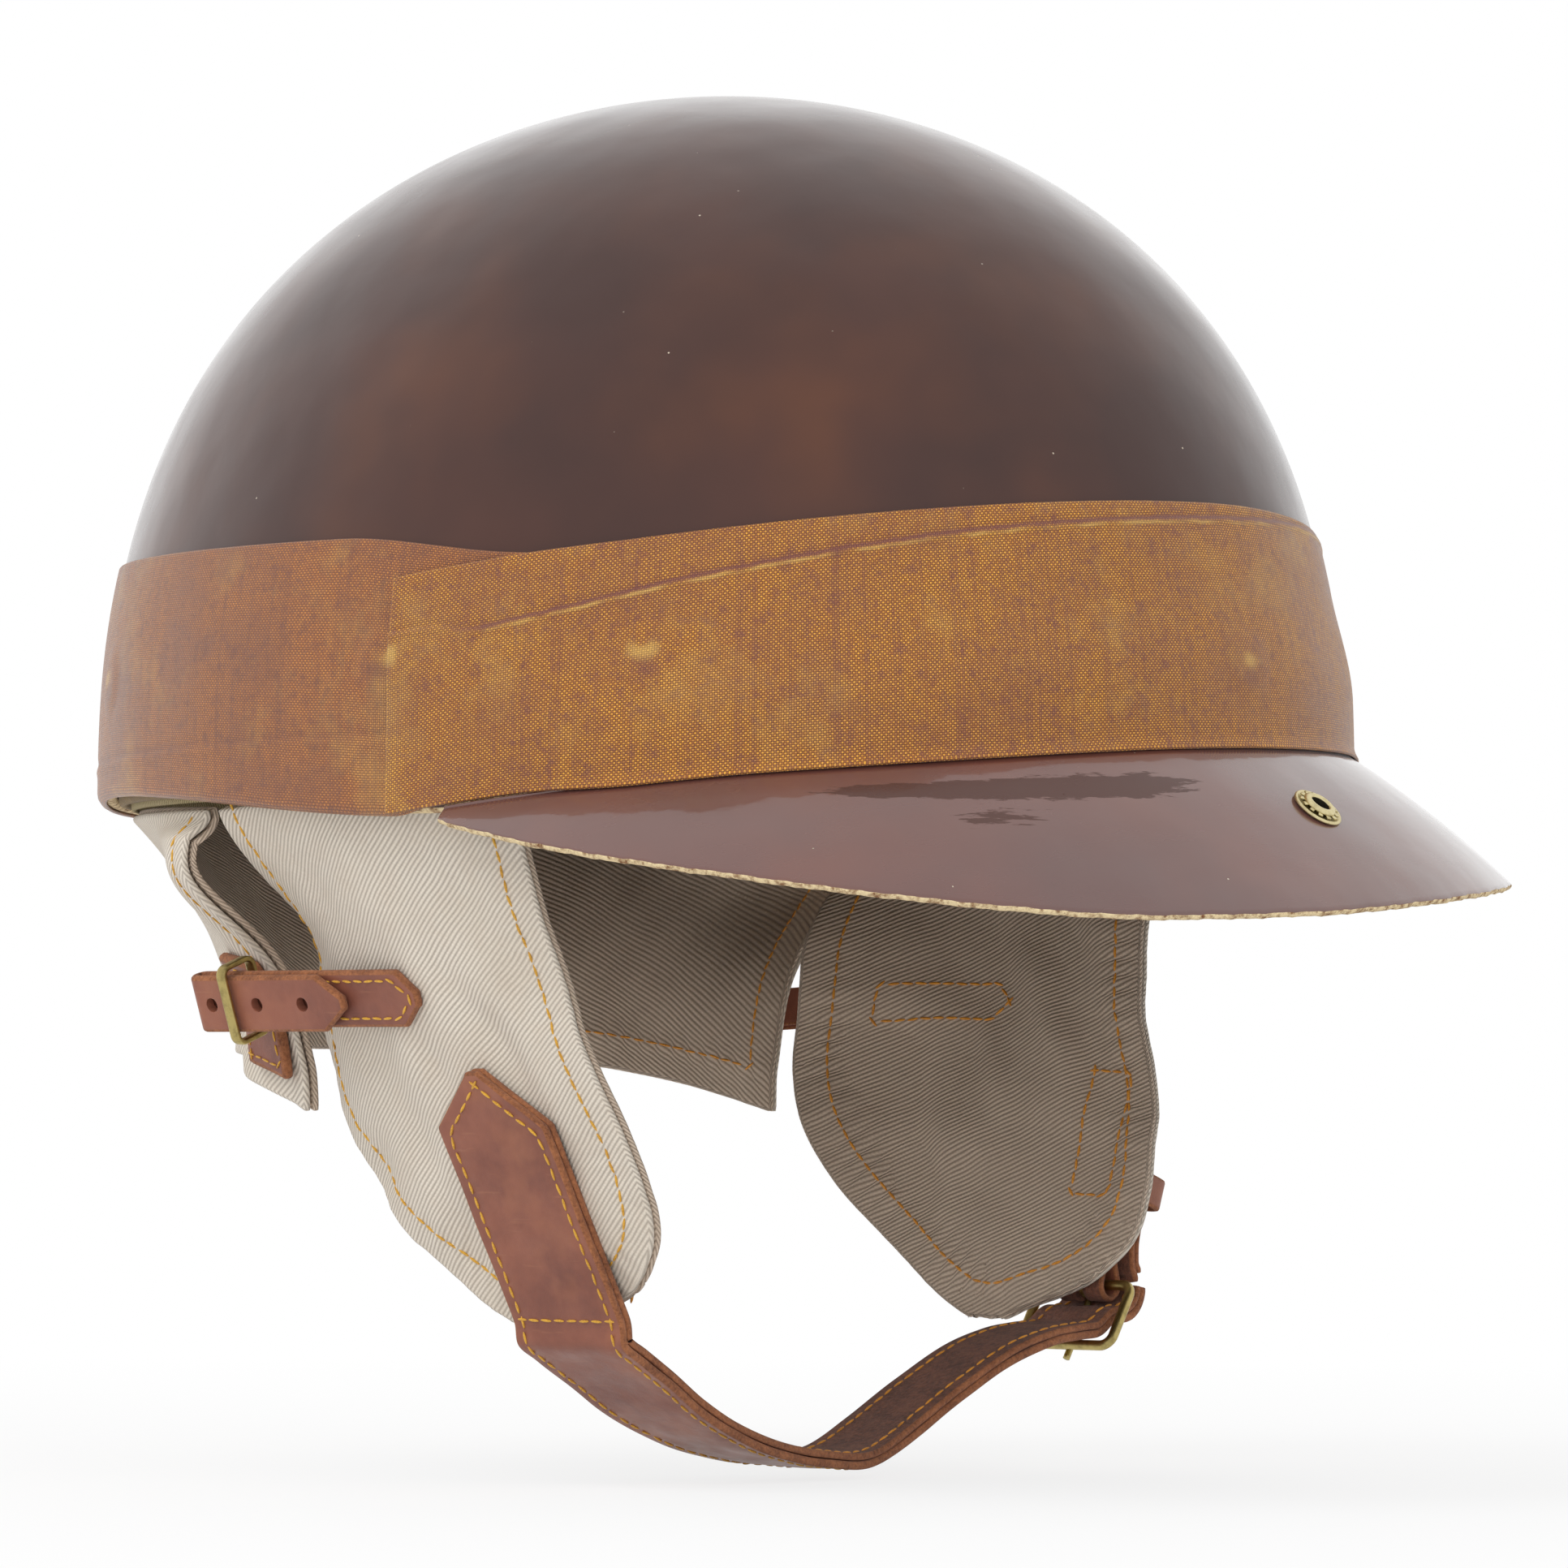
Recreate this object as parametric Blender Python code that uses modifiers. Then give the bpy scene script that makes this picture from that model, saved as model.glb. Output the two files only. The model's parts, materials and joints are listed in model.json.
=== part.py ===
"""Racing helmet of the pudding-basin kind: lacquered shell, peak, cloth skirt and buckled leather straps.

Metres, +Z up. The origin is the centre of the shell's rim, the peak points along +X and the wearer's
left is +Y. Everything is worked out from the named sizes below.
"""
import math

import bmesh
import bpy
from mathutils import Matrix, Vector

# Shell
SHELL_LENGTH = 0.2774
SHELL_WIDTH = 0.2316
SHELL_HEIGHT = 0.149
SHELL_WALL = 0.003
DOME_POWER = 2.5
RIM_EAR_DIP = 0.0042
RIM_NAPE_ARCH = 0.0026
EAR_ANGLE = math.radians(80)
NAPE_ANGLE = math.radians(128)
RIM_WAVE_SPREAD = math.radians(22)
SHELL_LOW_RING_STEP = 0.0125
SHELL_LOW_RINGS = 4

# Clearances
CLEAR = 0.0004
CUT_OVERRUN = 0.004
WELD_DISTANCE = 0.000001
MERGE_DISTANCE = 0.00001

# Linen bands
BAND_THICKNESS = 0.0008
REAR_BAND_TOP = 0.0505
REAR_BAND_LAP_TOP = 0.0462
REAR_BAND_ROLL = 0.0012
FRONT_BAND_HEIGHT = 0.0468
BAND_LAP_ANGLE = math.radians(83.5)
REAR_BAND_START = math.radians(70)

# Peak
PEAK_THICKNESS = 0.0016
PEAK_REACH = 0.050
PEAK_HALF_ANGLE = math.radians(78)
PEAK_TAPER_ANGLE = math.radians(80)
PEAK_ROOT_FRONT = 0.0105
PEAK_ROOT_DROP = 0.015
PEAK_SLOPE_ROOT = math.radians(36)
PEAK_SLOPE_EDGE = math.radians(47)
FLANGE_HEIGHT = 0.012
FLANGE_HALF_ANGLE = math.radians(66)
FLANGE_LEAST_HEIGHT = 0.0003
EYELET_REACH = 0.0215
EYELET_HOLE_RADIUS = 0.00185
EYELET_BARREL_WALL = 0.0004
EYELET_FLANGE_RADIUS = 0.0036
EYELET_FLANGE_THICKNESS = 0.0005
WASHER_RADIUS = 0.0053
WASHER_TOOTH = 0.0007
WASHER_THICKNESS = 0.0005

# Lining and harness
FELT_THICKNESS = 0.0022
FELT_TOP = 0.046
FELT_BOTTOM = 0.0004
HEADING_THICKNESS = 0.0014
HEADING_TOP = 0.0145
HEADING_BOTTOM = -0.0006
HEADING_FRONT_ANGLE = math.radians(66)
HEADBAND_INSET = 0.0335
HEADBAND_THICKNESS = 0.0018
HEADBAND_BOTTOM = 0.006
HEADBAND_TOP = 0.040
SWEATBAND_THICKNESS = 0.0012
SWEATBAND_MARGIN = 0.002
SPACER_WIDTH_ANGLE = math.radians(9)
SPACER_BOTTOM = 0.016
SPACER_TOP = 0.036
RIVET_HEIGHT = 0.0255
RIVET_ANGLES = tuple(math.radians(a) for a in (0, 60, 84, 130, 180, -130, -84, -60))
SPACER_ANGLES = tuple(math.radians(a) for a in (30, 107, 155, -155, -107, -30))
RIVET_HEAD_RADIUS = 0.0045
RIVET_HEAD_THICKNESS = 0.0009
RIVET_SHANK_RADIUS = 0.0016
RIVET_CLINCH_RADIUS = 0.0040
RIVET_CLINCH_THICKNESS = 0.0008
TAPE_THICKNESS = 0.0012
TAPE_WIDTH = 0.019
TAPE_CROWN_WIDTH = 0.009
TAPE_FOOT = 0.017
TAPE_LEAVE = 0.036
LACE_RING_RADIUS = 0.024
LACE_RADIUS = 0.0014
LACE_DROP = 0.032
TAPE_LOOP_SLACK = 0.0014
TAPE_BOW_SHARES = (0.15, 0.4, 0.7)
CROWN_PAD_THICKNESS = 0.006
CROWN_PAD_DROP = 0.007

# Ear flaps
CLOTH_THICKNESS = 0.0011
FLAP_DEPTH = 0.107
FLAP_FRONT = 0.0535
FLAP_REAR = 0.044
FLAP_TOP_GAP = 0.0005
FLAP_TOP_ARCH = 0.0016
FLAP_LEAN_SHARE = 0.36
FLAP_TOE = 0.017
FLAP_TOE_REACH = 0.040
FLAP_TOE_DEPTH = 0.030
FLAP_ROW_SHARE = 1.4
FLAP_FLAT_START = 0.010
FLAP_FLAT_END = 0.060
FLAP_FOLD = 0.0012
FLAP_FRONT_SHARES = ((0, 0.72), (0.12, 0.725), (0.25, 0.75), (0.38, 0.80), (0.5, 0.885), (0.62, 0.965),
                     (0.73, 1.0), (0.83, 0.965), (0.91, 0.82), (0.95, 0.655), (0.98, 0.455), (1.0, 0.34))
FLAP_REAR_SHARES = ((0, 1.0), (0.12, 0.98), (0.25, 0.95), (0.38, 0.93), (0.5, 0.91), (0.62, 0.81),
                    (0.73, 0.62), (0.83, 0.36), (0.91, 0.10), (0.97, -0.15), (1.0, -0.34))

# Neck curtain
CURTAIN_END = 0.0485
CURTAIN_END_LOW = 0.0465
CURTAIN_DEPTH = 0.048
CURTAIN_END_DEPTH = 0.062
CURTAIN_DRAW_LENGTH = 0.0207
CURTAIN_DRAW_WIDTH = 0.0258
CURTAIN_FLARE = 0.013
CURTAIN_FLARE_DEPTH = 0.014
CURTAIN_FLARE_SPREAD = 0.0125
CURTAIN_FLARE_SHARE = 0.16
CURTAIN_SEAM_DEPTH = 0.006
CURTAIN_LOOSE = 0.0008
CURTAIN_ROUND = 0.290
CURTAIN_TOP = -0.0021
CURTAIN_WAVES = 5
CURTAIN_WAVE = 0.0016

# Chin strap
ANCHOR_WIDTH = 0.030
ANCHOR_THICKNESS = 0.0034
ANCHOR_APEX = 0.053
ANCHOR_SHOULDER = 0.064
ANCHOR_FOOT = 0.1026
ANCHOR_APEX_PLACE = 0.0175
ANCHOR_FOOT_PLACE = 0.028
ANCHOR_APEX_WIDTH = 0.003
STRAP_PLY = 0.0015
STRAP_END_WIDTH = 0.0201
STRAP_GAP = 0.0008
STRAP_LEAD = 0.004
STRAP_LIFT = 0.0007
STRAP_LOW = 0.1365
STRAP_END_PLACE = 0.0375
STRAP_ROUTE_SHARES = ((0.919, 0.245), (0.814, 0.40), (0.695, 0.59), (0.551, 0.764), (0.367, 0.905),
                      (0.157, 0.984), (-0.052, 0.997), (-0.249, 0.80), (-0.433, 0.54), (-0.604, 0.311),
                      (-0.748, 0.205), (-0.86, 0.172), (-0.94, 0.156))
STRAP_SWAY_SHARE = 0.35
STRAP_SWAY_LATE_SHARE = 0.55
STRAP_SWAY_SPAN_SHARE = 0.27
STRAP_TAPER_SHARE = 0.6
STRAP_TURN_RADIUS = 0.0046
STRAP_STEPS = 38
CHAPE_THICKNESS = 0.0014
CHAPE_SLACK = 0.0011
CHAPE_WIDTH = 0.013
CHAPE_TOP = 0.050
CHAPE_OUTER_TOP = 0.068
CHAPE_SLOT_CLEAR = 0.0006
CHAPE_SLOT_REACH = 0.0006
CHAPE_RISE_SHARES = ((0.20, 0.32), (0.34, 0.05), (0.5, 0.0), (0.75, 0.0), (1.0, 0.0))
BUCKLE_BAR = 0.0011
BUCKLE_DROP = 0.0126
BUCKLE_SPAN = 0.0080
BUCKLE_CORNER = 0.0026
BUCKLE_HALF_WIDTH = 0.0122
HEEL_DEPTH = 0.0967
HEEL_LIFT = 0.0006
PRONG_RADIUS = 0.00075
PRONG_EYE_RADIUS = 0.0022
PRONG_OVERHANG = 0.0022
PRONG_HOLE_RADIUS = 0.0018
TAIL_TOP = 0.066
TAIL_THICKNESS = 0.0030
TAIL_WIDTH = 0.019
TAIL_SEAT = 0.0041
TAIL_BULGE = 0.0030
TAIL_RISE_SHARES = ((0.20, 0.55), (0.32, 0.12), (0.45, 0.0), (0.62, 0.0), (0.8, 0.0), (1.0, 0.0))
KEEPER_HEIGHT = 0.007
KEEPER_THICKNESS = 0.0013
KEEPER_DEPTH = 0.076
KEEPER_FOOT = 0.004

# Adjusters
ADJUSTER_DEPTH = 0.0392
ADJUSTER_HEIGHT = 0.0125
ADJUSTER_PLY = 0.0020
ADJUSTER_TIP = 0.007
ADJUSTER_POINT = 0.0045
ADJUSTER_POINT_SHARE = 0.2
ADJUSTER_FOLD = 0.0535
ADJUSTER_FREE_TIP = 0.011
ADJUSTER_PLY_GAP = 0.0007
ADJUSTER_HOLE_RADIUS = 0.0015
ADJUSTER_HOLE_PITCH = 0.0127
ADJUSTER_HOLE_START = 0.0225
ADJUSTER_HOLES = 3
ADJUSTER_FRAME_PLACE = 0.0418
ADJUSTER_FRAME_BAR = 0.0010
ADJUSTER_FRAME_CORNER = 0.0018
LOOP_PLY = 0.0011
LOOP_HEIGHT = 0.009
LOOP_SLACK = 0.0004
LOOP_SEAT = 0.0009
LOOP_BACK_SHARE = 0.45
LOOP_FRONT_SHARE = 0.85
PATCH_THICKNESS = 0.0020
PATCH_WIDTH = 0.018
PATCH_TOP = 0.030
PATCH_HEIGHT = 0.026
PATCH_MARGIN = 0.003
PATCH_SEAT = 0.0009

# Mesh fineness
RING_STEPS = 64
FULL_TURN = 2 * math.pi

PARTS_NAME = "racing_helmet"


def clear_scene():
    """Remove what the scene holds."""
    for item in list(bpy.data.objects):
        bpy.data.objects.remove(item, do_unlink=True)


def make_collection(name):
    """Make a collection under the scene's own."""
    collection = bpy.data.collections.new(name)
    bpy.context.scene.collection.children.link(collection)
    return collection


def make_material(name, colour, roughness, metallic=0.0):
    """Make a Principled material of one colour."""
    material = bpy.data.materials.new(name)
    material.use_nodes = True
    shader = material.node_tree.nodes["Principled BSDF"]
    shader.inputs["Base Color"].default_value = (*colour, 1.0)
    shader.inputs["Roughness"].default_value = roughness
    shader.inputs["Metallic"].default_value = metallic
    return material


def add_piece(name, data, finish):
    """Put a mesh or a curve in the parts collection under its node name."""
    piece = bpy.data.objects.new(name, data)
    data.materials.append(make_material(name, *finish))
    PARTS.objects.link(piece)
    return piece


LACQUER = ((0.10, 0.045, 0.03), 0.15)
LINEN = ((0.42, 0.20, 0.06), 0.6)
FELT = ((0.40, 0.30, 0.14), 0.95)
TWILL = ((0.50, 0.46, 0.39), 0.9)
LEATHER = ((0.26, 0.10, 0.05), 0.5)
WEBBING = ((0.55, 0.48, 0.34), 0.85)
BRASS = ((0.50, 0.38, 0.18), 0.35, 1.0)


# Curves and surfaces shared by the pieces

def smooth_step(value):
    """Ease from 0 to 1 as value goes from 0 to 1."""
    share = min(max(value, 0.0), 1.0)
    return share * share * (3 - 2 * share)


def along(shares, place):
    """Read a smooth curve through (place, value) shares."""
    last = len(shares) - 1
    for index in range(last):
        if place <= shares[index + 1][0] or index == last - 1:
            break
    low, high = shares[index], shares[index + 1]
    before = shares[max(index - 1, 0)]
    after = shares[min(index + 2, last)]
    step = high[0] - low[0]
    share = (place - low[0]) / step
    slope_low = (high[1] - before[1]) / (high[0] - before[0]) * step
    slope_high = (after[1] - low[1]) / (after[0] - low[0]) * step
    square = share * share
    cube = square * share
    return ((2 * cube - 3 * square + 1) * low[1] + (cube - 2 * square + share) * slope_low
            + (3 * square - 2 * cube) * high[1] + (cube - square) * slope_high)


def smooth_route(points, count):
    """Read count evenly spread points from a smooth curve through the given ones."""
    lengths = [0.0]
    for start, end in zip(points, points[1:]):
        lengths.append(lengths[-1] + (end - start).length)
    axes = [[(length, point[axis]) for length, point in zip(lengths, points)] for axis in range(3)]
    places = [lengths[-1] * index / (count - 1) for index in range(count)]
    return [Vector([along(table, place) for table in axes]) for place in places]


def wall_point(angle, height, offset=0.0):
    """Point at an offset outside the shell's outer face."""
    share = max(height, 0.0) / SHELL_HEIGHT
    spread = math.sqrt(max(1 - share ** DOME_POWER, 0.0))
    half_x, half_y = SHELL_LENGTH / 2, SHELL_WIDTH / 2
    point = Vector((half_x * spread * math.cos(angle), half_y * spread * math.sin(angle), height))
    rise = DOME_POWER * share ** (DOME_POWER - 1) / SHELL_HEIGHT
    normal = Vector((2 * point.x / half_x ** 2, 2 * point.y / half_y ** 2, rise)).normalized()
    return point + offset * normal


def rim_wave(angle):
    """Height of the rim, which dips at the ears and rises behind them."""
    ear = (abs(angle) - EAR_ANGLE) / RIM_WAVE_SPREAD
    nape = (abs(angle) - NAPE_ANGLE) / RIM_WAVE_SPREAD
    return RIM_NAPE_ARCH * math.exp(-nape * nape) - RIM_EAR_DIP * math.exp(-ear * ear)


def peak_root(angle):
    """Height at which the peak leaves the shell."""
    return PEAK_ROOT_FRONT - PEAK_ROOT_DROP * (abs(angle) / PEAK_TAPER_ANGLE) ** 1.7


def offset_face(place, distance):
    """Surface parallel to place, a distance along its normal."""
    step = 1e-3

    def moved(across, up):
        left, right = max(across - step, 0.0), min(across + step, 1.0)
        low, high = max(up - step, 0.0), min(up + step, 1.0)
        side = place(right, up) - place(left, up)
        rise = place(across, high) - place(across, low)
        return place(across, up) + distance * side.cross(rise).normalized()

    return moved


def mirrored(place):
    """The same surface on the wearer's left."""
    def moved(across, up):
        point = place(1 - across, up)
        return Vector((point.x, -point.y, point.z))

    return moved


def sheet_mesh(name, place, columns, rows, closed=False):
    """Bend a flat grid over a surface given by its share across and its share up."""
    mesh = bpy.data.meshes.new(name)
    grid = bmesh.new()
    bmesh.ops.create_grid(grid, x_segments=columns, y_segments=rows, size=0.5)
    for vertex in grid.verts:
        vertex.co = place(vertex.co.x + 0.5, vertex.co.y + 0.5)
    if closed:
        bmesh.ops.remove_doubles(grid, verts=grid.verts, dist=WELD_DISTANCE)
    grid.to_mesh(mesh)
    grid.free()
    mesh.shade_smooth()
    return mesh


def thicken(piece, thickness):
    """Give an open surface its wall, inwards from its face."""
    wall = piece.modifiers.new("wall", "SOLIDIFY")
    wall.thickness = thickness
    wall.offset = -1
    wall.use_even_offset = True
    return piece


def skin(name, place, thickness, columns, rows, finish, closed=False):
    """A bent sheet with a wall."""
    piece = add_piece(name, sheet_mesh(name, place, columns, rows, closed), finish)
    return thicken(piece, thickness)


def ribbon_place(points, widths, side):
    """Surface of a strip that follows points, with its width along the side direction."""
    last = len(points) - 1

    def place(across, up):
        index = min(int(across * last + 0.5), last)
        return points[index] + side * widths[index] * (up - 0.5)

    return place


def ribbon(name, points, widths, side, thickness, finish, rows=1):
    """A leather strip or tape along a route, with its wall inwards of the route."""
    place = ribbon_place(points, widths, side)
    return skin(name, place, thickness, len(points) - 1, rows, finish)


def tube(name, points, radius, finish, cyclic=False, resolution=2):
    """A round wire along points."""
    curve = bpy.data.curves.new(name, "CURVE")
    curve.dimensions = "3D"
    curve.bevel_depth = radius
    curve.bevel_resolution = resolution
    curve.use_fill_caps = True
    spline = curve.splines.new("POLY")
    spline.points.add(len(points) - 1)
    for vertex, point in zip(spline.points, points):
        vertex.co = (*point, 1.0)
    spline.use_cyclic_u = cyclic
    spline.use_smooth = True
    return add_piece(name, curve, finish)


def facing(normal, place, side=None):
    """Matrix that turns +Z to the normal and moves to place."""
    aim = normal.normalized()
    hint = side or (Vector((0, 0, 1)) if abs(aim.z) < 0.9 else Vector((1, 0, 0)))
    first = hint.cross(aim).normalized()
    second = aim.cross(first)
    turn = Matrix((first, second, aim)).transposed().to_4x4()
    return Matrix.Translation(place) @ turn


def add_disc(mesh, matrix, radius, low, high, segments=12):
    """Add a closed cylinder to a bmesh, from low to high along its axis."""
    middle = Matrix.Translation((0, 0, (low + high) / 2))
    bmesh.ops.create_cone(mesh, cap_ends=True, segments=segments, radius1=radius, radius2=radius,
                          depth=high - low, matrix=matrix @ middle)


def bmesh_piece(name, mesh, finish):
    """Keep a bmesh as a piece."""
    data = bpy.data.meshes.new(name)
    mesh.to_mesh(data)
    mesh.free()
    return add_piece(name, data, finish)


def cutter(name, mesh):
    """Keep a bmesh as a tool that cuts."""
    data = bpy.data.meshes.new(name)
    mesh.to_mesh(data)
    mesh.free()
    tool = bpy.data.objects.new(name, data)
    tool.hide_render = True
    tool.display_type = "WIRE"
    CUTTERS.objects.link(tool)
    return tool


def cut(piece, tool):
    """Take the tool's volume out of the piece."""
    modifier = piece.modifiers.new(tool.name, "BOOLEAN")
    modifier.operation = "DIFFERENCE"
    modifier.solver = "EXACT"
    modifier.object = tool


def turned_mesh(name, profile, segments=16, closed=False):
    """Turn a profile of (radius, height) points, listed down its outer side, about the Z axis."""
    outline = bpy.data.meshes.new(name)
    edges = [(index, index + 1) for index in range(len(profile) - 1)]
    if closed:
        edges.append((len(profile) - 1, 0))
    outline.from_pydata([(radius, 0, height) for radius, height in profile], edges, [])
    holder = bpy.data.objects.new(name, outline)
    PARTS.objects.link(holder)
    turn = holder.modifiers.new("turn", "SCREW")
    turn.steps = segments
    turn.render_steps = segments
    turn.use_merge_vertices = True
    turn.merge_threshold = MERGE_DISTANCE
    graph = bpy.context.evaluated_depsgraph_get()
    mesh = bpy.data.meshes.new_from_object(holder.evaluated_get(graph))
    bpy.data.objects.remove(holder, do_unlink=True)
    return mesh


def placed(name, mesh, matrix, finish):
    """A turned piece set at a matrix."""
    mesh.transform(matrix)
    piece = add_piece(name, mesh, finish)
    mesh.shade_smooth()
    mesh.set_sharp_from_angle(angle=math.radians(40))
    return piece


# Depths of the layers, measured inwards from the shell's outer face
FELT_FACE = SHELL_WALL + CLEAR
SKIRT_FACE = FELT_FACE + FELT_THICKNESS + CLEAR
TAPE_SEAT_GAP = 0.0008
TAPE_FACE = FELT_FACE + FELT_THICKNESS + TAPE_SEAT_GAP
SKIRT_HALF_LENGTH = SHELL_LENGTH / 2 - SKIRT_FACE
SKIRT_HALF_WIDTH = SHELL_WIDTH / 2 - SKIRT_FACE
PEAK_FACE = CLEAR + PEAK_THICKNESS
LACE_LEVEL = SHELL_HEIGHT - LACE_DROP
PLY_GAP = 0.0007


# Shell and bands

def rivet_frames():
    """Matrix at each rivet, with +Z out of the shell's face."""
    frames = []
    for angle in RIVET_ANGLES:
        face = wall_point(angle, RIVET_HEIGHT)
        frames.append(facing(wall_point(angle, RIVET_HEIGHT, CLEAR) - face, face))
    return frames


def rivet_hole_cutter(name, depth_low, depth_high, radius):
    """Holes for the rivets between two depths below the shell's face."""
    holes = bmesh.new()
    for frame in rivet_frames():
        add_disc(holes, frame, radius, -depth_low, -depth_high)
    return cutter(name, holes)


def build_shell():
    """The moulded shell: a turned dome, drawn in at the sides, with the rivets' seats in its face."""
    low_rings = [SHELL_LOW_RING_STEP * ring for ring in range(1, SHELL_LOW_RINGS + 1)]
    low_share = math.asin((low_rings[-1] / SHELL_HEIGHT) ** (DOME_POWER / 2))
    crown_rings = 9
    profile = []
    for ring in range(crown_rings + 1):
        lean = math.pi / 2 + (low_share - math.pi / 2) * ring / crown_rings
        height = SHELL_HEIGHT * math.sin(lean) ** (2 / DOME_POWER)
        profile.append((SHELL_LENGTH / 2 * math.cos(lean), height))
    profile[0] = (0.0, SHELL_HEIGHT)
    for height in reversed([0.0] + low_rings[:-1]):
        profile.append((wall_point(0, height).x, height))
    mesh = turned_mesh("shell", profile, RING_STEPS)
    for vertex in mesh.vertices:
        angle = math.atan2(vertex.co.y, vertex.co.x)
        vertex.co.y *= SHELL_WIDTH / SHELL_LENGTH
        if vertex.co.z < CLEAR:
            vertex.co.z = rim_wave(angle)
    mesh.shade_smooth()
    shell = thicken(add_piece("shell", mesh, LACQUER), SHELL_WALL)
    seat = RIVET_HEAD_THICKNESS + CLEAR
    cut(shell, rivet_hole_cutter("rivet_seats", seat, -CUT_OVERRUN, RIVET_HEAD_RADIUS + CLEAR))
    cut(shell, RIVET_HOLES)


def build_rear_band():
    """Linen strip round the back, its ends cut to clear the peak's root."""
    def low_edge(angle):
        over_peak = peak_root(angle) + FLANGE_LEAST_HEIGHT + 2 * CLEAR
        rolled = rim_wave(angle) - REAR_BAND_ROLL
        share = smooth_step((abs(angle) - PEAK_HALF_ANGLE - math.radians(1)) / math.radians(4.5))
        return over_peak + (rolled - over_peak) * share

    def place(across, up):
        turn = REAR_BAND_START + (FULL_TURN - 2 * REAR_BAND_START) * across
        angle = turn if turn <= math.pi else turn - FULL_TURN
        lap = 1 - smooth_step((abs(angle) - REAR_BAND_START) / (math.pi / 2 - REAR_BAND_START))
        high = REAR_BAND_TOP + (REAR_BAND_LAP_TOP - REAR_BAND_TOP) * lap
        low = low_edge(angle)
        return wall_point(angle, low + (high - low) * up, CLEAR + BAND_THICKNESS)

    skin("rear_band", place, BAND_THICKNESS, 44, 4, LINEN)


def build_front_band():
    """Linen strip round the front, over the peak's flange and lapped over the rear strip."""
    def place(across, up):
        angle = BAND_LAP_ANGLE * (2 * across - 1)
        over_flange = PEAK_FACE + CLEAR
        over_band = CLEAR + BAND_THICKNESS + CLEAR
        share = smooth_step((abs(angle) - math.radians(60)) / math.radians(12))
        seat = over_flange + (over_band - over_flange) * share
        low = peak_root(angle) + FLANGE_LEAST_HEIGHT + CLEAR
        return wall_point(angle, low + FRONT_BAND_HEIGHT * up, seat + BAND_THICKNESS)

    skin("front_band", place, BAND_THICKNESS, 36, 4, LINEN)


# Peak

BRIM_SHARE = 2 / 3


def brim_point(angle, reach_share):
    """Point on the brim's top face, from its root to its edge."""
    root_height = peak_root(angle)
    root = wall_point(angle, root_height, PEAK_FACE)
    half_x, half_y = SHELL_LENGTH / 2, SHELL_WIDTH / 2
    out = Vector((math.cos(angle) / half_x, math.sin(angle) / half_y, 0)).normalized()
    reach = PEAK_REACH * (1 - (abs(angle) / PEAK_TAPER_ANGLE) ** 2.2) * reach_share
    slope = PEAK_SLOPE_ROOT + (PEAK_SLOPE_EDGE - PEAK_SLOPE_ROOT) * reach_share / 2
    return root + reach * math.cos(slope) * out - Vector((0, 0, reach * math.sin(slope)))


def peak_place(across, up):
    """The peak's top face from its edge, up the brim and up the flange that is glued to the shell."""
    angle = PEAK_HALF_ANGLE * (2 * across - 1)
    if up <= BRIM_SHARE:
        return brim_point(angle, 1 - up / BRIM_SHARE)
    tall = max(FLANGE_HEIGHT * (1 - (angle / FLANGE_HALF_ANGLE) ** 2), FLANGE_LEAST_HEIGHT)
    height = peak_root(angle) + tall * (up - BRIM_SHARE) / (1 - BRIM_SHARE)
    return wall_point(angle, height, PEAK_FACE)


def eyelet_frame():
    """Matrix at the eyelet, with +Z out of the peak's top face."""
    share = EYELET_REACH / PEAK_REACH
    middle = brim_point(0, share)
    rise = brim_point(0, share - 0.05) - brim_point(0, share + 0.05)
    return facing(Vector((0, 1, 0)).cross(rise), middle)


def build_peak():
    """The fibre peak with the hole for its eyelet."""
    peak = skin("peak", peak_place, PEAK_THICKNESS, 44, 6, LACQUER)
    hole = bmesh.new()
    barrel = EYELET_HOLE_RADIUS + EYELET_BARREL_WALL
    add_disc(hole, eyelet_frame(), barrel + CLEAR, -PEAK_THICKNESS - CUT_OVERRUN, CUT_OVERRUN, 20)
    cut(peak, cutter("eyelet_hole", hole))


def build_eyelet():
    """Brass eyelet rolled over on both sides of the peak, with a toothed washer under its flange."""
    barrel = EYELET_HOLE_RADIUS + EYELET_BARREL_WALL
    washer_low = CLEAR
    washer_high = washer_low + WASHER_THICKNESS
    flange_low = washer_high + CLEAR
    flange_high = flange_low + EYELET_FLANGE_THICKNESS
    foot_high = -PEAK_THICKNESS - CLEAR
    foot_low = foot_high - EYELET_FLANGE_THICKNESS
    foot_radius = EYELET_FLANGE_RADIUS - EYELET_BARREL_WALL
    profile = [(EYELET_HOLE_RADIUS, flange_high), (EYELET_FLANGE_RADIUS, flange_high),
               (EYELET_FLANGE_RADIUS, flange_low), (barrel, flange_low), (barrel, foot_high),
               (foot_radius, foot_high), (foot_radius, foot_low), (EYELET_HOLE_RADIUS, foot_low)]
    frame = eyelet_frame()
    placed("peak_eyelet", turned_mesh("peak_eyelet", profile, 20, closed=True), frame, BRASS)
    tooth_steps = 28

    def washer(across, up):
        turn = FULL_TURN * across
        tooth = WASHER_TOOTH if round(across * tooth_steps) % 2 else 0.0
        inner = barrel + CLEAR
        radius = inner + (WASHER_RADIUS - tooth - inner) * (1 - up)
        return frame @ Vector((radius * math.cos(turn), radius * math.sin(turn), washer_high))

    skin("peak_eyelet_washer", washer, WASHER_THICKNESS, tooth_steps, 1, BRASS, closed=True)


# Lining and harness

def ring_place(inset, low, high):
    """A face all round the helmet at an inset from the shell's face."""
    def place(across, up):
        return wall_point(FULL_TURN * across, low + (high - low) * up, -inset)

    return place


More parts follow.
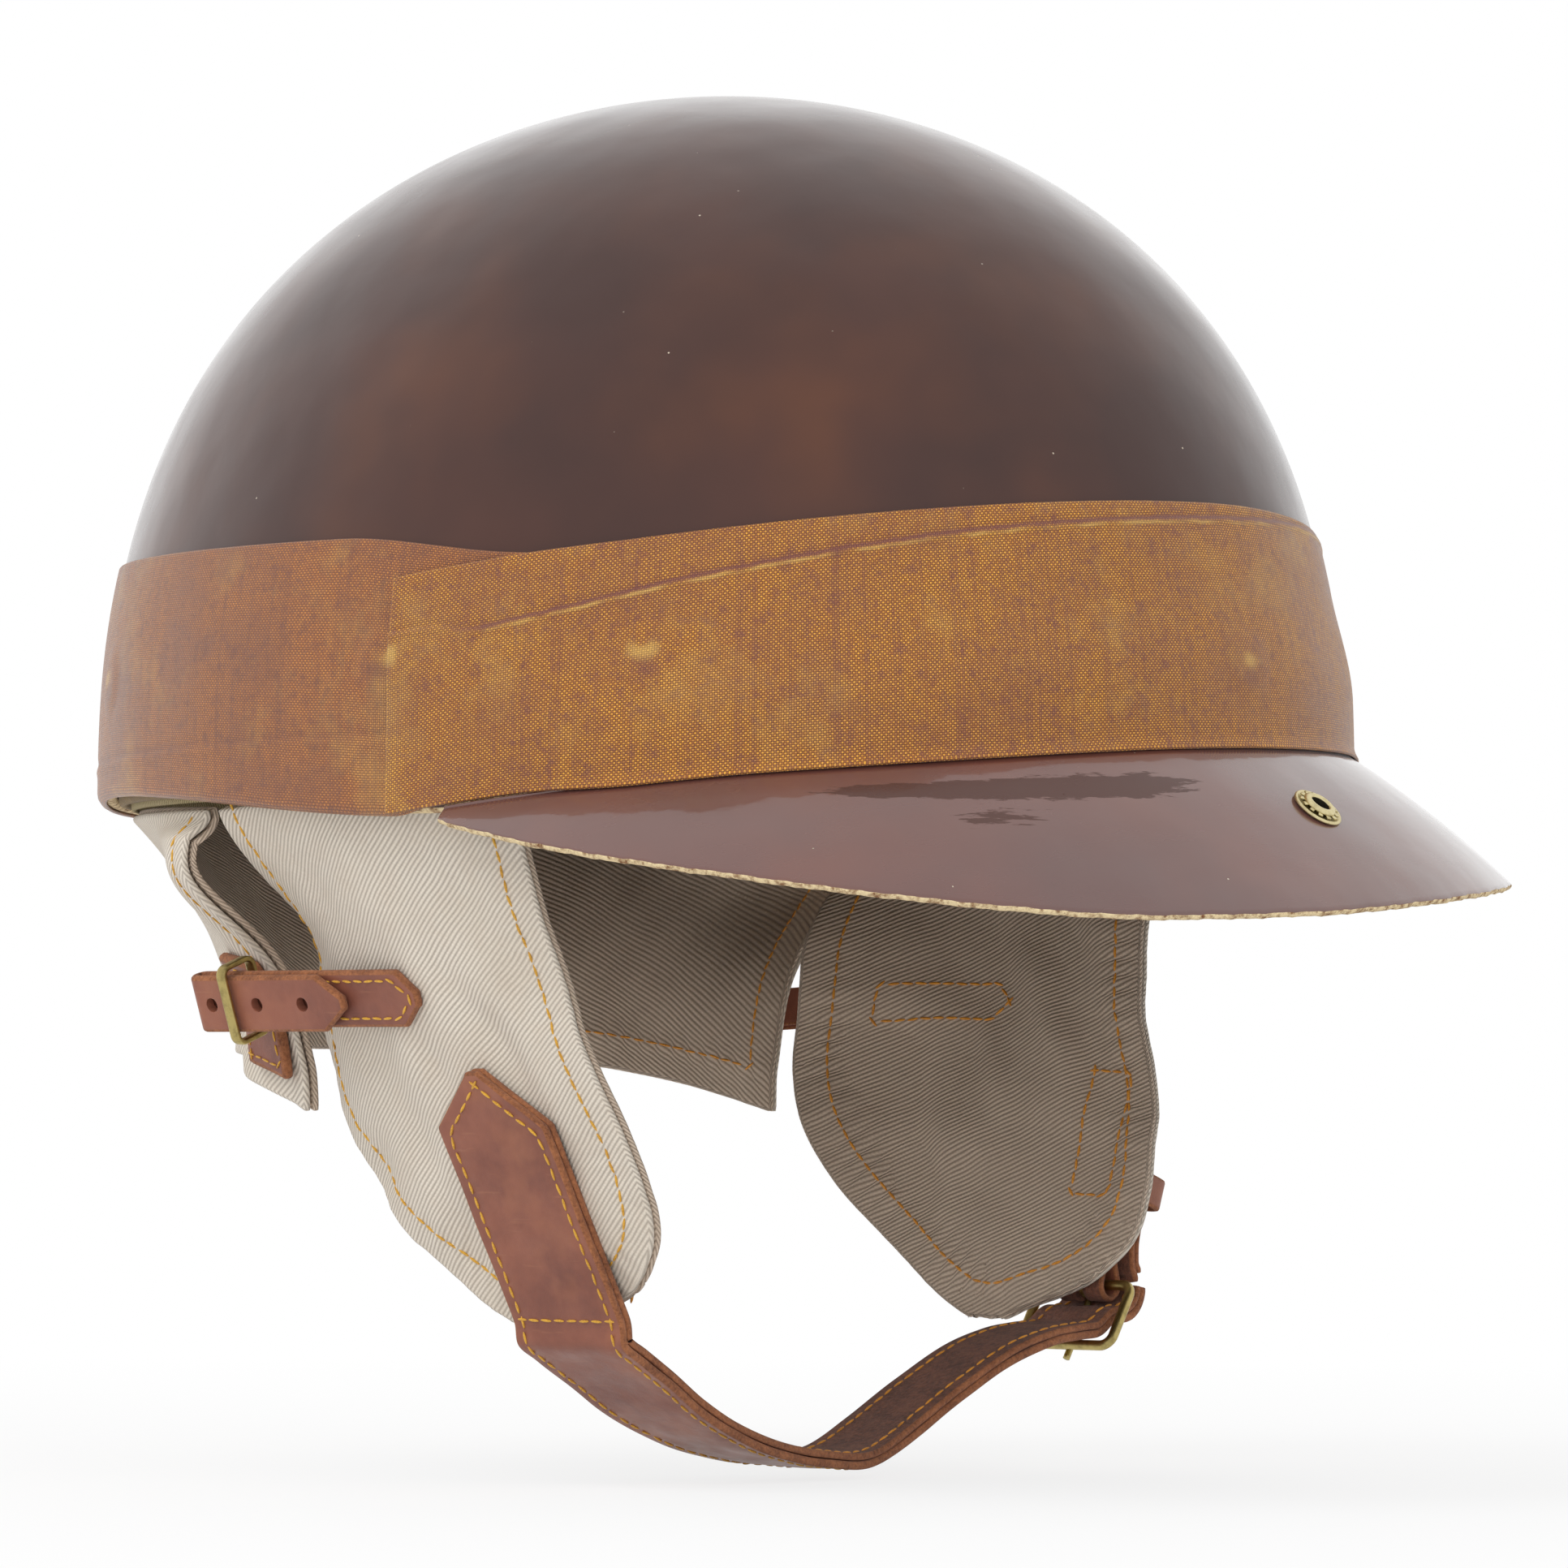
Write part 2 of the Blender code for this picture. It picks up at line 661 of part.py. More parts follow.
def build_lining():
    """Felt inside the rim, the tape that carries the skirt, and the felt pad at the crown."""
    felt = skin("rim_felt", ring_place(FELT_FACE, FELT_BOTTOM, FELT_TOP), FELT_THICKNESS,
                RING_STEPS, 3, FELT, closed=True)
    cut(felt, RIVET_HOLES)

    def heading(across, up):
        angle = HEADING_FRONT_ANGLE + (FULL_TURN - 2 * HEADING_FRONT_ANGLE) * across
        return wall_point(angle, HEADING_BOTTOM + (HEADING_TOP - HEADING_BOTTOM) * up, -SKIRT_FACE)

    skin("skirt_heading", heading, HEADING_THICKNESS, 44, 1, WEBBING)
    low_lean = math.asin((1 - CROWN_PAD_DROP / SHELL_HEIGHT) ** (DOME_POWER / 2))

    def crown(across, up):
        lean = low_lean + (math.pi / 2 - low_lean) * up
        height = SHELL_HEIGHT * math.sin(lean) ** (2 / DOME_POWER)
        return wall_point(FULL_TURN * across, height, -FELT_FACE)

    skin("crown_pad", crown, CROWN_PAD_THICKNESS, 24, 3, FELT, closed=True)


def tape_route(angle):
    """Line of one cradle tape's outer face, from its foot on the wall to its loop round the crown lace."""
    heights = (TAPE_FOOT, RIVET_HEIGHT, TAPE_LEAVE)
    points = [wall_point(angle, height, -TAPE_FACE) for height in heights]
    radial = Vector((points[-1].x, points[-1].y, 0)).normalized()
    up = Vector((0, 0, 1))
    lace = radial * LACE_RING_RADIUS + up * LACE_LEVEL
    turn_radius = LACE_RADIUS + TAPE_LOOP_SLACK + TAPE_THICKNESS
    leave = points[-1]
    slope = math.atan2(LACE_LEVEL - leave.z, (leave - lace).dot(radial))
    first = math.pi / 2 - slope
    loop_steps = 9
    loop = []
    for step in range(loop_steps + 1):
        beta = first + math.radians(235) * step / loop_steps
        loop.append(lace + turn_radius * (math.cos(beta) * radial + math.sin(beta) * up))
    span = loop[0] - leave
    bow = TAPE_THICKNESS * 2
    points += [leave + span * share + up * bow * math.sin(math.pi * share) for share in TAPE_BOW_SHARES]
    return points + loop


def build_tapes():
    """Webbing cradle: tapes from the rivets to the laced ring at the crown."""
    for number, angle in enumerate(RIVET_ANGLES, start=1):
        points = tape_route(angle)
        tangent = Vector((SHELL_LENGTH * math.sin(angle), -SHELL_WIDTH * math.cos(angle), 0)).normalized()
        lengths = [0.0]
        for start, end in zip(points, points[1:]):
            lengths.append(lengths[-1] + (end - start).length)
        taper_end = lengths[-11]
        widths = [TAPE_WIDTH + (TAPE_CROWN_WIDTH - TAPE_WIDTH) * smooth_step(length / taper_end)
                  for length in lengths]
        tape = ribbon(f"cradle_tape_{number}", points, widths, tangent, TAPE_THICKNESS, WEBBING)
        cut(tape, RIVET_HOLES)
    steps = 28
    circle = [Vector((LACE_RING_RADIUS * math.cos(FULL_TURN * step / steps),
                      LACE_RING_RADIUS * math.sin(FULL_TURN * step / steps), LACE_LEVEL))
              for step in range(steps)]
    tube("crown_lace", circle, LACE_RADIUS, WEBBING, cyclic=True, resolution=1)


def build_headband():
    """Headband, its leather facing, and the felt blocks that hold it off the shell."""
    skin("headband", ring_place(HEADBAND_INSET, HEADBAND_BOTTOM, HEADBAND_TOP), HEADBAND_THICKNESS,
         RING_STEPS, 1, LEATHER, closed=True)
    inside = HEADBAND_INSET + HEADBAND_THICKNESS + CLEAR
    facing_place = ring_place(inside, HEADBAND_BOTTOM - SWEATBAND_MARGIN, HEADBAND_TOP + SWEATBAND_MARGIN)
    skin("sweatband", facing_place, SWEATBAND_THICKNESS, RING_STEPS, 1, LEATHER, closed=True)
    spacer_face = FELT_FACE + FELT_THICKNESS + TAPE_SEAT_GAP
    spacer_wall = HEADBAND_INSET - TAPE_SEAT_GAP - spacer_face
    for number, middle in enumerate(SPACER_ANGLES, start=1):
        def place(across, up, middle=middle):
            angle = middle + SPACER_WIDTH_ANGLE * (across - 0.5)
            return wall_point(angle, SPACER_BOTTOM + (SPACER_TOP - SPACER_BOTTOM) * up, -spacer_face)

        skin(f"spacer_pad_{number}", place, spacer_wall, 4, 2, FELT)


def build_rivets():
    """Rivets through shell, felt and tape, each clinched over inside."""
    clinch_face = TAPE_FACE + TAPE_THICKNESS + CLEAR
    end = clinch_face + RIVET_CLINCH_THICKNESS
    profile = [(0.0, 0.0), (RIVET_HEAD_RADIUS, 0.0), (RIVET_HEAD_RADIUS, -RIVET_HEAD_THICKNESS),
               (RIVET_SHANK_RADIUS, -RIVET_HEAD_THICKNESS), (RIVET_SHANK_RADIUS, -clinch_face),
               (RIVET_CLINCH_RADIUS, -clinch_face), (RIVET_CLINCH_RADIUS, -end), (0.0, -end)]
    for number, frame in enumerate(rivet_frames(), start=1):
        name = f"harness_rivet_{number}"
        placed(name, turned_mesh(name, profile, 12), frame, BRASS)


# Ear flaps and neck curtain

def flap_face(place, depth):
    """Point on the right flap's outer face, at a place along X and a depth below its top edge."""
    flat = smooth_step((depth - FLAP_FLAT_START) / (FLAP_FLAT_END - FLAP_FLAT_START))
    rim = SKIRT_HALF_WIDTH * math.sqrt(1 - (place / SKIRT_HALF_LENGTH) ** 2)
    toe_share = (max(-place, 0.0) / FLAP_TOE_REACH) ** 1.7 * smooth_step(depth / FLAP_TOE_DEPTH)
    width = rim + (SKIRT_HALF_WIDTH - rim) * flat - FLAP_LEAN_SHARE * depth - FLAP_TOE * toe_share
    top = HEADING_BOTTOM - FLAP_TOP_GAP - FLAP_TOP_ARCH * (place / FLAP_FRONT) ** 2
    return Vector((place, -width, top - depth))


def flap_axes(place, depth):
    """The flap's face normal and its upward direction at a point."""
    ahead = flap_face(place + CLEAR, depth) - flap_face(place - CLEAR, depth)
    rise = flap_face(place, depth - CLEAR) - flap_face(place, depth + CLEAR)
    return ahead.cross(rise).normalized(), rise.normalized()


def flap_off(place, depth, distance):
    """Point at a distance outside the right flap's outer face."""
    return flap_face(place, depth) + distance * flap_axes(place, depth)[0]


def mirror_point(point):
    """The same point or direction on the other side of the helmet."""
    return Vector((point.x, -point.y, point.z))


def left_off(place, depth, distance):
    """Point at a distance outside the left flap's outer face."""
    return mirror_point(flap_off(place, depth, distance))


def flap_place(inset):
    """A flap's outline, drawn in by an inset."""
    def place(across, up):
        share = 1 - up ** FLAP_ROW_SHARE
        front = FLAP_FRONT * along(FLAP_FRONT_SHARES, share) - inset
        rear = inset - FLAP_REAR * along(FLAP_REAR_SHARES, share)
        return flap_face(rear + (front - rear) * across, share * (FLAP_DEPTH - inset))

    return place


def build_flaps():
    """Both ear flaps: an outer twill layer and a lining set back from its edge."""
    lining = offset_face(flap_place(FLAP_FOLD), -CLOTH_THICKNESS - PLY_GAP)
    rows, columns = 12, 8
    right = [skin("ear_flap_right", flap_place(0.0), CLOTH_THICKNESS, columns, rows, TWILL),
             skin("ear_flap_right_lining", lining, CLOTH_THICKNESS, columns, rows, TWILL)]
    left = [skin("ear_flap_left", mirrored(flap_place(0.0)), CLOTH_THICKNESS, columns, rows, TWILL),
            skin("ear_flap_left_lining", mirrored(lining), CLOTH_THICKNESS, columns, rows, TWILL)]
    return right, left


def curtain_place(across, up):
    """The neck curtain's outer face, from its left end round the back to its right end."""
    drop = 1 - up
    end_share = abs(2 * across - 1) ** 3
    depth = (CURTAIN_DEPTH + (CURTAIN_END_DEPTH - CURTAIN_DEPTH) * end_share) * drop
    shrink = 1 - up * up
    half_x = SKIRT_HALF_LENGTH - CURTAIN_DRAW_LENGTH * shrink
    half_y = SKIRT_HALF_WIDTH - CURTAIN_DRAW_WIDTH * shrink
    end = CURTAIN_END + (CURTAIN_END_LOW - CURTAIN_END) * drop
    first = math.acos(-end / half_x)
    angle = first + (FULL_TURN - 2 * first) * across
    near = 1 - smooth_step(min(across, 1 - across) / CURTAIN_FLARE_SHARE)
    bulge = math.exp(-((depth - CURTAIN_FLARE_DEPTH) / CURTAIN_FLARE_SPREAD) ** 2)
    seam_share = smooth_step(depth / CURTAIN_SEAM_DEPTH)
    push = CURTAIN_FLARE * near * bulge * seam_share
    push += CURTAIN_WAVE * drop * math.cos(FULL_TURN * CURTAIN_WAVES * (across - 0.5))
    out = Vector((math.cos(angle) / half_x, math.sin(angle) / half_y, 0)).normalized()
    middle = Vector((half_x * math.cos(angle), half_y * math.sin(angle), CURTAIN_TOP - depth))
    return middle + push * out


def build_curtain():
    """The neck curtain's two layers."""
    columns, rows = 36, 13
    skin("neck_curtain", curtain_place, CLOTH_THICKNESS, columns, rows, TWILL)

    def lining(across, up):
        near = 1 - smooth_step(min(across, 1 - across) / CURTAIN_FLARE_SHARE)
        depth = CLOTH_THICKNESS + PLY_GAP + CURTAIN_LOOSE * near
        return offset_face(curtain_place, -depth)(across, up)

    skin("neck_curtain_lining", lining, CLOTH_THICKNESS, columns, rows, TWILL)


# Chin strap and buckle

def rounded_loop(middle, first, second, half_first, half_second, corner):
    """Middle line of a wire frame with rounded corners."""
    corner_steps = 3
    points = []
    for quarter, signs in enumerate(((1, 1), (-1, 1), (-1, -1), (1, -1))):
        for step in range(corner_steps + 1):
            turn = math.pi / 2 * (quarter + step / corner_steps)
            along_first = signs[0] * (half_first - corner) + corner * math.cos(turn)
            along_second = signs[1] * (half_second - corner) + corner * math.sin(turn)
            points.append(middle + along_first * first + along_second * second)
    return points


def heel_point():
    """Middle of the chin buckle's heel bar, off the left flap."""
    off_flap = CLEAR + CHAPE_THICKNESS + CHAPE_SLACK + BUCKLE_BAR + HEEL_LIFT
    return left_off(STRAP_END_PLACE, HEEL_DEPTH, off_flap)


def round_heel(radius, degrees):
    """Point at a radius round the heel bar, by its angle from +Y towards +Z."""
    turn = math.radians(degrees)
    return heel_point() + radius * Vector((0, math.cos(turn), math.sin(turn)))


def front_bar_point():
    """Middle of the chin buckle's front bar."""
    return heel_point() - Vector((0, BUCKLE_SPAN, BUCKLE_DROP))


def prong_line():
    """Start and unit direction of the prong's straight part."""
    aim = (front_bar_point() - heel_point()).normalized()
    aside = Vector((0, -aim.z, aim.y))
    return heel_point() + PRONG_EYE_RADIUS * aside, aim


def build_anchor():
    """House-ended part of the chin strap, sewn to the right flap."""
    depths = [ANCHOR_APEX, ANCHOR_SHOULDER]
    straight_steps = 5
    for step in range(1, straight_steps + 1):
        depths.append(ANCHOR_SHOULDER + (ANCHOR_FOOT - ANCHOR_SHOULDER) * step / straight_steps)
    points = []
    for depth in depths:
        share = (depth - ANCHOR_APEX) / (ANCHOR_FOOT - ANCHOR_APEX)
        place = ANCHOR_APEX_PLACE + (ANCHOR_FOOT_PLACE - ANCHOR_APEX_PLACE) * share
        points.append(flap_off(place, depth, CLEAR + ANCHOR_THICKNESS))
    widths = [ANCHOR_APEX_WIDTH] + [ANCHOR_WIDTH] * (straight_steps + 1)
    return ribbon("chin_strap_anchor", points, widths, Vector((1, 0, 0)), ANCHOR_THICKNESS, LEATHER)


def chin_strap_route():
    """Outer face of the chin strap from the anchor's foot to the far side of the heel bar."""
    start = flap_off(ANCHOR_FOOT_PLACE, ANCHOR_FOOT + STRAP_GAP, CLEAR + ANCHOR_THICKNESS)
    half_span = -start.y
    drop = STRAP_LOW + start.z
    lifted = CLEAR + ANCHOR_THICKNESS + STRAP_LIFT
    below = flap_off(ANCHOR_FOOT_PLACE, ANCHOR_FOOT + STRAP_GAP + STRAP_LEAD, lifted)
    points = [start, below]
    for width_share, drop_share in STRAP_ROUTE_SHARES:
        points.append(Vector((start.x, -width_share * half_span, start.z - drop_share * drop)))
    outer_radius = STRAP_TURN_RADIUS + 2 * STRAP_PLY + CLEAR
    for degrees in (-105, -84, -62, -40, -20, -2):
        points.append(round_heel(outer_radius, degrees))
    route = smooth_route(points, STRAP_STEPS)
    for index, point in enumerate(route):
        share = index / (STRAP_STEPS - 1)
        late = smooth_step((share - STRAP_SWAY_LATE_SHARE) / STRAP_SWAY_SPAN_SHARE)
        sway = STRAP_SWAY_SHARE * smooth_step(share / STRAP_SWAY_SHARE) + (1 - STRAP_SWAY_SHARE) * late
        point.x = ANCHOR_FOOT_PLACE + (STRAP_END_PLACE - ANCHOR_FOOT_PLACE) * sway
    return route


def inner_route(points, side, distance):
    """Route at a distance inside a strap's face."""
    last = len(points) - 1
    inside = []
    for index, point in enumerate(points):
        aim = points[min(index + 1, last)] - points[max(index - 1, 0)]
        inside.append(point - distance * aim.cross(side).normalized())
    return inside


def build_chin_strap():
    """The strap's two leather plies, the buckle frame and the prong."""
    side = Vector((1, 0, 0))
    outer = chin_strap_route()
    inner = inner_route(outer, side, STRAP_PLY + CLEAR)
    last = len(outer) - 1
    taper = [smooth_step(index / last / STRAP_TAPER_SHARE) for index in range(last + 1)]
    widths = [ANCHOR_WIDTH + (STRAP_END_WIDTH - ANCHOR_WIDTH) * share for share in taper]
    plies = [ribbon("chin_strap_outer", outer, widths, side, STRAP_PLY, LEATHER),
             ribbon("chin_strap_inner", inner, widths, side, STRAP_PLY, LEATHER)]
    start, aim = prong_line()
    hole = bmesh.new()
    reach = (front_bar_point() - heel_point()).length
    add_disc(hole, facing(aim, start, side), PRONG_HOLE_RADIUS, CLEAR, reach)
    tool = cutter("prong_hole", hole)
    for ply in plies:
        cut(ply, tool)
    heel, front = heel_point(), front_bar_point()
    loop = rounded_loop((heel + front) / 2, side, (heel - front).normalized(), BUCKLE_HALF_WIDTH,
                        reach / 2, BUCKLE_CORNER)
    frame = tube("chin_buckle_frame", loop, BUCKLE_BAR, BRASS, cyclic=True)
    return plies + [frame]


def build_prong():
    """The prong, bent round the heel bar and lying on the front bar."""
    start, aim = prong_line()
    first = math.atan2(start.z - heel_point().z, start.y - heel_point().y)
    eye_steps = 11
    bend = []
    for step in range(eye_steps + 1):
        turn = first + math.radians(300) * (1 - step / eye_steps)
        bend.append(heel_point() + PRONG_EYE_RADIUS * Vector((0, math.cos(turn), math.sin(turn))))
    reach = (front_bar_point() - heel_point()).length + PRONG_OVERHANG
    bend.append(start + aim * reach / 2)
    bend.append(start + aim * reach)
    return tube("chin_buckle_prong", bend, PRONG_RADIUS, BRASS)


def build_chape():
    """Leather chape on the left flap, folded round the heel bar, with a slot for the prong."""
    side = Vector((1, 0, 0))
    turn_radius = BUCKLE_BAR + CHAPE_SLACK + CHAPE_THICKNESS
    points = []
    top_steps = 4
    for step in range(top_steps):
        depth = CHAPE_TOP + (HEEL_DEPTH - CHAPE_TOP) * step / top_steps
        points.append(left_off(STRAP_END_PLACE, depth, CLEAR))
    normal = left_off(STRAP_END_PLACE, HEEL_DEPTH, CLEAR) - left_off(STRAP_END_PLACE, HEEL_DEPTH, 0.0)
    out = math.degrees(math.atan2(normal.z, normal.y))
    loop_steps = 9
    for step in range(loop_steps + 1):
        points.append(round_heel(turn_radius, out + 180 + 225 * step / loop_steps))
    seat = 2 * (CLEAR + CHAPE_THICKNESS)
    bulge = turn_radius + CLEAR + CHAPE_THICKNESS + CHAPE_SLACK + BUCKLE_BAR - seat
    for rise_share, bulge_share in CHAPE_RISE_SHARES:
        depth = HEEL_DEPTH - rise_share * (HEEL_DEPTH - CHAPE_OUTER_TOP)
        points.append(left_off(STRAP_END_PLACE, depth, seat + bulge * bulge_share))
    widths = [CHAPE_WIDTH] * len(points)
    chape = ribbon("chin_buckle_chape", points, widths, side, CHAPE_THICKNESS, LEATHER)
    slot = bmesh.new()
    half = PRONG_RADIUS + CHAPE_SLOT_CLEAR
    add_disc(slot, facing(side, heel_point()), turn_radius + CHAPE_SLOT_REACH, -half, half, 20)
    cut(chape, cutter("chape_slot", slot))
    return chape


def build_tail():
    """The strap's end, which runs on up the left flap under its keeper."""
    side = Vector((1, 0, 0))
    outer_radius = STRAP_TURN_RADIUS + TAIL_THICKNESS
    points = [round_heel(outer_radius, degrees) for degrees in (22, 34)]
    seat = TAIL_SEAT + TAIL_THICKNESS
    for rise_share, bulge_share in TAIL_RISE_SHARES:
        depth = HEEL_DEPTH - rise_share * (HEEL_DEPTH - TAIL_TOP)
        points.append(left_off(STRAP_END_PLACE, depth, seat + TAIL_BULGE * bulge_share))
    widths = [TAIL_WIDTH] * (len(points) - 1) + [TAIL_WIDTH / 2]
    tail = ribbon("chin_strap_tail", points, widths, side, TAIL_THICKNESS, LEATHER)
    half_tail = TAIL_WIDTH / 2 + CLEAR
    high = seat + CLEAR + KEEPER_THICKNESS
    low = CLEAR + KEEPER_THICKNESS
    foot = half_tail + 2 * KEEPER_THICKNESS
    top = half_tail + KEEPER_THICKNESS
    steps = ((-foot - KEEPER_FOOT, low), (-foot, low), (-top, high), (0.0, high), (top, high),
             (foot, low), (foot + KEEPER_FOOT, low))
    bridge = [left_off(STRAP_END_PLACE + step, KEEPER_DEPTH, distance) for step, distance in steps]
    rise = mirror_point(flap_axes(STRAP_END_PLACE, KEEPER_DEPTH)[1])
    keeper = ribbon("chin_strap_keeper", bridge, [KEEPER_HEIGHT] * len(bridge), -rise,
                    KEEPER_THICKNESS, LEATHER)
    return [tail, keeper]


# Adjusters

def on_side(name, points, widths, side, thickness, finish):
    """A ribbon worked out for the right side, mirrored if its name says left."""
    if "left" in name:
        points = [mirror_point(point) for point in points]
        side = -mirror_point(side)
    return ribbon(name, points, widths, side, thickness, finish)


def build_adjuster_strap(name):
    """The short strap sewn to the flap and folded back on itself, with its punched holes."""
    base = flap_off(0.0, ADJUSTER_DEPTH, CLEAR)
    normal, rise = flap_axes(0.0, ADJUSTER_DEPTH)
    ahead = Vector((1, 0, 0))
    turn = ADJUSTER_PLY + ADJUSTER_PLY_GAP / 2

    def spot(place, distance):
        return base + ahead * place + normal * distance

    points = [spot(ADJUSTER_TIP, 0.0), spot(ADJUSTER_TIP - ADJUSTER_POINT, 0.0)]
    fold = ADJUSTER_FOLD - turn
    straight_steps = 5
    for step in range(1, straight_steps + 1):
        points.append(spot(-fold * step / straight_steps, 0.0))
    fold_steps = 6
    for step in range(1, fold_steps + 1):
        lean = math.pi * step / fold_steps
        points.append(spot(-fold - turn * math.sin(lean), turn - turn * math.cos(lean)))
    points.append(spot(-(fold + ADJUSTER_FREE_TIP) / 2, 2 * turn))
    points.append(spot(-ADJUSTER_FREE_TIP - ADJUSTER_POINT, 2 * turn))
    points.append(spot(-ADJUSTER_FREE_TIP, 2 * turn))
    point_width = ADJUSTER_HEIGHT * ADJUSTER_POINT_SHARE
    widths = [point_width] + [ADJUSTER_HEIGHT] * (len(points) - 2) + [point_width]
    strap = on_side(name, points, widths, rise, ADJUSTER_PLY, LEATHER)
    holes = bmesh.new()
    for number in range(ADJUSTER_HOLES):
        place = -ADJUSTER_HOLE_START - number * ADJUSTER_HOLE_PITCH
        middle, aim = spot(place, 0.0), normal
        if "left" in name:
            middle, aim = mirror_point(middle), mirror_point(normal)
        add_disc(holes, facing(aim, middle), ADJUSTER_HOLE_RADIUS, -CLEAR, 2 * turn + CLEAR)
    cut(strap, cutter(f"{name}_holes", holes))
    return strap


def adjuster_bars():
    """Distances of the frame's inner and outer bars from the strap's inner face."""
    inner = -(2 * CLEAR + LOOP_PLY + LOOP_SLACK + ADJUSTER_FRAME_BAR)
    outer = 2 * ADJUSTER_PLY + ADJUSTER_PLY_GAP + PLY_GAP + ADJUSTER_FRAME_BAR
    return inner, outer


def build_adjuster_frame(name):
    """The wire frame round both plies of the folded strap."""
    base = flap_off(0.0, ADJUSTER_DEPTH, CLEAR)
    normal, rise = flap_axes(0.0, ADJUSTER_DEPTH)
    inner, outer = adjuster_bars()
    middle = base + Vector((-ADJUSTER_FRAME_PLACE, 0, 0)) + normal * (inner + outer) / 2
    half_height = ADJUSTER_HEIGHT / 2 + PLY_GAP + ADJUSTER_FRAME_BAR
    loop = rounded_loop(middle, normal, rise, (outer - inner) / 2, half_height, ADJUSTER_FRAME_CORNER)
    if "left" in name:
        loop = [mirror_point(point) for point in reversed(loop)]
    return tube(name, loop, ADJUSTER_FRAME_BAR, BRASS, cyclic=True)


def patch_place(extra):
    """Patch on the right end of the curtain's outer face, at an extra distance off it."""
    def place(across, up):
        depth_share = 1 - (PATCH_TOP + PATCH_HEIGHT * (1 - up)) / CURTAIN_END_DEPTH
        around_share = (PATCH_MARGIN + PATCH_WIDTH * (1 - across)) / CURTAIN_ROUND
        return offset_face(curtain_place, PATCH_SEAT + extra)(1 - around_share, depth_share)

    return place


def build_patch(name):
    """Leather patch sewn to the curtain, which holds the adjuster's loop."""
    place = patch_place(PATCH_THICKNESS)
    if "left" in name:
        place = mirrored(place)
    return skin(name, place, PATCH_THICKNESS, 6, 8, LEATHER)


def build_adjuster_loop(name):
    """Leather loop from the patch round the frame's inner bar and back."""
    base = flap_off(0.0, ADJUSTER_DEPTH, CLEAR)
    normal, rise = flap_axes(0.0, ADJUSTER_DEPTH)
    bar = base + Vector((-ADJUSTER_FRAME_PLACE, 0, 0)) + normal * adjuster_bars()[0]
    seat = patch_place(PATCH_THICKNESS + CLEAR + LOOP_SEAT)
    seat_share = (bar.z - CURTAIN_TOP + PATCH_TOP + PATCH_HEIGHT) / PATCH_HEIGHT
    back, front = seat(LOOP_BACK_SHARE, seat_share), seat(LOOP_FRONT_SHARE, seat_share)
    out = (seat(LOOP_FRONT_SHARE, seat_share)
           - patch_place(PATCH_THICKNESS)(LOOP_FRONT_SHARE, seat_share)).normalized()
    pair = 2 * LOOP_PLY + CLEAR
    radius = ADJUSTER_FRAME_BAR + LOOP_SLACK + LOOP_PLY
    aim = (bar - front - out * pair / 2)
    aim = (aim - rise * aim.dot(rise)).normalized()
    face = aim.cross(-rise).normalized()
    wrap = []
    wrap_steps = 8
    for step in range(wrap_steps + 1):
        turn = math.pi * step / wrap_steps
        wrap.append(bar + radius * (face * math.cos(turn) + aim * math.sin(turn)))
    points = [back, front] + wrap + [front + out * pair, back + out * pair]
    return on_side(name, points, [LOOP_HEIGHT] * len(points), -rise, LOOP_PLY, LEATHER)


# Build

def carry(name, place, pieces):
    """Hang a moving body's pieces on an empty at its joint."""
    pivot = bpy.data.objects.new(name, None)
    pivot.location = place
    PARTS.objects.link(pivot)
    for piece in pieces:
        piece.parent = pivot
        piece.matrix_parent_inverse = Matrix.Translation(-place)


def build_part():
    """Build every piece and hang the moving ones on their joints."""
    build_shell()
    build_rear_band()
    build_front_band()
    build_peak()
    build_eyelet()
    build_lining()
    build_tapes()
    build_headband()
    build_rivets()
    build_curtain()
    right, left = build_flaps()
    right.append(build_anchor())
    left.append(build_chape())
    left += build_tail()
    for side, body in (("right", right), ("left", left)):
        body.append(build_adjuster_strap(f"adjuster_strap_{side}"))
        body.append(build_adjuster_frame(f"adjuster_frame_{side}"))
        build_patch(f"adjuster_patch_{side}")
        build_adjuster_loop(f"adjuster_loop_{side}")
    strap = build_chin_strap()
    hinge = flap_face(0.0, 0.0)
    carry("pivot_flap_right", hinge, right)
    carry("pivot_flap_left", mirror_point(hinge), left)
    carry("pivot_chin_strap", chin_strap_route()[0], strap)
    carry("pivot_prong", heel_point(), [build_prong()])


clear_scene()
PARTS = make_collection(PARTS_NAME)
CUTTERS = make_collection("cutters")
hole_radius = RIVET_SHANK_RADIUS + CLEAR
RIVET_HOLES = rivet_hole_cutter("rivet_holes", HEADBAND_INSET, 0.0, hole_radius)
build_part()
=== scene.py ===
"""Looks of the pudding-basin racing helmet over the fixed CAD frame."""
from __future__ import annotations

import json
import logging
import math
from contextlib import contextmanager
from dataclasses import dataclass, field
from enum import Enum
from typing import Callable, Iterable, Iterator, Optional, Sequence

import bmesh
import bpy
import numpy as np
from mathutils import Matrix, Vector

